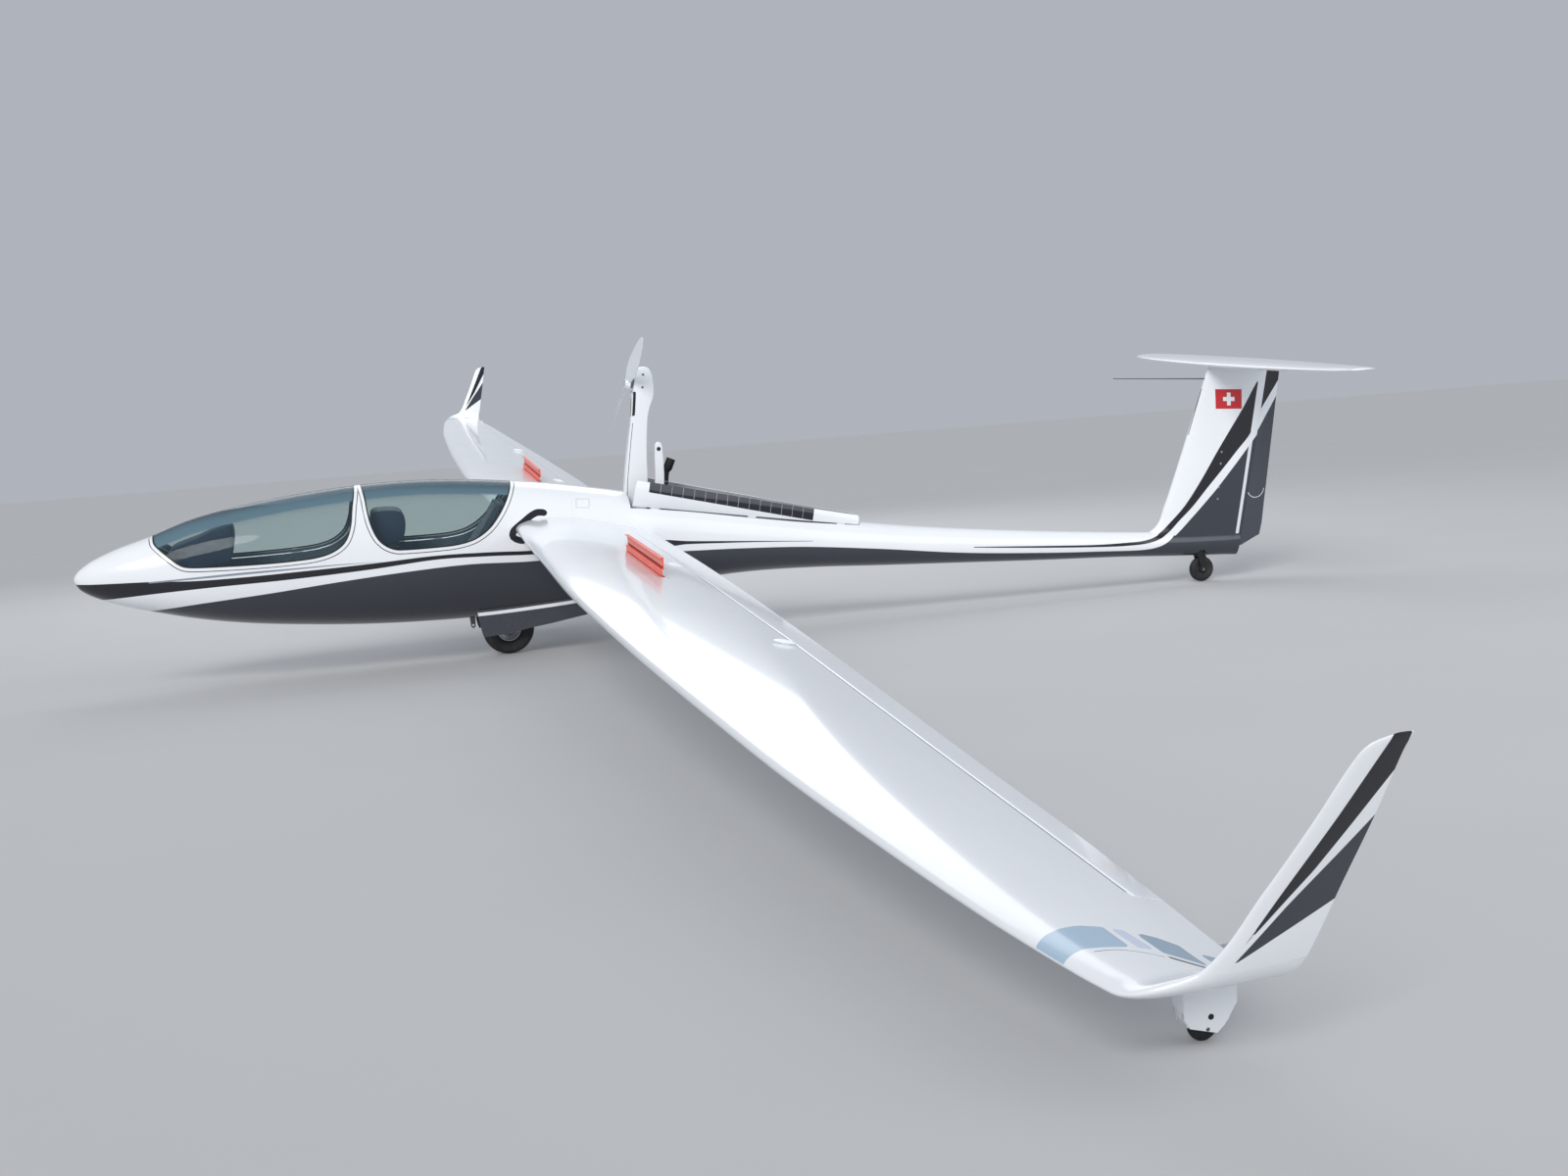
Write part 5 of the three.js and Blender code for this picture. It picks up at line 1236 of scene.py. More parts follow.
def wing_mid(y, x):
    """Height of the wing's mean line at y and x."""
    row = read_table(WING, y)
    lead, trail, z, incidence = row[..., 1], row[..., 2], row[..., 3], row[..., 4]
    u = (x - lead) / (trail - lead)
    return z - (x - lead) * np.tan(incidence * DEG) + 4 * CAMBER * u * (1 - u) * (trail - lead)


def zoned(breaks, first, last, step):
    """Stations from first to last with each break doubled; between breaks the cove is off and on in turn."""
    stops = [first, *breaks, last]
    runs, coves = [], []
    for k, (a, b) in enumerate(zip(stops[:-1], stops[1:])):
        count = max(int(abs(b - a) / step), 1) + 1
        runs.append(np.linspace(a, b, count))
        coves.append(np.full(count, k % 2 == 1))
    return np.concatenate(runs), np.concatenate(coves)


TIP_PALE = [(3194, 9384), (3237, 9353), (3284, 9337), (3327, 9336), (3380, 9359), (3384, 9503), (3280, 9476),
            (3246, 9487), (3210, 9506)]
TIP_BLUE = [(3439, 9400), (3480, 9438), (3509, 9492), (3504, 9651), (3473, 9594), (3442, 9549)]
TIP_LAST = [(3532, 9547), (3570, 9577), (3529, 9630)]
TIP_LILAC = [(3392, 9368), (3420, 9384), (3434, 9532), (3400, 9512)]
TIP_PIN = [(3295, 9502), (3349, 9513), (3399, 9545), (3433, 9580)]
TIP_LINE = [(3441, 9580), (3498, 9671)]
# Width of the grey line of painted shade on the upper skin ahead of the flap's and aileron's lip.
SEAM_SHADE_WIDTH = 6
WINGLET_BLACK = [(3491, 1174), (3648, 1469), (3739, 1646), (3790, 1700), (3766, 1571), (3721, 1502), (3619, 1341)]
WINGLET_SLATE = [(3472, 1127), (3572, 1259), (3663, 1368), (3740, 1462), (3790, 1520), (3790, 1310), (3693, 1261),
                 (3556, 1180)]


def wing_marks(points):
    """Distances inside the painted shapes of the wing tip, from above, and of the winglet, from the side; also the
    painted shade of the step ahead of the flap and aileron and of their coves.
    """
    plan = np.column_stack([points[:, 0], np.abs(points[:, 1])])
    upright = points[:, 2] > 1118
    low = np.where(upright, FAR, 0.0)
    high = np.where(upright, 0.0, FAR)
    side = points[:, [0, 2]]
    x, y = plan.T
    across = above_line(x, y, TIP_LINE)
    pin = (y - curve_over(TIP_PIN, x)) * 0.8
    seam = x - wing_seam(y)
    inboard = np.where((y > FLAP["y0"] - 3) & (y < AILERON["y1"] + 3), 0.0, FAR)
    outboard = np.where(y > 9420, 0.0, FAR)
    upper = np.where(points[:, 2] > wing_mid(y, x), 0.0, FAR)
    span = np.minimum(x - TIP_PIN[0][0], TIP_PIN[-1][0] - x) + low + upper + outboard
    # Inboard of the tip, pin is a grey line just ahead of the lip, painted shade of the step at the flap's and
    # aileron's seal; at the tip it is a painted pin line.
    pin_lines_and_seam_shade = np.where(y[:, None] < 9350, triple(seam + SEAM_SHADE_WIDTH, 1 - seam, 500 + upper + inboard),
                    triple(1.8 - pin, 1.8 + pin, span))
    line = triple(5 - across, 5 + across, np.minimum(x - TIP_LINE[0][0], TIP_LINE[1][0] - x) + low + upper)
    return {
        "pale": triple(inside_distance(plan, TIP_PALE) + low + upper),
        "blue": triple(np.maximum(inside_distance(plan, TIP_BLUE), inside_distance(plan, TIP_LAST)) + low + upper),
        "lilac": triple(inside_distance(plan, TIP_LILAC) + low + upper),
        "pin": pin_lines_and_seam_shade,
        "band": np.where(upright[:, None], triple(inside_distance(side, WINGLET_BLACK)), line),
        "triangle": triple(inside_distance(side, WINGLET_SLATE) + high),
        # dark: the airbrake box's thin outline, and the cove faces ahead of the flap and aileron, coloured dark as
        # painted shade in the cove.
        "dark": triple(np.maximum(wing_lines(points), wing_depth(points) - 0.8 + inboard)),
    }


def wing_seam(y):
    """x of the lip ahead of the flap and the aileron at a distance out."""
    row = read_table(RUNS, y)
    return row[:, 2] + (hinge_at(y) - LIP) * np.cos(row[:, 5] * DEG)


def wing_depth(points):
    """How deep points lie under the wing's own skins."""
    x, y = points[:, 0], np.abs(points[:, 1])
    row = read_table(RUNS, y)
    along = (x - row[:, 2]) / np.cos(row[:, 5] * DEG)
    depth = half_thickness(along, row[:, 3], row[:, 7]) - np.abs(points[:, 2] - wing_mid(y, x))
    return np.where(along > row[:, 3] * 0.6, depth, FAR)


def brake_box():
    """The airbrake box from above: x in front and behind, y at its inner and outer ends."""
    past = BRAKE_BOX["past"]
    return BRAKE_BOX["front"], BRAKE_BOX["rear"], AIRBRAKE["y0"] - past, AIRBRAKE["y1"] + past


def wing_lines(points):
    """The thin dark outline of the airbrake's box on the upper skin."""
    plan = np.column_stack([points[:, 0], np.abs(points[:, 1])])
    front, rear, inner, outer = brake_box()
    box = [(front, inner), (rear, inner), (rear, outer), (front, outer)]
    top = np.where(points[:, 2] > wing_mid(plan[:, 1], points[:, 0]), 0.0, FAR)
    return 1.2 - np.abs(inside_distance(plan, box)) + top


def make_wings():
    """Each wing: rings along the run, coves ahead of the flap and aileron, a slot pressed in for the airbrake."""
    for word, side in SIDES:
        breaks = [FLAP["y0"] - SURFACE_GAP, FLAP["y1"] + SURFACE_GAP, AILERON["y0"] - SURFACE_GAP,
                  AILERON["y1"] + SURFACE_GAP]
        runs, coves = zoned(breaks, RUN["first"], RUN["tip"], RUN["step"])
        tip = np.concatenate([np.linspace(RUN["tip"], RUN["joint"], 24)[1:],
                              np.linspace(RUN["joint"], WINGLET_RUN, 20)[1:]])
        runs = np.concatenate([[RUN["root"]], runs, tip])
        coves = np.concatenate([[False], coves, np.zeros(len(tip), bool)])
        row = read_table(RUNS, runs)
        rings = section_rings(hinge_at(runs), row[:, 3], row[:, 7], row[:, 8], coves)
        points = wing_place(runs, rings, side)
        points[0, :, 1] = (skin_half(points[0, :, 0], points[0, :, 2]) - 4) * side
        skin = closed_rings(points)
        skin = brake_slot(skin, side)
        skin = skin.marked(**wing_marks(skin.points))
        build_piece(f"wing_skin_{word}", "airframe", joined(skin, *drive_fairings(side)),
                    ["wing", "white"], [f"wing_{word}"])


def brake_slot(skin, side):
    """Scores the airbrake's slot into the upper skin and presses it down to its floor."""
    x, half, y0, y1 = AIRBRAKE["x"], AIRBRAKE["slot_half"], AIRBRAKE["y0"], AIRBRAKE["y1"]
    front, rear, inner, outer = brake_box()
    for column, at in ((0, x - half), (0, x + half), (1, y0 * side), (1, y1 * side),
                       (0, front), (0, rear), (1, inner * side), (1, outer * side)):
        skin = score(skin, lambda points, c=column, v=at: points[:, c] - v, 0.05)
    centres = skin.centres()
    across = centres[:, 1] * side
    wanted = (np.abs(centres[:, 0] - x) < half) & (across > y0) & (across < y1)
    wanted &= centres[:, 2] > wing_mid(across, centres[:, 0])
    moved = take(skin, wanted)
    shift = np.zeros_like(moved.points)
    shift[:, 2] = wing_mid(moved.points[:, 1] * side, x) + AIRBRAKE["floor"] - moved.points[:, 2]
    return pressed(skin, wanted, shift, slot=1)


def drive_fairings(side):
    """Two long blisters under the flap's and aileron's drives: an ellipse's height over a pointed plan."""
    blisters = []
    for y, length, width, height in ((2600, 120, 30, 14), (5350, 110, 28, 12)):
        x = float(wing_seam(np.array([float(y)]))[0]) - length / 2 - 1
        u = np.linspace(-1, 1, 21)[:, None]
        v = np.linspace(0, 2 * np.pi, 24, endpoint=False)[None]
        swell = (1 - u**2) ** 0.9
        px = x + u * length / 2 + 0 * v
        py = y + np.cos(v) * width / 2 * swell
        base = wing_mid(py, px) + half_thickness((px - 2940), 1000, 0.147) * 0.98
        blisters.append(outward(welded(grid(np.stack([px, py * side, base + np.sin(v) * height * swell], -1),
                                            wrap=True, slot=1))))
    return blisters


def make_winglets():
    """Each winglet: the same rings from the joint up to the tip."""
    for word, side in SIDES:
        runs = np.concatenate([np.linspace(WINGLET_RUN + 0.35, RUN["bent"], 44),
                               np.linspace(RUN["bent"], RUNS[-1, 0], 10)[1:]])
        row = read_table(RUNS, runs)
        rings = section_rings(row[:, 3] * 0.8, row[:, 3], row[:, 7], row[:, 8], np.zeros(len(runs)), steps=24)
        points = wing_place(runs, rings, side)
        points[..., 1] = np.clip(points[..., 1], -RUN["reach"], RUN["reach"])
        skin = closed_rings(points)
        skin = skin.marked(**wing_marks(skin.points))
        build_piece(f"winglet_skin_{word}", "airframe", skin, ["wing"], [f"winglet_{word}"])


def make_wing_surfaces():
    """Flaps and ailerons: a nose arc and two skins along the wing's own stations, with a pin at each end."""
    for word, side in SIDES:
        for kind, spec in (("flap", FLAP), ("aileron", AILERON)):
            runs = np.linspace(spec["y0"], spec["y1"], int((spec["y1"] - spec["y0"]) / 70))
            row = read_table(RUNS, runs)
            hinge = hinge_at(runs)
            rings = surface_rings(hinge, row[:, 3], row[:, 7], row[:, 8])
            skin = closed_rings(wing_place(runs, rings, side))
            ends = []
            for k, way in ((0, -1), (-1, 1)):
                middle = np.array([[[hinge[k], mean_height(hinge[k], row[k, 3], CAMBER)]]])
                at = wing_place(runs[[k]], middle, side)[0, 0]
                ends.append(tube([at - (0, 8 * way * side, 0), at + (0, 5.6 * way * side, 0)], 3, 12))
            build_piece(f"{kind}_skin_{word}", f"{kind}_{word}", joined(skin, *ends), ["white"],
                        [f"{kind}_{word}"])


def brake_plate(front, thick, foot, top, side, y0, y1):
    """A plate of the airbrake along the wing's dihedral, with rounded edges."""
    mids = [float(wing_mid(y, AIRBRAKE["x"])) for y in (y0, y1)]
    outline = [(y0 * side, mids[0] + foot), (y1 * side, mids[1] + foot), (y1 * side, mids[1] + top),
               (y0 * side, mids[0] + top)]
    return slab(outline, front, front + thick, 0.8, plane="yz")


def make_airbrakes():
    """Each airbrake: a lower and an upper storey of thin plates with stiffening beads, a cap on the upper one."""
    b = AIRBRAKE
    y0, y1 = b["y0"] + b["end"], b["y1"] - b["end"]
    for word, side in SIDES:
        for storey, front, top in (("lower", b["x"] - b["apart"] - b["thick"], b["skin"] + b["rise"] / 2 - b["drop"]),
                                   ("upper", b["x"] + b["apart"], b["skin"] + b["rise"])):
            foot = top - b["depth"]
            parts = [brake_plate(front, b["thick"], foot, top, side, y0, y1)]
            if storey == "lower":
                for y in b["guides"]:
                    parts.append(brake_plate(front + 5, b["apart"] * 2 + 0.4, foot, top, side, y, y + 12))
                for a, c in ((b["y0"] + 0.3, y0 + 4), (y1 - 4, b["y1"] - 0.3)):
                    parts.append(brake_plate(front + 1, b["thick"] - 2, foot, foot + 8, side, a, c))
            else:
                parts.append(brake_plate(b["x"] - 12, 24, top - 2, top + 1.5, side, y0, y1))
                # Two thin dark strips on the upper plate's front: painted shade of the gap above the lower plate, and
                # painted shadow under the cap.
                for height, deep in ((top - b["rise"] / 2 - 2, 9), (top - 8, 3)):
                    gap = brake_plate(front - 0.25, 1, height, height + deep, side, y0 + 2, y1 - 2)
                    parts.append(gap.coloured(1))
            bead_front = front - 0.9 if storey == "lower" else front + b["thick"] - 0.6
            for height in (foot + 14, foot + 30, foot + 46):
                bead = brake_plate(bead_front, 1.5, height, height + 4, side, y0 + 12, y1 - 12)
                parts.append(bead)
            build_piece(f"airbrake_{storey}_plate_{word}", f"airbrake_{storey}_{word}", joined(*parts),
                        ["brake", "seal"], [f"airbrake_{storey}_{word}"])


FIN_BAND = [(8920, 1568), (8763, 1348), (8546, 1048), (8398, 827), (8251, 629), (8131, 508), (8019, 416), (7884, 382),
            (7751, 378), (7750, 355), (7934, 362), (8086, 410), (8198, 509), (8310, 609), (8439, 746), (8560, 868),
            (8707, 1019), (8855, 1187)]
FIN_SLATE = [(7600, 300), (7899, 302), (8042, 328), (8136, 374), (8213, 438), (8343, 559), (8515, 724), (8706, 926),
             (8819, 1050), (8900, 1140)]
FIN_DOTS = [(8571, 1022), (8561, 930), (8541, 745), (8531, 652)]
FIN_LINE = [(8428, 1526), (8304, 1174)]
FLAG = {"x": 8642, "z": 1433, "half": (114, 77), "arm": 50, "thick": 16, "slope": -16 / 228}
HINGE_STRIPE = ((8696, 300), (8937, 1636))
RUDDER_LINES = {"black": ((8890, 1277), (9064, 1519)), "white_top": ((8873, 1255), (9055, 1497)),
                "white_foot": ((8862, 1108), (9054, 1396))}
RUDDER_ARC = {"x": 8879, "z": 710, "radius": 77, "half": 2.2, "ends": ((8806, 746), (8951, 703))}


def above_line(x, z, line):
    """Distance of points above a straight line, measured across it."""
    (x0, z0), (x1, z1) = line
    slope = (z1 - z0) / (x1 - x0)
    return (z - z0 - (x - x0) * slope) / math.hypot(1, slope)


def fin_marks(points):
    """Distances inside the fin's painted shapes, from its side view."""
    x, _, z = points.T
    side = points[:, [0, 2]]
    edge = above_line(x, z, FIN_LINE)
    stripe = above_line(x, z, HINGE_STRIPE)
    across = x - FLAG["x"]
    level = z - FLAG["z"] - across * FLAG["slope"]
    arm, thick = FLAG["arm"], FLAG["thick"]
    return {
        "band": triple(inside_distance(side, smooth_outline(FIN_BAND, 4))),
        "triangle": triple(above_line(x, np.interp(x, *np.array(FIN_SLATE).T), ((0, 0), (1, 0))) - z),
        "white": triple(stripe + 14, 14 - stripe),
        "dark": triple(1.6 - edge, 1.6 + edge, np.minimum(FIN_LINE[0][1] - z, z - FIN_LINE[1][1])),
        "flag": triple(FLAG["half"][0] - np.abs(across), FLAG["half"][1] - np.abs(level)),
        "cross": triple(across + thick, thick - across, arm - np.abs(level)),
        "bar": triple(level + thick, thick - level, arm - np.abs(across)),
    }


def rudder_marks(points):
    """Distances inside the rudder's painted shapes."""
    x, _, z = points.T
    arc = RUDDER_ARC
    past = np.hypot(x - arc["x"], z - arc["z"]) - arc["radius"]
    return {
        "band": triple(above_line(x, z, RUDDER_LINES["black"])),
        "white": triple(-above_line(x, z, RUDDER_LINES["white_top"]), above_line(x, z, RUDDER_LINES["white_foot"])),
        "arc": triple(arc["half"] - past, arc["half"] + past, -above_line(x, z, arc["ends"])),
    }


def rudder_line(z):
    """x of the rudder's hinge line at a height."""
    (x0, z0), (x1, z1) = RUDDER["foot"], RUDDER["top"]
    return x0 + (x1 - x0) * (z - z0) / (z1 - z0)


def fin_points(row, rings, z):
    """Rings of the fin or the rudder, set at the leading edge of their heights."""
    return np.stack([row[:, 1][:, None] + rings[..., 0], rings[..., 1], z[:, None] + 0 * rings[..., 0]], -1)


def fin_top(x):
    """Where the fin ends below the tailplane: its lower skin, and the room the elevator needs behind that."""
    lead, trail, ratio = TAILPLANE[0, 1:]
    stab = TAILPLANE_Z - half_thickness(x - lead, trail - lead, ratio) + 3
    edge, level = FIN_TOP[0]
    return np.where(x < edge, np.maximum(stab, level), np.interp(x, *np.array(FIN_TOP, float).T))


def make_fin():
    """The fin: rings from inside the boom to the tailplane with a cove along the rudder's hinge."""
    z = np.concatenate([np.linspace(352, 1645, 62), [1700]])
    row = read_table(FIN, z)
    chord = row[:, 2] - row[:, 1]
    coves = np.ones(len(z), bool)
    rings = section_rings(rudder_line(z) - row[:, 1], chord, row[:, 3], np.zeros(len(z)), coves, lip=10)
    points = fin_points(row, rings, z)
    points[-1, :, 2] = fin_top(points[-1, :, 0])
    skin = closed_rings(points)
    skin = skin.marked(**fin_marks(skin.points))
    ports = []
    for x, height in FIN_DOTS:
        lead, trail, ratio = read_table(FIN, np.array([float(height)]))[0, 1:4]
        half = float(half_thickness(x - lead, trail - lead, ratio))
        profile = [(0, half - 3), (8, half - 3), (8, half + 0.8), (6, half + 1.2), (3, half + 0.8), (0, half + 0.8)]
        ports += [spun(profile, (x, 0, height), (0, side, 0), 24, slot=1) for side in (-1, 1)]
    build_piece("fin_skin", "airframe", joined(skin, *ports), ["fin", "rim"], ["fin"])


def make_rudder():
    """The rudder: nose arc and skins, its foot slanted up aft."""
    foot = RUDDER_FOOT
    z = np.linspace(foot, RUDDER["top"][1], 70)
    row = read_table(FIN, z)
    chord = row[:, 2] - row[:, 1]
    rings = surface_rings(rudder_line(z) - row[:, 1], chord, row[:, 3], np.zeros(len(z)), steps=14)
    points = fin_points(row, rings, z)
    aft = np.clip((points[..., 0] - rudder_line(foot)) * 0.42, 0, 70)
    points[..., 2] += aft * np.clip(1 - (z[:, None] - foot) / 160, 0, 1)
    skin = closed_rings(points)
    skin = skin.marked(**rudder_marks(skin.points))
    build_piece("rudder_skin", "rudder", skin, ["rudder"], ["rudder"])


def tailplane_rings(y, coves):
    """The tailplane's rings with a cove where coves is true at each y, or the elevator's where it is None."""
    row = read_table(TAILPLANE, np.abs(y))
    chord = row[:, 2] - row[:, 1]
    if coves is None:
        rings = surface_rings(ELEVATOR["x"] - row[:, 1], chord, row[:, 3], np.zeros(len(y)))
    else:
        rings = section_rings(ELEVATOR["x"] - row[:, 1], chord, row[:, 3], np.zeros(len(y)), coves, lip=9, steps=24)
    return np.stack([row[:, 1][:, None] + rings[..., 0], y[:, None] + 0 * rings[..., 0],
                     TAILPLANE_Z + rings[..., 1]], -1)


def make_tailplane():
    """The tailplane with its cove and rounded tips, and the elevator in one piece behind it."""
    limit = ELEVATOR["half"] + SURFACE_GAP
    y, coves = zoned([-limit, limit], -1680, 1680, 45)
    points = tailplane_rings(y, coves)
    rounds = np.array([15, 30, 45, 60, 75]) * DEG
    ends = []
    for ring, way in ((points[0], -1), (points[-1], 1)):
        middle = np.column_stack([ring[:, 0], ring[:, 1], np.full(len(ring), TAILPLANE_Z)])
        chord_middle = ring[:, 0].mean()
        cap_rings = []
        for turn in rounds:
            moved = middle + (ring - middle) * math.cos(turn)
            moved[:, 0] = chord_middle + (moved[:, 0] - chord_middle) * (0.94 + 0.06 * math.cos(turn))
            moved[:, 1] += way * 12 * math.sin(turn)
            cap_rings.append(moved)
        ends.append(np.array(cap_rings))
    skin = closed_rings(np.concatenate([ends[0][::-1], points, ends[1]]))
    build_piece("tailplane_skin", "airframe", skin, ["white"], ["tailplane"])
    y = np.linspace(-ELEVATOR["half"], ELEVATOR["half"], 71)
    skin = closed_rings(tailplane_rings(y, None))
    build_piece("elevator_skin", "elevator", skin, ["white"], ["elevator"])


# Mast, propeller and wheels

MAST_PIVOT = (3870, 840)
MAST_HALF = 44
MAST_COLUMN = [(3815, 800), (3812, 1010), (3826, 1180), (3868, 1450), (3908, 1680), (3922, 1800), (3945, 1905),
               (3968, 1978), (4005, 1993), (4052, 1986), (4077, 1930), (4083, 1850), (4077, 1780), (4045, 1700),
               (4024, 1620), (4003, 1400), (3993, 1173), (3960, 900), (3930, 790), (3870, 765)]
MAST_ARM = [(3940, 850), (3950, 905), (4018, 985), (4052, 1160), (4068, 1420), (4088, 1444), (4112, 1436),
            (4120, 1400), (4118, 1160), (4080, 950), (4000, 830)]
ARM_HOLE = (4092, 1395, 12)
EXHAUST = {"foot": (4100, 960), "neck": (4142, 1228), "tip": (4182, 1316), "pipe": 20, "can": 33}
PROP = {"x": 3899, "z": 1885, "radius": 615, "angle": 33, "lean": 7.4, "chord": 108, "hub": 42, "half": 20, "face": 40}
# Propeller blade: share of the radius, chord share, pitch in degrees, thickness ratio.
BLADE = np.array([[0.02, 0.42, 46, 0.3], [0.12, 0.6, 43, 0.24], [0.25, 0.85, 37, 0.13], [0.45, 1.0, 29, 0.1],
                  [0.7, 0.84, 24, 0.09], [0.9, 0.56, 20, 0.09], [0.99, 0.26, 18, 0.09]])
THRUST = np.array([-math.cos(PROP["lean"] * DEG), 0, math.sin(PROP["lean"] * DEG)])
PROP_CENTRE = np.array([PROP["x"], 0, PROP["z"]], float)


def rod(radius, low, high):
    """The profile of a plain cylinder."""
    return [(0, low), (radius, low), (radius, high), (0, high)]


def spun(profile, start, direction, steps=64, slot=0):
    """A profile of radius and distance carried round a direction from a start; one that doesn't end on the
    axis is closed on itself."""
    profile = np.asarray(profile, float)
    if profile[0, 0] > 0 or profile[-1, 0] > 0:
        profile = np.concatenate([profile, profile[:1]])
    direction = np.asarray(direction, float) / np.linalg.norm(direction)
    guide = np.array([0, 1.0, 0]) if abs(direction[1]) < 0.9 else np.array([1.0, 0, 0])
    side = np.cross(direction, guide)
    side /= np.linalg.norm(side)
    up = np.cross(direction, side)
    turn = np.arange(steps) / steps * 2 * np.pi
    ring = np.cos(turn)[:, None] * side + np.sin(turn)[:, None] * up
    points = np.asarray(start, float) + profile[:, 1, None, None] * direction + profile[:, 0, None, None] * ring
    return outward(welded(grid(points, wrap=True, slot=slot)))


def hexagon_bolt(at, direction, radius, height=4.0, slot=0):
    """A washer under a six-sided head."""
    at = np.asarray(at, float)
    washer = spun(rod(radius * 1.45, -0.5, 1.0), at, direction, 20, slot=slot)
    head = spun([(0, 0.5), (radius, 0.5), (radius, height * 0.8), (radius * 0.85, height), (0, height)], at,
                direction, 6, slot=slot)
    return joined(washer, head)


def face_strip(z0, z1, start, width):
    """A side outline along the mast's front face, from a distance behind it and as wide as asked."""
    face = np.array(MAST_COLUMN[:6])
    heights = np.linspace(z0, z1, 12)
    front = np.column_stack([np.interp(heights, face[:, 1], face[:, 0]) + start, heights])
    return np.concatenate([front, front[::-1] + (width, 0)])


def make_mast():
    """The mast: its smoothed side outline carried across with round edges, with the brace arm behind it."""
    outline = smooth_outline(MAST_COLUMN, 5)
    arm = np.column_stack([outline[:, 0], np.zeros(len(outline)), outline[:, 1]]) - PROP_CENTRE
    ahead = arm @ THRUST
    away = np.linalg.norm(arm - ahead[:, None] * THRUST, axis=1)
    back = np.where((away < 66) & (ahead > -PROP["face"] - 0.3), ahead + PROP["face"] + 0.3, 0)
    outline = outline - back[:, None] * THRUST[[0, 2]]
    x, z = MAST_PIVOT
    parts = [slab(outline, -MAST_HALF, MAST_HALF, 13)]
    parts.append(spun([(14.3, -50), (36, -50), (40, -46), (40, 46), (36, 50), (14.3, 50)], (x, 0, z), (0, 1, 0), 48))
    bearing = [(0, -80), (40, -80), (40, -44), (37, -40.4), (0, -40.4)]
    parts.append(spun(bearing, PROP_CENTRE, THRUST, 48, slot=1))
    # Dark strips laid on the mast's front and sides: painted shade of a slot near its top and of gap lines down its
    # face.
    for z0, z1, half in ((1640, 1775, 9), (1130, 1625, 1.6)):
        parts.append(slab(face_strip(z0, z1, -0.7, 6), -half, half, 0.3, slot=2))
    for z0, z1, start, width in ((1650, 1822, 6, 20), (1010, 1600, 15, 4)):
        strip = face_strip(z0, z1, start, width)
        parts += [slab(strip, side * (MAST_HALF - 6), side * (MAST_HALF + 0.3), 0.2, slot=2) for side in (-1, 1)]
    for z0 in (900, 960, 1850, 1940):
        for side in (-1, 1):
            at = (float(np.interp(z0, (900, 1940), (3890, 4010))), side * (MAST_HALF - 0.2), z0)
            parts.append(hexagon_bolt(at, (0, side, 0), 6, 4.5, slot=1))
    parts.append(slab(smooth_outline(MAST_ARM, 4), -18, 18, 5))
    hx, hz, hole = ARM_HOLE
    for side in (-1, 1):
        rim_ring = [(hole, 17.2), (hole + 4, 17.2), (hole + 4, 18.0), (hole, 18.3)]
        parts.append(spun(rim_ring, (hx, 0, hz), (0, side, 0), 32, slot=1))
        # The arm's hole is not cut: a dark disc fills it on each face, painted shade in place of the open hole.
        parts.append(spun(rod(hole, 17, 18.1), (hx, 0, hz), (0, side, 0), 32, slot=2))
        foot = slab([(4052, 1000), (4066, 1000), (4084, 1100), (4074, 1104)], side * 17.4, side * 18.2, 0.2, slot=2)
        parts.append(foot)
    build_piece("mast_and_brace", "mast", joined(*parts), ["mast", "steel", "seal"],
                ["mast_column", "mast_arm"])


def make_exhaust():
    """The exhaust: a pipe that widens into a can with an open mouth, and clamps round the pipe."""
    foot, neck, tip = [np.array([EXHAUST[name][0], 0, EXHAUST[name][1]], float) for name in ("foot", "neck", "tip")]
    pipe, can = EXHAUST["pipe"], EXHAUST["can"]
    length = np.linalg.norm(neck - foot)
    lower = spun(rod(pipe, 0, length), foot, neck - foot, 32)
    reach = np.linalg.norm(tip - neck)
    upper = spun([(0, -6), (pipe + 2, -6), (pipe + 4, 4), (can - 2, 16), (can, 24), (can, reach - 4), (can - 2, reach),
                  (can - 8, reach), (can - 9, reach - 4), (can - 9, reach - 50), (0, reach - 50)], neck, tip - neck, 40)
    clamps = [spun([(pipe, at), (pipe + 3, at), (pipe + 3, at + 12), (pipe, at + 12)], foot, neck - foot, 32, slot=1)
              for at in (70, 190)]
    build_piece("exhaust_pipe", "mast", joined(lower, upper, *clamps), ["soot", "steel"], ["exhaust"])


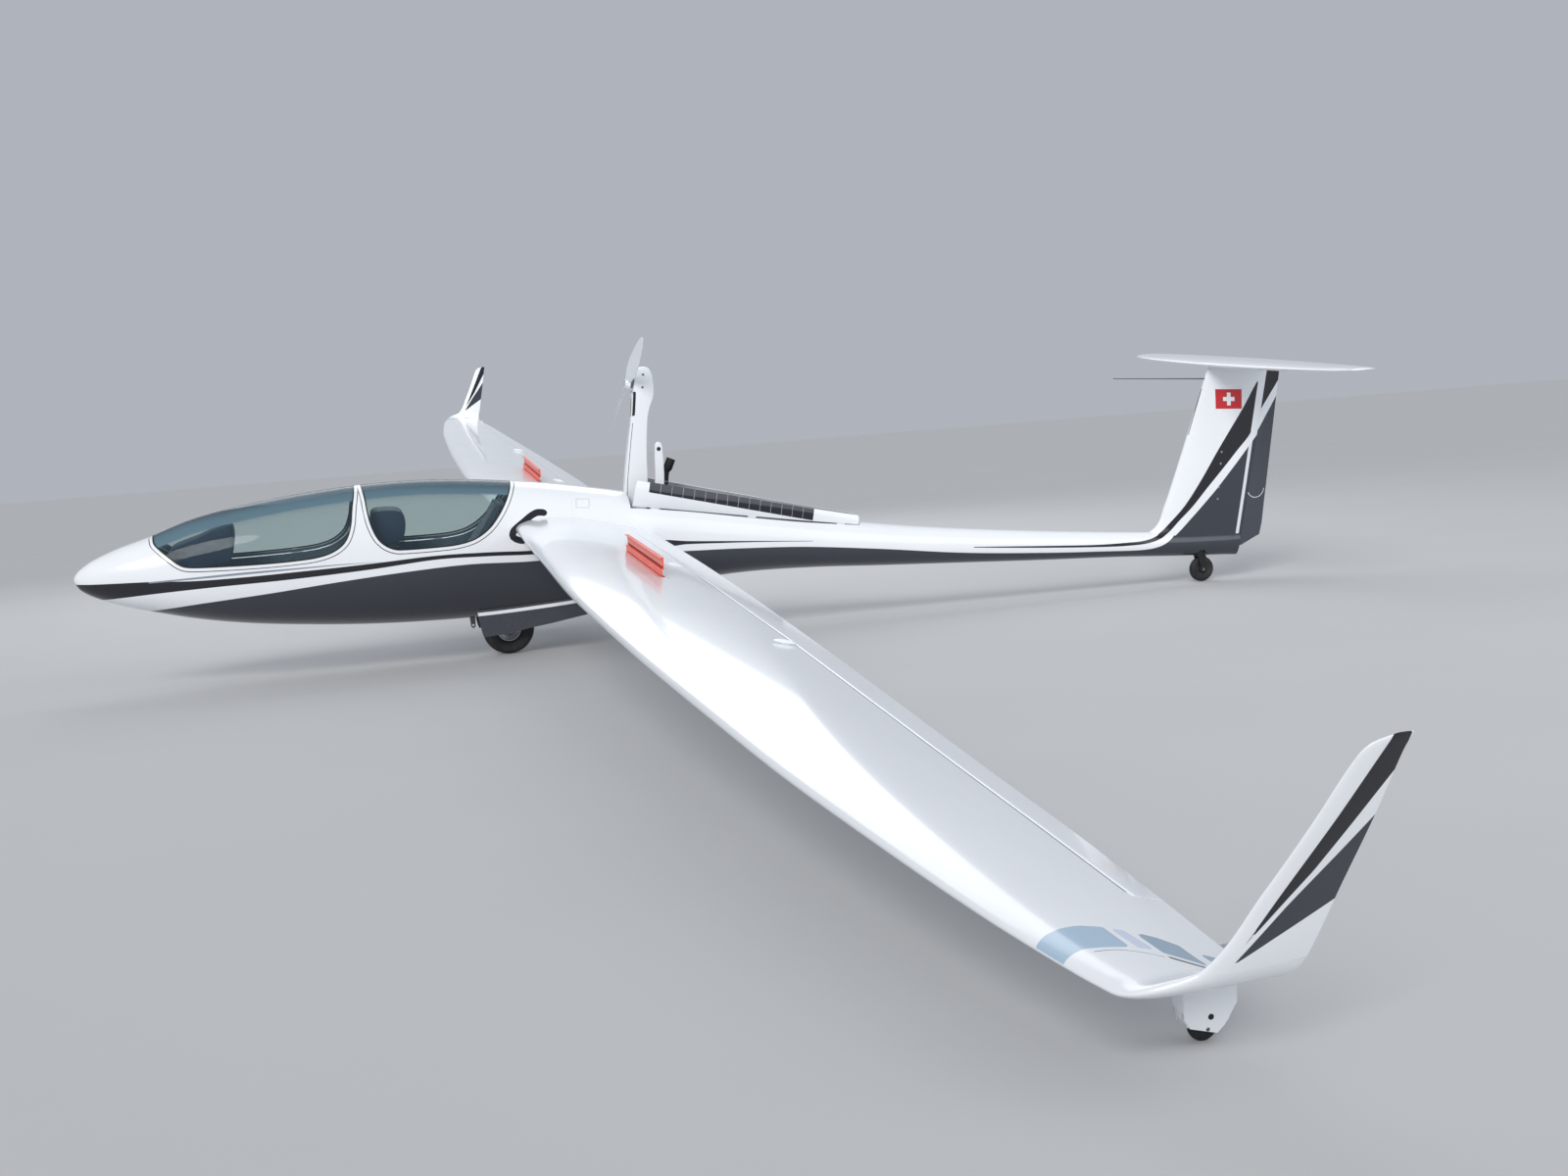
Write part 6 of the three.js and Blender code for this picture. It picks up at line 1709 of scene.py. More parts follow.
def make_propeller():
    """Two blades: sections whose chord, pitch and thickness follow the table along the span, on a bolted boss."""
    share = np.concatenate([np.linspace(0.02, 0.93, 44), np.linspace(0.93, 0.99, 12)[1:]])
    row = read_table(BLADE, share)
    chord = PROP["chord"] * row[:, 1][:, None]
    pitch, ratio = row[:, 2][:, None] * DEG, row[:, 3][:, None]
    v = np.linspace(0, 1, 14)
    u = np.concatenate([v[::-1] ** 2, v[1:] ** 2])[None]
    sense = np.where(np.arange(27) < 14, 1.0, -1.0)[None]
    out = sense * (half_thickness(u * chord, chord, ratio) - TRAILING_EDGE / 2 * u + 0.8 * u)
    along = (u - 0.5) * chord
    x = -along * np.sin(pitch) - out * np.cos(pitch)
    y = along * np.cos(pitch) - out * np.sin(pitch)
    z = np.broadcast_to(share[:, None] * PROP["radius"], x.shape)
    blade = closed_rings(np.stack([x, y, z], -1))
    other = blade.moved(blade.points * (1, -1, -1))
    half, hub = PROP["half"], PROP["hub"]
    boss = spun([(0, -half), (hub * 0.55, -half), (hub * 0.75, -half + 5), (hub * 0.96, half - 4), (hub * 0.9, half),
                 (0, half)], (0, 0, 0), (1, 0, 0), 48)
    turn = np.arange(6) * 60 * DEG
    bolts = [hexagon_bolt((-half + 1, 17 * math.cos(t), 17 * math.sin(t)), (-1, 0, 0), 3.6, 3, slot=1) for t in turn]
    whole = joined(blade, other, boss, *bolts)
    a = (90 - PROP["angle"]) * DEG
    lean = PROP["lean"] * DEG
    about_x = np.array([[1, 0, 0], [0, math.cos(a), -math.sin(a)], [0, math.sin(a), math.cos(a)]])
    about_y = np.array([[math.cos(lean), 0, math.sin(lean)], [0, 1, 0], [-math.sin(lean), 0, math.cos(lean)]])
    whole = whole.moved(whole.points @ about_x.T @ about_y.T + PROP_CENTRE)
    build_piece("propeller_blades", "propeller", whole, ["white", "steel"], ["propeller"])


def tyre_skin(wheel, rim_radius, grooves):
    """A tyre: a smoothed section carried round the axle, its tread lowered by a wave across its width."""
    radius, crown, half = wheel["radius"], wheel["crown"], wheel["width"] / 2
    inner = rim_radius + 0.3
    shoulder = radius - crown * 0.45
    right = [(inner, half * 0.72), (inner + 12, half * 0.9), ((inner + shoulder) / 2, half), (shoulder, half * 0.93),
             (radius - crown * 0.12, half * 0.55), (radius, half * 0.14)]
    profile = [(r, -h) for r, h in right] + right[::-1]
    line = smooth_outline(profile, 9, closed=False)
    if grooves:
        wave = np.maximum(np.cos(line[:, 1] / half * np.pi * grooves), 0) ** 6
        line[:, 0] -= 3.5 * wave * (line[:, 0] > shoulder)
    line[:, 0] = np.minimum(line[:, 0], radius)
    return spun(line, (wheel["x"], wheel["y"], hub_height(wheel)), (0, 1, 0), 96)


def rim_skin(wheel, rim_radius, bore, hub_half, holes):
    """A dished rim with a hub, and lightening holes shown as dark recesses."""
    half = wheel["width"] / 2 * 0.72
    right = [(bore + 14, hub_half), (bore + 17, hub_half - 6), (rim_radius * 0.6, half * 0.45),
             (rim_radius - 12, half * 0.66), (rim_radius - 9, half - 2), (rim_radius - 8, half), (rim_radius - 1, half),
             (rim_radius, half - 2)]
    profile = [(bore, hub_half)] + right + [(r, -h) for r, h in right[::-1]] + [(bore, -hub_half)]
    centre = np.array([wheel["x"], wheel["y"], hub_height(wheel)])
    parts = [spun(profile, centre, (0, 1, 0), 72)]
    middle = (rim_radius * 0.6 + bore + 17) / 2 + 2
    rise = np.interp(middle, (bore + 17, rim_radius * 0.6), (hub_half - 6, half * 0.45))
    slope = (hub_half - 6 - half * 0.45) / (rim_radius * 0.6 - bore - 17)
    # The lightening holes are not cut: each is a dark disc on both faces, painted shade in place of the open hole.
    for k in range(holes):
        t = (k + 0.5) / holes * 2 * np.pi
        way = np.array([math.cos(t), 0, math.sin(t)])
        for side in (-1, 1):
            normal = way * slope + np.array([0, side, 0])
            at = centre + way * middle + (0, side * rise, 0)
            size = rim_radius * 0.1
            parts.append(spun(rod(size, -2, 0.35), at, normal, 20, slot=1))
    return joined(*parts)


def make_main_wheel():
    """Main wheel: a grooved tyre on a dished rim."""
    tyre = tyre_skin(MAIN_WHEEL, 88, 2.5)
    build_piece("main_wheel_tyre", "main_wheel", tyre, ["rubber"], ["main_tyre"])
    rim = rim_skin(MAIN_WHEEL, 88, 12.5, 62, 6)
    build_piece("main_wheel_rim", "main_wheel", rim, ["rim", "dial"], ["main_rim"])


DOOR_FOOT = [(2680, 358), (2686, 300), (2700, 205), (2712, 171), (2877, 183), (3083, 212), (3183, 223), (3471, 266),
             (3484, 300), (3492, 330)]
DOOR_FACES = (191.0, 199.0)
DOOR_BAND = 24


def make_gear_doors():
    """Main wheel doors: a sheet between a foot line and the belly, walled, with a white line under its top."""
    for word, side in SIDES:
        x = np.concatenate([np.linspace(2680, 2712, 10), np.linspace(2712, 3492, 60)[1:]])
        low = np.interp(x, *np.array(DOOR_FOOT, float).T)
        top = np.minimum(skin_bottom(x, np.full(len(x), DOOR_FACES[0])) - 0.6, np.interp(x, (3440, 3492), (420, 331)))
        rows = 24
        share = np.linspace(0, 1, rows)[None]
        z = low[:, None] + np.maximum(top - low, 0.5)[:, None] * share
        px = x[:, None] + 0 * z
        y = np.full(z.shape, DOOR_FACES[1] * side)
        sheet = facing(grid(np.stack([px, y, z], -1)), 1, side)
        sheet = sheet.marked(white=triple(sheet.points[:, 2] - (np.repeat(top, rows) - DOOR_BAND)))
        inner = sheet.points.copy()
        inner[:, 1] = DOOR_FACES[0] * side
        door = shell(sheet, inner)
        stays = [tube([(at, 188 * side, 300), (at + 40, 120 * side, 420)], 6, 14, slot=1) for at in (2850, 3200)]
        build_piece(f"wheel_door_{word}", "airframe", joined(door, *stays), ["door", "steel"],
                    [f"gear_door_{word}"])


FORK = {"top": 258, "radius": 44, "plate": 8, "half": 36}


def make_tail_wheel():
    """Tail wheel: a turned crown, two rounded arms with an axle between them, a small dished rim and tyre."""
    x, z = TAIL_WHEEL["x"], hub_height(TAIL_WHEEL)
    steer = x - 15
    radius = FORK["radius"]
    parts = [spun([(0, 206), (radius, 206), (radius, FORK["top"] - 3), (radius - 3, FORK["top"]), (0, FORK["top"])],
                  (steer, 0, 0), (0, 0, 1), 48)]
    outline = smooth_outline([(x - 16, z - 6), (x, z - 18), (x + 17, z - 6), (x + 20, 190), (x + 21, 212),
                              (x - 45, 212), (x - 38, 190)], 4)
    for side in (-1, 1):
        parts.append(slab(outline, FORK["half"] * side, (FORK["half"] + FORK["plate"]) * side, 1.5))
    parts.append(slab([(x - 46, 206), (x + 22, 206), (x + 22, 214), (x - 46, 214)], -44, 44, 1.5))
    parts.append(spun([(0, -50), (6, -50), (7, -49), (7, 49), (6, 50), (0, 50)], (x, 0, z), (0, 1, 0), 24, slot=1))
    for side in (-1, 1):
        parts.append(hexagon_bolt((x, 43.5 * side, z), (0, side, 0), 9, 5, slot=1))
    build_piece("tail_wheel_fork", "tail_fork", joined(*parts), ["seal", "steel"], ["tail_fork"])
    build_piece("tail_wheel_tyre", "tail_wheel", tyre_skin(TAIL_WHEEL, 48, 1.5), ["rubber"], ["tail_tyre"])
    build_piece("tail_wheel_rim", "tail_wheel", rim_skin(TAIL_WHEEL, 48, 7.4, 30, 5), ["dark_rim", "dial"],
                ["tail_rim"])


def make_tip_wheels():
    """Tip wheels: a small solid wheel between two cheeks that grow out of the wing's lower skin."""
    x, y, radius, crown = [TIP_WHEEL[name] for name in ("x", "y", "radius", "crown")]
    half = TIP_WHEEL["width"] / 2
    z = hub_height(TIP_WHEEL)
    row = read_table(WING, np.array([float(y)]))[0]
    at = np.array([x - 64, x - 30, x, x + 30, x + 52], float)
    under = wing_mid(np.full(5, float(y)), at) - half_thickness(at - row[1], row[2] - row[1], row[5]) + 2.5
    top = list(zip(at, under)) + [(x + 80, float(under[-1]))]
    foot = [(x + 76, z + 55), (x + 44, z + 4), (x + 24, z - 14), (x - 44, z + 6), (x - 60, z + 30)]
    outline = np.array(top + foot)
    arch = [(x - 48, z + 46), (x + 48, z + 46)]
    for word, side in SIDES:
        def cheek(shape, y0, y1, round_off):
            """A side outline carried across from y0 to y1, counted from the wheel's middle."""
            return slab(shape, (y + y0) * side, (y + y1) * side, round_off)

        roof = np.array(top + [(x + 70, z + 47), *arch[::-1], (x - 61, z + 47)])
        nose = np.array([top[0], (x - 48.5, under[0]), (x - 48.5, z + 10), (x - 50, z + 12), (x - 60, z + 30)])
        heel = np.array([(x + 48.5, under[-1]), (x + 80, under[-1]), (x + 76, z + 55), (x + 48.5, z + 12)])
        parts = [cheek(outline, -30, -17.2, 4), cheek(outline, 17.2, 30, 4), cheek(roof, -29, 29, 3),
                 cheek(nose, -28, 28, 3), cheek(heel, -28, 28, 3)]
        parts.append(spun(rod(5, -30, 30), (x, y * side, z), (0, 1, 0), 20, slot=1))
        parts.append(hexagon_bolt((x + 8, (y + 29.6) * side, z + 30), (0, side, 0), 5, 0.6, slot=2))
        build_piece(f"tip_fairing_{word}", "airframe", joined(*parts), ["white", "steel", "seal"],
                    [f"tip_wheel_fairing_{word}"])
        right = [(radius - 0.6, half * 0.4), (radius - 3, half * 0.7), (radius - crown, half), (12, half),
                 (10, half + 4.7), (5.5, half + 4.7)]
        profile = [(r, -h) for r, h in right[::-1]] + [(radius, 0)] + right
        wheel = spun(profile, (x, y * side, z), (0, 1, 0), 48)
        build_piece(f"tip_roller_{word}", f"tip_wheel_{word}", wheel, ["rubber"], [f"tip_wheel_{word}"])


# Cockpit

FRONT_HOOD = [(640, 962), (850, 1046), (1062, 1112), (1048, 880), (960, 850), (780, 850)]
REAR_HOOD = [(2012, 1100), (2060, 1128), (2226, 1098), (2216, 925), (2120, 890), (2012, 890)]
FRONT_SEAT = [(1130, 640), (1230, 560), (1400, 470), (1520, 455), (1620, 500), (1740, 680), (1850, 860), (1905, 960)]
REAR_SEAT = [(2230, 770), (2320, 715), (2450, 690), (2580, 700), (2680, 760), (2790, 900), (2880, 1030), (2930, 1120)]
SEATS = (("front", FRONT_SEAT), ("rear", REAR_SEAT))
CUSHION = {"thick": 42, "half": 196, "gap": 0.6, "piping": 160}
SWELL = {"voxel": 0.006, "pressure": 4, "quality": 4, "frames": 20}
# Stitches: how deep and how wide the channels and the piped seam are.
STITCH = {"channel": (7, 6), "piping": (5, 5)}


def seat_frame(line, steps):
    """Points along a seat's side line, the normals above it, and the distance run."""
    table = smooth_outline(line, steps, closed=False)
    ahead = np.gradient(table, axis=0)
    ahead /= np.linalg.norm(ahead, axis=1, keepdims=True)
    run = np.concatenate([[0], np.cumsum(np.linalg.norm(np.diff(table, axis=0), axis=1))])
    return table, np.column_stack([-ahead[:, 1], ahead[:, 0]]), run


def seat_point(line, normal, y, height):
    """Points at heights over a seat's line, across the cockpit."""
    x = line[:, 0][:, None] + normal[:, 0][:, None] * height
    z = line[:, 1][:, None] + normal[:, 1][:, None] * height
    return np.stack([x, np.broadcast_to(y, x.shape), z], -1)


def make_seats():
    """Seat pans: a sheet along the seat's line that rises like a dish towards its sides, walled."""
    for word, line in SEATS:
        table, normal, _ = seat_frame(line, 8)
        inside = skin_half(table[:, 0], table[:, 1] - 10) - COCKPIT_WALL - 14
        inside = np.where(table[:, 1] > 822, np.minimum(inside, skin_half(table[:, 0], table[:, 1] + 20) - 46), inside)
        share = np.linspace(-1, 1, 33)[None]
        y = np.minimum(inside, 290)[:, None] * share
        height = 24 * np.clip((np.abs(y) - 215) / 80, 0, 1) ** 2
        sheet = facing(grid(seat_point(table, normal, y, height)), 2)
        build_piece(f"seat_pan_{word}", "airframe", walled(sheet, 8), ["shell"], [f"seat_{word}"])


def cushion_skin(line, inset):
    """A crowned closed pad: at each distance along the seat a flattened superellipse whose height falls at the ends."""
    table, normal, run = seat_frame(line, 12)
    share = run / run[-1]
    ends = (1 - np.abs(2 * share - 1) ** 10) ** 0.35
    turn = np.linspace(0, 2 * np.pi, 72, endpoint=False)[None]
    c, s = np.cos(turn), np.sin(turn)
    half = (CUSHION["half"] - inset) * (0.965 + 0.035 * np.cos(share * 6 * np.pi))[:, None]
    y = np.sign(c) * np.abs(c) ** 0.42 * half
    thick = CUSHION["thick"] - inset
    lift = np.where(s > 0, np.sign(s) * np.abs(s) ** 0.62, np.sign(s) * np.abs(s) ** 0.5 * 0.35)
    height = CUSHION["gap"] + thick * 0.26 + lift * thick * 0.74 * ends[:, None]
    height = np.maximum(height, CUSHION["gap"])
    keep = slice(1, -1)
    return closed_rings(seat_point(table, normal, y, height)[keep])


def along_seat(points, line):
    """Distance run along a seat's line and height over it, for points of its cushion."""
    table, normal, run = seat_frame(line, 12)
    flat = points[:, [0, 2]]
    gap = np.linalg.norm(flat[:, None] - table[None], axis=2)
    nearest = gap.argmin(1)
    height = np.einsum("ij,ij->i", flat - table[nearest], normal[nearest])
    ahead = np.column_stack([normal[nearest, 1], -normal[nearest, 0]])
    return run[nearest] + np.einsum("ij,ij->i", flat - table[nearest], ahead), height, normal[nearest], run[-1]


def simulate(piece, most):
    """Swells a pad: even remesh, pressure without gravity for twenty frames, the move capped."""
    remesh = piece.modifiers.new("even", "REMESH")
    remesh.mode = "VOXEL"
    remesh.voxel_size = SWELL["voxel"]
    bake_modifiers(piece)
    start = read_points(piece.data)
    cloth = piece.modifiers.new("swell", "CLOTH")
    cloth.settings.use_pressure = True
    cloth.settings.uniform_pressure_force = SWELL["pressure"]
    cloth.settings.effector_weights.gravity = 0
    cloth.settings.quality = SWELL["quality"]
    for number in range(1, SWELL["frames"] + 1):
        bpy.context.scene.frame_set(number)
    bake_modifiers(piece)
    bpy.context.scene.frame_set(1)
    moved = read_points(piece.data) - start
    length = np.linalg.norm(moved, axis=1, keepdims=True)
    moved *= np.minimum(1, most * 0.001 / np.maximum(length, 1e-9))
    write_points(piece.data, start + moved)


def bake_modifiers(piece):
    """The piece's mesh becomes what its modifiers show, and none of them stays."""
    graph = bpy.context.evaluated_depsgraph_get()
    shown = piece.evaluated_get(graph)
    mesh = bpy.data.meshes.new_from_object(shown, depsgraph=graph)
    piece.modifiers.clear()
    piece.data = mesh


def read_points(mesh):
    """A mesh's points as an array."""
    values = np.empty(len(mesh.vertices) * 3, np.float32)
    mesh.vertices.foreach_get("co", values)
    return values.reshape(-1, 3).astype(float)


def write_points(mesh, points):
    """Puts an array back into a mesh's points."""
    mesh.vertices.foreach_set("co", points.astype(np.float32).ravel())
    mesh.update()


def unplaced(points):
    """Frame metres back to craft millimetres."""
    return (points - ORIGIN) * 1000 @ TURN


def sew(piece, line):
    """Sewn channels across a cushion and a piped seam round it: the cover sinks by a bell curve at each seam, and
    stays over the seat's shell."""
    points = unplaced(read_points(piece.data))
    run, height, normal, length = along_seat(points, line)
    pitch = length / max(round(length / sizes().channel), 2)
    off = pitch / 2 - np.abs((run / pitch) % 1 - 0.5) * pitch
    edge = np.abs(np.abs(points[:, 1]) - CUSHION["piping"])
    inner = np.abs(points[:, 1]) < CUSHION["piping"]
    (deep, wide), (seam_deep, seam_wide) = STITCH["channel"], STITCH["piping"]
    sink = deep * np.exp(-(off / wide) ** 2) * inner + seam_deep * np.exp(-(edge / seam_wide) ** 2)
    sink *= np.clip((height - 14) / 12, 0, 1)
    level = np.clip(height - sink, CUSHION["gap"], CUSHION["thick"] + 4)
    points[:, [0, 2]] += normal * (level - height)[:, None]
    write_points(piece.data, placed(points))


def make_cushions():
    """Seat cushions: padded covers swollen by simulation, then sewn."""
    for word, line in SEATS:
        piece = build_piece(f"cushion_cover_{word}", "airframe", cushion_skin(line, 5), ["cushion"],
                            [f"cushion_{word}"])
        simulate(piece, sizes().swell)
        sew(piece, line)
        if not piece.data.materials:
            piece.data.materials.append(finish_named("cushion"))
        piece.data.polygons.foreach_set("use_smooth", np.ones(len(piece.data.polygons), bool))
        smooth = piece.modifiers.new("cover", "SUBSURF")
        smooth.levels = 1
        smooth.render_levels = 1
        bake_modifiers(piece)


def band(path, across, width, thick, slot=0):
    """A flat strap: a rounded rectangle carried along a path, its width along a given direction at each point."""
    path = np.asarray(path, float)
    ahead = np.gradient(path, axis=0)
    ahead /= np.linalg.norm(ahead, axis=1, keepdims=True)
    across = np.broadcast_to(across, path.shape).astype(float)
    up = np.cross(ahead, across)
    up /= np.linalg.norm(up, axis=1, keepdims=True)
    turn = np.linspace(0, 2 * np.pi, 20, endpoint=False)
    wide = np.sign(np.cos(turn)) * np.abs(np.cos(turn)) ** 0.3 * width / 2
    high = np.sign(np.sin(turn)) * np.abs(np.sin(turn)) ** 0.6 * thick / 2
    rings = path[:, None] + across[:, None] * wide[None, :, None] + up[:, None] * high[None, :, None]
    return closed_rings(rings).coloured(slot)


def make_harness():
    """Harness: two shoulder straps down each back cushion, two lap straps across the seat, and a round buckle."""
    for word, line in SEATS:
        table, normal, run = seat_frame(line, 12)
        rise = CUSHION["thick"] + 3.5
        buckle_at = int(np.searchsorted(run, run[-1] * (0.42 if word == "front" else 0.45)))
        parts = []
        share = np.linspace(0, 1, len(table) - 2 - buckle_at)
        for side in (-1, 1):
            y = side * (20 + 60 * np.minimum(share * 1.6, 1))
            back = slice(buckle_at, len(table) - 2)
            path = np.column_stack([table[back, 0] + normal[back, 0] * rise, y,
                                    table[back, 1] + normal[back, 1] * rise])
            parts.append(band(path, (0, 1, 0), 44, 2.6))
            u = np.linspace(0, 1, 16)
            x, z = table[buckle_at] + normal[buckle_at] * rise
            reach = 20 + u * 200
            drop = -48 * np.clip((reach - 165) / 45, 0, 1) ** 1.5
            lap = np.column_stack([x - 10 * u + normal[buckle_at, 0] * drop, side * reach,
                                   z + normal[buckle_at, 1] * drop])
            ahead = np.array([normal[buckle_at, 1], 0, -normal[buckle_at, 0]])
            parts.append(band(lap, ahead, 44, 2.6))
        x, z = table[buckle_at] + normal[buckle_at] * (rise + 1)
        up = (normal[buckle_at, 0], 0, normal[buckle_at, 1])
        buckle = [(0, -3), (26, -3), (28, 0), (28, 7), (24, 10), (9, 10.5), (8, 12.5), (0, 12.5)]
        parts.append(spun(buckle, (x, 0, z), up, 40, slot=1))
        build_piece(f"harness_{word}", "airframe", joined(*parts), ["strap", "steel"])


DIALS = ((0, 195, 38), (-84, 195, 30), (84, 195, 30), (-84, 118, 30), (0, 105, 38), (84, 118, 30), (-45, 50, 22),
         (45, 50, 22))
REAR_DIALS = ((0, 118, 36), (-80, 120, 28), (80, 120, 28), (-42, 52, 24), (42, 52, 24))


def dial(at, direction, radius):
    """A dial: a raised ring, a black face below it, and a pointer."""
    at, direction = np.asarray(at, float), np.asarray(direction, float) / np.linalg.norm(direction)
    ring = spun([(0, -3), (radius, -3), (radius, 2.5), (radius - 2, 4), (radius - 5, 2), (radius - 5, 0.6),
                 (0, 0.6)], at, direction, 32, slot=1)
    face = spun(rod(radius - 5, 0, 0.9), at, direction, 32, slot=1)
    up = np.cross(direction, (0, 1, 0))
    hand = tube([at + direction * 1.6, at + direction * 1.6 + up * radius * 0.62], [1.6, 0.5], 8, slot=2)
    return joined(ring, face, hand)


def make_instruments():
    """Instrument covers: smoothed side outlines carried across with soft edges, a post each, and dials aft."""
    tables = (("front", FRONT_HOOD, 150, [(790, 860), (960, 860), (934, 489), (812, 489)], (1062, 1112), (1048, 880),
               DIALS), ("rear", REAR_HOOD, 140, [(2030, 900), (2115, 900), (2096, 340), (2030, 340)], (2226, 1098),
                        (2216, 925), REAR_DIALS))
    for word, hood, half, post, top, foot, dials in tables:
        x, z = np.array(hood, float).T
        half = min(half, float((skin_half(x, z) - COCKPIT_WALL - 3).min()))
        parts = [slab(smooth_outline(hood, 5), -half, half, 10)]
        parts.append(slab(post, -half * 0.55, half * 0.55, 4))
        base = np.array([foot[0], 0, foot[1]], float)
        up = np.array([top[0] - foot[0], 0, top[1] - foot[1]], float)
        up /= np.linalg.norm(up)
        out = np.array([up[2], 0, -up[0]])
        for y, height, radius in dials:
            if abs(y) + radius < half - 4:
                parts.append(dial(base + up * height + (0, y, 0) - out * 4.5, out, radius))
        build_piece(f"instrument_cover_{word}", "airframe", joined(*parts), ["trim", "dial", "steel"],
                    [f"instruments_{word}"])


def make_sticks():
    """Control sticks: a tube with a shaped grip, a button, and a folded gaiter at its foot."""
    for word, x, top in (("front", 1090, 760), ("rear", 2175, 850)):
        foot = float(read_table(FUSELAGE, float(x))[2]) + COCKPIT_WALL + 1
        heights = np.array([foot, foot + 60, top - 96, top - 90, top - 60, top - 30, top - 6, top - 1])
        radii = np.array([8, 8, 8, 12.5, 14, 12.5, 13.5, 10])
        path = np.column_stack([np.full(8, float(x)), np.zeros(8), heights])
        parts = [tube(path, radii, 24)]
        ridges = np.linspace(0, 1, 25)
        radius = 44 - 32 * ridges + 2.5 * np.abs(np.sin(ridges * 6 * np.pi))
        profile = np.column_stack([radius, foot + ridges * 62])
        profile = np.concatenate([[(0, foot)], profile, [(0, foot + 62)]])
        parts.append(spun(profile, (x, 0, 0), (0, 0, 1), 40, slot=1))
        parts.append(spun([(0, -2), (3.5, -2), (3.5, 1.5), (0, 2.2)], (x + 12, 0, top - 22), (1, 0, 0.2), 16, slot=2))
        build_piece(f"control_stick_{word}", "airframe", joined(*parts), ["dial", "trim", "brake"],
                    [f"stick_{word}"])


KEPT_NODES = ("mast_bearers", "engine_block", "probe_tube", "gear_legs", "prop_hub", "tow_release")


def finish_kept():
    """Bare steel for the frame's own nodes that stay."""
    for node in KEPT_NODES:
        for holder in frame["nodes"][node].material_slots:
            holder.material = finish_named("steel")


# Stage

CAMERA = {"at": (-2.8396, -13.2000, 1.5098), "lens": 42.116, "yaw": 0.2400, "pitch": 0.0897, "roll": -0.0772,
          "sensor": 36, "far": 300}
# Lights: kind, place, point looked at, width in metres or angle in radians, power, colour.
LIGHTS = (("SUN", (-7.0, -13.0, 9.5), (0.0, 0.0, 0.8), 0.45, 1.9, (1.0, 0.98, 0.95)),
          ("AREA", (9.0, -12.0, 6.0), (1.0, 0.0, 0.8), 9.0, 400, (0.93, 0.96, 1.0)),
          ("AREA", (0.0, 10.0, 9.0), (0.0, 0.0, 1.0), 10.0, 500, (0.95, 0.98, 1.0)))
FLOOR = {"size": 260.0, "colour": "c4c5c6"}
WORLD = {"colour": (0.86, 0.91, 1.0, 1.0), "strength": 0.5}


def make_floor():
    """A wide flat pale floor."""
    reach = FLOOR["size"] / 2
    u = np.linspace(-reach, reach, 13)
    x, y = np.meshgrid(u, u)
    skin = grid(np.stack([x, y, np.zeros_like(x)], -1))
    mesh = bpy.data.meshes.new("floor")
    mesh.from_pydata(skin.points.tolist(), [], skin.faces.tolist())
    floor = in_scene("floor", mesh)
    tree = Tree("pale_floor")
    cloud = tree.noise(0.6, 4.0, 0.5)
    tone = linear(FLOOR["colour"])
    mesh.materials.append(tree.finish({"Base Color": tree.mix(cloud, scaled(tone, 0.96), scaled(tone, 1.02)),
                                       "Roughness": 0.85}))


def make_lights():
    """A pale world, a low sun and two soft panels."""
    world = bpy.data.worlds.new("studio")
    bpy.context.scene.world = world
    world.use_nodes = True
    background = world.node_tree.nodes["Background"]
    background.inputs["Color"].default_value = WORLD["colour"]
    background.inputs["Strength"].default_value = WORLD["strength"]
    bpy.context.scene.view_settings.view_transform = "Standard"
    for kind, at, target, width, power, colour in LIGHTS:
        data = bpy.data.lights.new("soft_light", kind)
        setattr(data, "angle" if kind == "SUN" else "size", width)
        data.energy = power
        data.color = colour
        light = in_scene("soft_light", data)
        light.location = at
        light.rotation_euler = (Vector(target) - Vector(at)).to_track_quat("-Z", "Y").to_euler()


def make_camera():
    """The camera, turned by its yaw, pitch and roll."""
    data = bpy.data.cameras.new("view")
    data.lens = CAMERA["lens"]
    data.sensor_width = CAMERA["sensor"]
    data.clip_end = CAMERA["far"]
    yaw, pitch, roll = CAMERA["yaw"], CAMERA["pitch"], CAMERA["roll"]
    ahead = Vector((math.sin(yaw) * math.cos(pitch), math.cos(yaw) * math.cos(pitch), -math.sin(pitch)))
    right = Vector((math.cos(yaw), -math.sin(yaw), 0))
    up = right.cross(ahead)
    image_right = right * math.cos(roll) + up * math.sin(roll)
    image_up = up * math.cos(roll) - right * math.sin(roll)
    columns = Matrix((image_right, image_up, -ahead)).transposed().to_4x4()
    camera = in_scene("view", data)
    camera.matrix_world = Matrix.Translation(CAMERA["at"]) @ columns
    bpy.context.scene.camera = camera


# Operators, one for each piece or group of like pieces.

class MakeFuselage(bpy.types.Operator):
    """Build the two halves of the hull with cockpit, wheel well and engine bay"""
    bl_idname = "sailplane.fuselage"
    bl_label = "Fuselage"

    def execute(self, context):
        make_front_fuselage()
        make_rear_fuselage()
        return {"FINISHED"}


class MakeCanopies(bpy.types.Operator):
    """Build both canopies: rims, seals and tinted panes"""
    bl_idname = "sailplane.canopies"
    bl_label = "Canopies"

    def execute(self, context):
        make_canopies()
        return {"FINISHED"}


class MakeWings(bpy.types.Operator):
    """Build both wings with coves, airbrake slots and tip bands"""
    bl_idname = "sailplane.wings"
    bl_label = "Wings"

    def execute(self, context):
        make_wings()
        return {"FINISHED"}


class MakeWinglets(bpy.types.Operator):
    """Build both winglets"""
    bl_idname = "sailplane.winglets"
    bl_label = "Winglets"

    def execute(self, context):
        make_winglets()
        return {"FINISHED"}


class MakeWingSurfaces(bpy.types.Operator):
    """Build flaps and ailerons"""
    bl_idname = "sailplane.wing_surfaces"
    bl_label = "Flaps and ailerons"

    def execute(self, context):
        make_wing_surfaces()
        return {"FINISHED"}


class MakeAirbrakes(bpy.types.Operator):
    """Build the airbrakes' storeys"""
    bl_idname = "sailplane.airbrakes"
    bl_label = "Airbrakes"

    def execute(self, context):
        make_airbrakes()
        return {"FINISHED"}


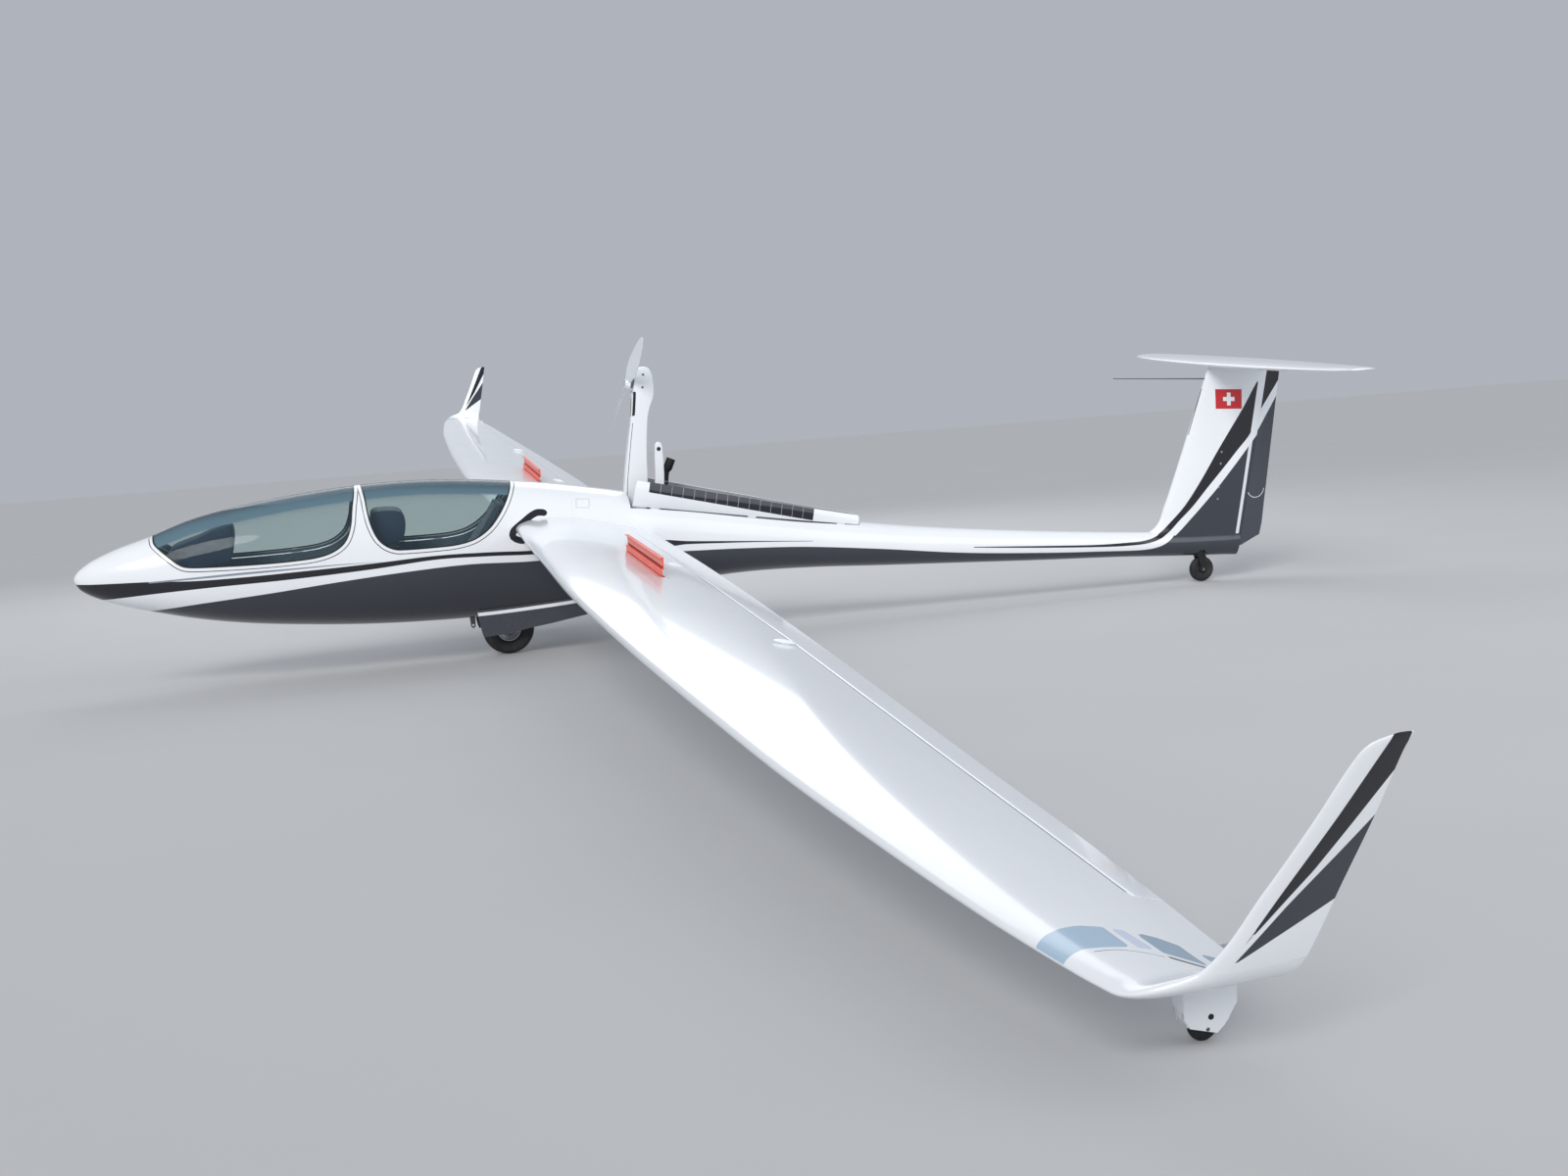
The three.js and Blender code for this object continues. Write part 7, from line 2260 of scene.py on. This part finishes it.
class MakeTail(bpy.types.Operator):
    """Build fin, rudder, tailplane and elevator"""
    bl_idname = "sailplane.tail"
    bl_label = "Tail"

    def execute(self, context):
        make_fin()
        make_rudder()
        make_tailplane()
        return {"FINISHED"}


class MakeEngineDoors(bpy.types.Operator):
    """Build the engine doors with their solar cells"""
    bl_idname = "sailplane.engine_doors"
    bl_label = "Engine doors"

    def execute(self, context):
        make_engine_doors()
        return {"FINISHED"}


class MakeMast(bpy.types.Operator):
    """Build the propeller mast, its brace and the exhaust"""
    bl_idname = "sailplane.mast"
    bl_label = "Mast"

    def execute(self, context):
        make_mast()
        make_exhaust()
        return {"FINISHED"}


class MakePropeller(bpy.types.Operator):
    """Build the propeller"""
    bl_idname = "sailplane.propeller"
    bl_label = "Propeller"

    def execute(self, context):
        make_propeller()
        return {"FINISHED"}


class MakeMainGear(bpy.types.Operator):
    """Build the main wheel and its doors"""
    bl_idname = "sailplane.main_gear"
    bl_label = "Main gear"

    def execute(self, context):
        make_main_wheel()
        make_gear_doors()
        return {"FINISHED"}


class MakeTailWheel(bpy.types.Operator):
    """Build the tail wheel and its fork"""
    bl_idname = "sailplane.tail_wheel"
    bl_label = "Tail wheel"

    def execute(self, context):
        make_tail_wheel()
        return {"FINISHED"}


class MakeTipWheels(bpy.types.Operator):
    """Build the tip wheels and their fairings"""
    bl_idname = "sailplane.tip_wheels"
    bl_label = "Tip wheels"

    def execute(self, context):
        make_tip_wheels()
        return {"FINISHED"}


class MakeSeats(bpy.types.Operator):
    """Build the seat pans and harnesses"""
    bl_idname = "sailplane.seats"
    bl_label = "Seats and harness"

    def execute(self, context):
        make_seats()
        make_harness()
        return {"FINISHED"}


class MakeCushions(bpy.types.Operator):
    """Build the seat cushions"""
    bl_idname = "sailplane.cushions"
    bl_label = "Cushions"

    def execute(self, context):
        make_cushions()
        return {"FINISHED"}


class MakeControls(bpy.types.Operator):
    """Build instrument covers and control sticks"""
    bl_idname = "sailplane.controls"
    bl_label = "Instruments and sticks"

    def execute(self, context):
        make_instruments()
        make_sticks()
        return {"FINISHED"}


class MakeFittings(bpy.types.Operator):
    """Finish the fittings that keep their own shape"""
    bl_idname = "sailplane.fittings"
    bl_label = "Small fittings"

    def execute(self, context):
        finish_kept()
        return {"FINISHED"}


class MakeStage(bpy.types.Operator):
    """Build the floor, the lights and the camera"""
    bl_idname = "sailplane.stage"
    bl_label = "Stage"

    def execute(self, context):
        make_floor()
        make_lights()
        make_camera()
        return {"FINISHED"}


OPERATORS = (MakeFuselage, MakeCanopies, MakeWings, MakeWinglets, MakeWingSurfaces, MakeAirbrakes, MakeTail,
             MakeEngineDoors, MakeMast, MakePropeller, MakeMainGear, MakeTailWheel, MakeTipWheels, MakeSeats,
             MakeCushions, MakeControls, MakeFittings, MakeStage)


class SailplanePanel(bpy.types.Panel):
    """The build steps, colours and sizes"""
    bl_idname = "VIEW3D_PT_sailplane"
    bl_label = "Sailplane"
    bl_space_type = "VIEW_3D"
    bl_region_type = "UI"
    bl_category = "Sailplane"

    def draw(self, context):
        for step in OPERATORS:
            self.layout.operator(step.bl_idname)
        for group in (context.scene.sailplane_colours, context.scene.sailplane_sizes):
            box = self.layout.box()
            for name in group.bl_rna.properties.keys():
                if name not in ("rna_type", "name"):
                    box.prop(group, name)


CLASSES = (SailplaneColours, SailplaneSizes, *OPERATORS, SailplanePanel)


def register():
    """Makes the classes known, and gives the scene its colours and sizes."""
    for kind in CLASSES:
        bpy.utils.register_class(kind)
    bpy.types.Scene.sailplane_colours = bpy.props.PointerProperty(type=SailplaneColours)
    bpy.types.Scene.sailplane_sizes = bpy.props.PointerProperty(type=SailplaneSizes)


def unregister():
    """Takes back what register gave."""
    del bpy.types.Scene.sailplane_sizes
    del bpy.types.Scene.sailplane_colours
    for kind in reversed(CLASSES):
        bpy.utils.unregister_class(kind)


def main():
    """Registers the add-on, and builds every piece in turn."""
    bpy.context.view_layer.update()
    register()
    for step in OPERATORS:
        group, name = step.bl_idname.split(".")
        if getattr(getattr(bpy.ops, group), name)() != {"FINISHED"}:
            raise RuntimeError(f"{step.bl_label} was not finished")


if __name__ == "__main__":
    main()
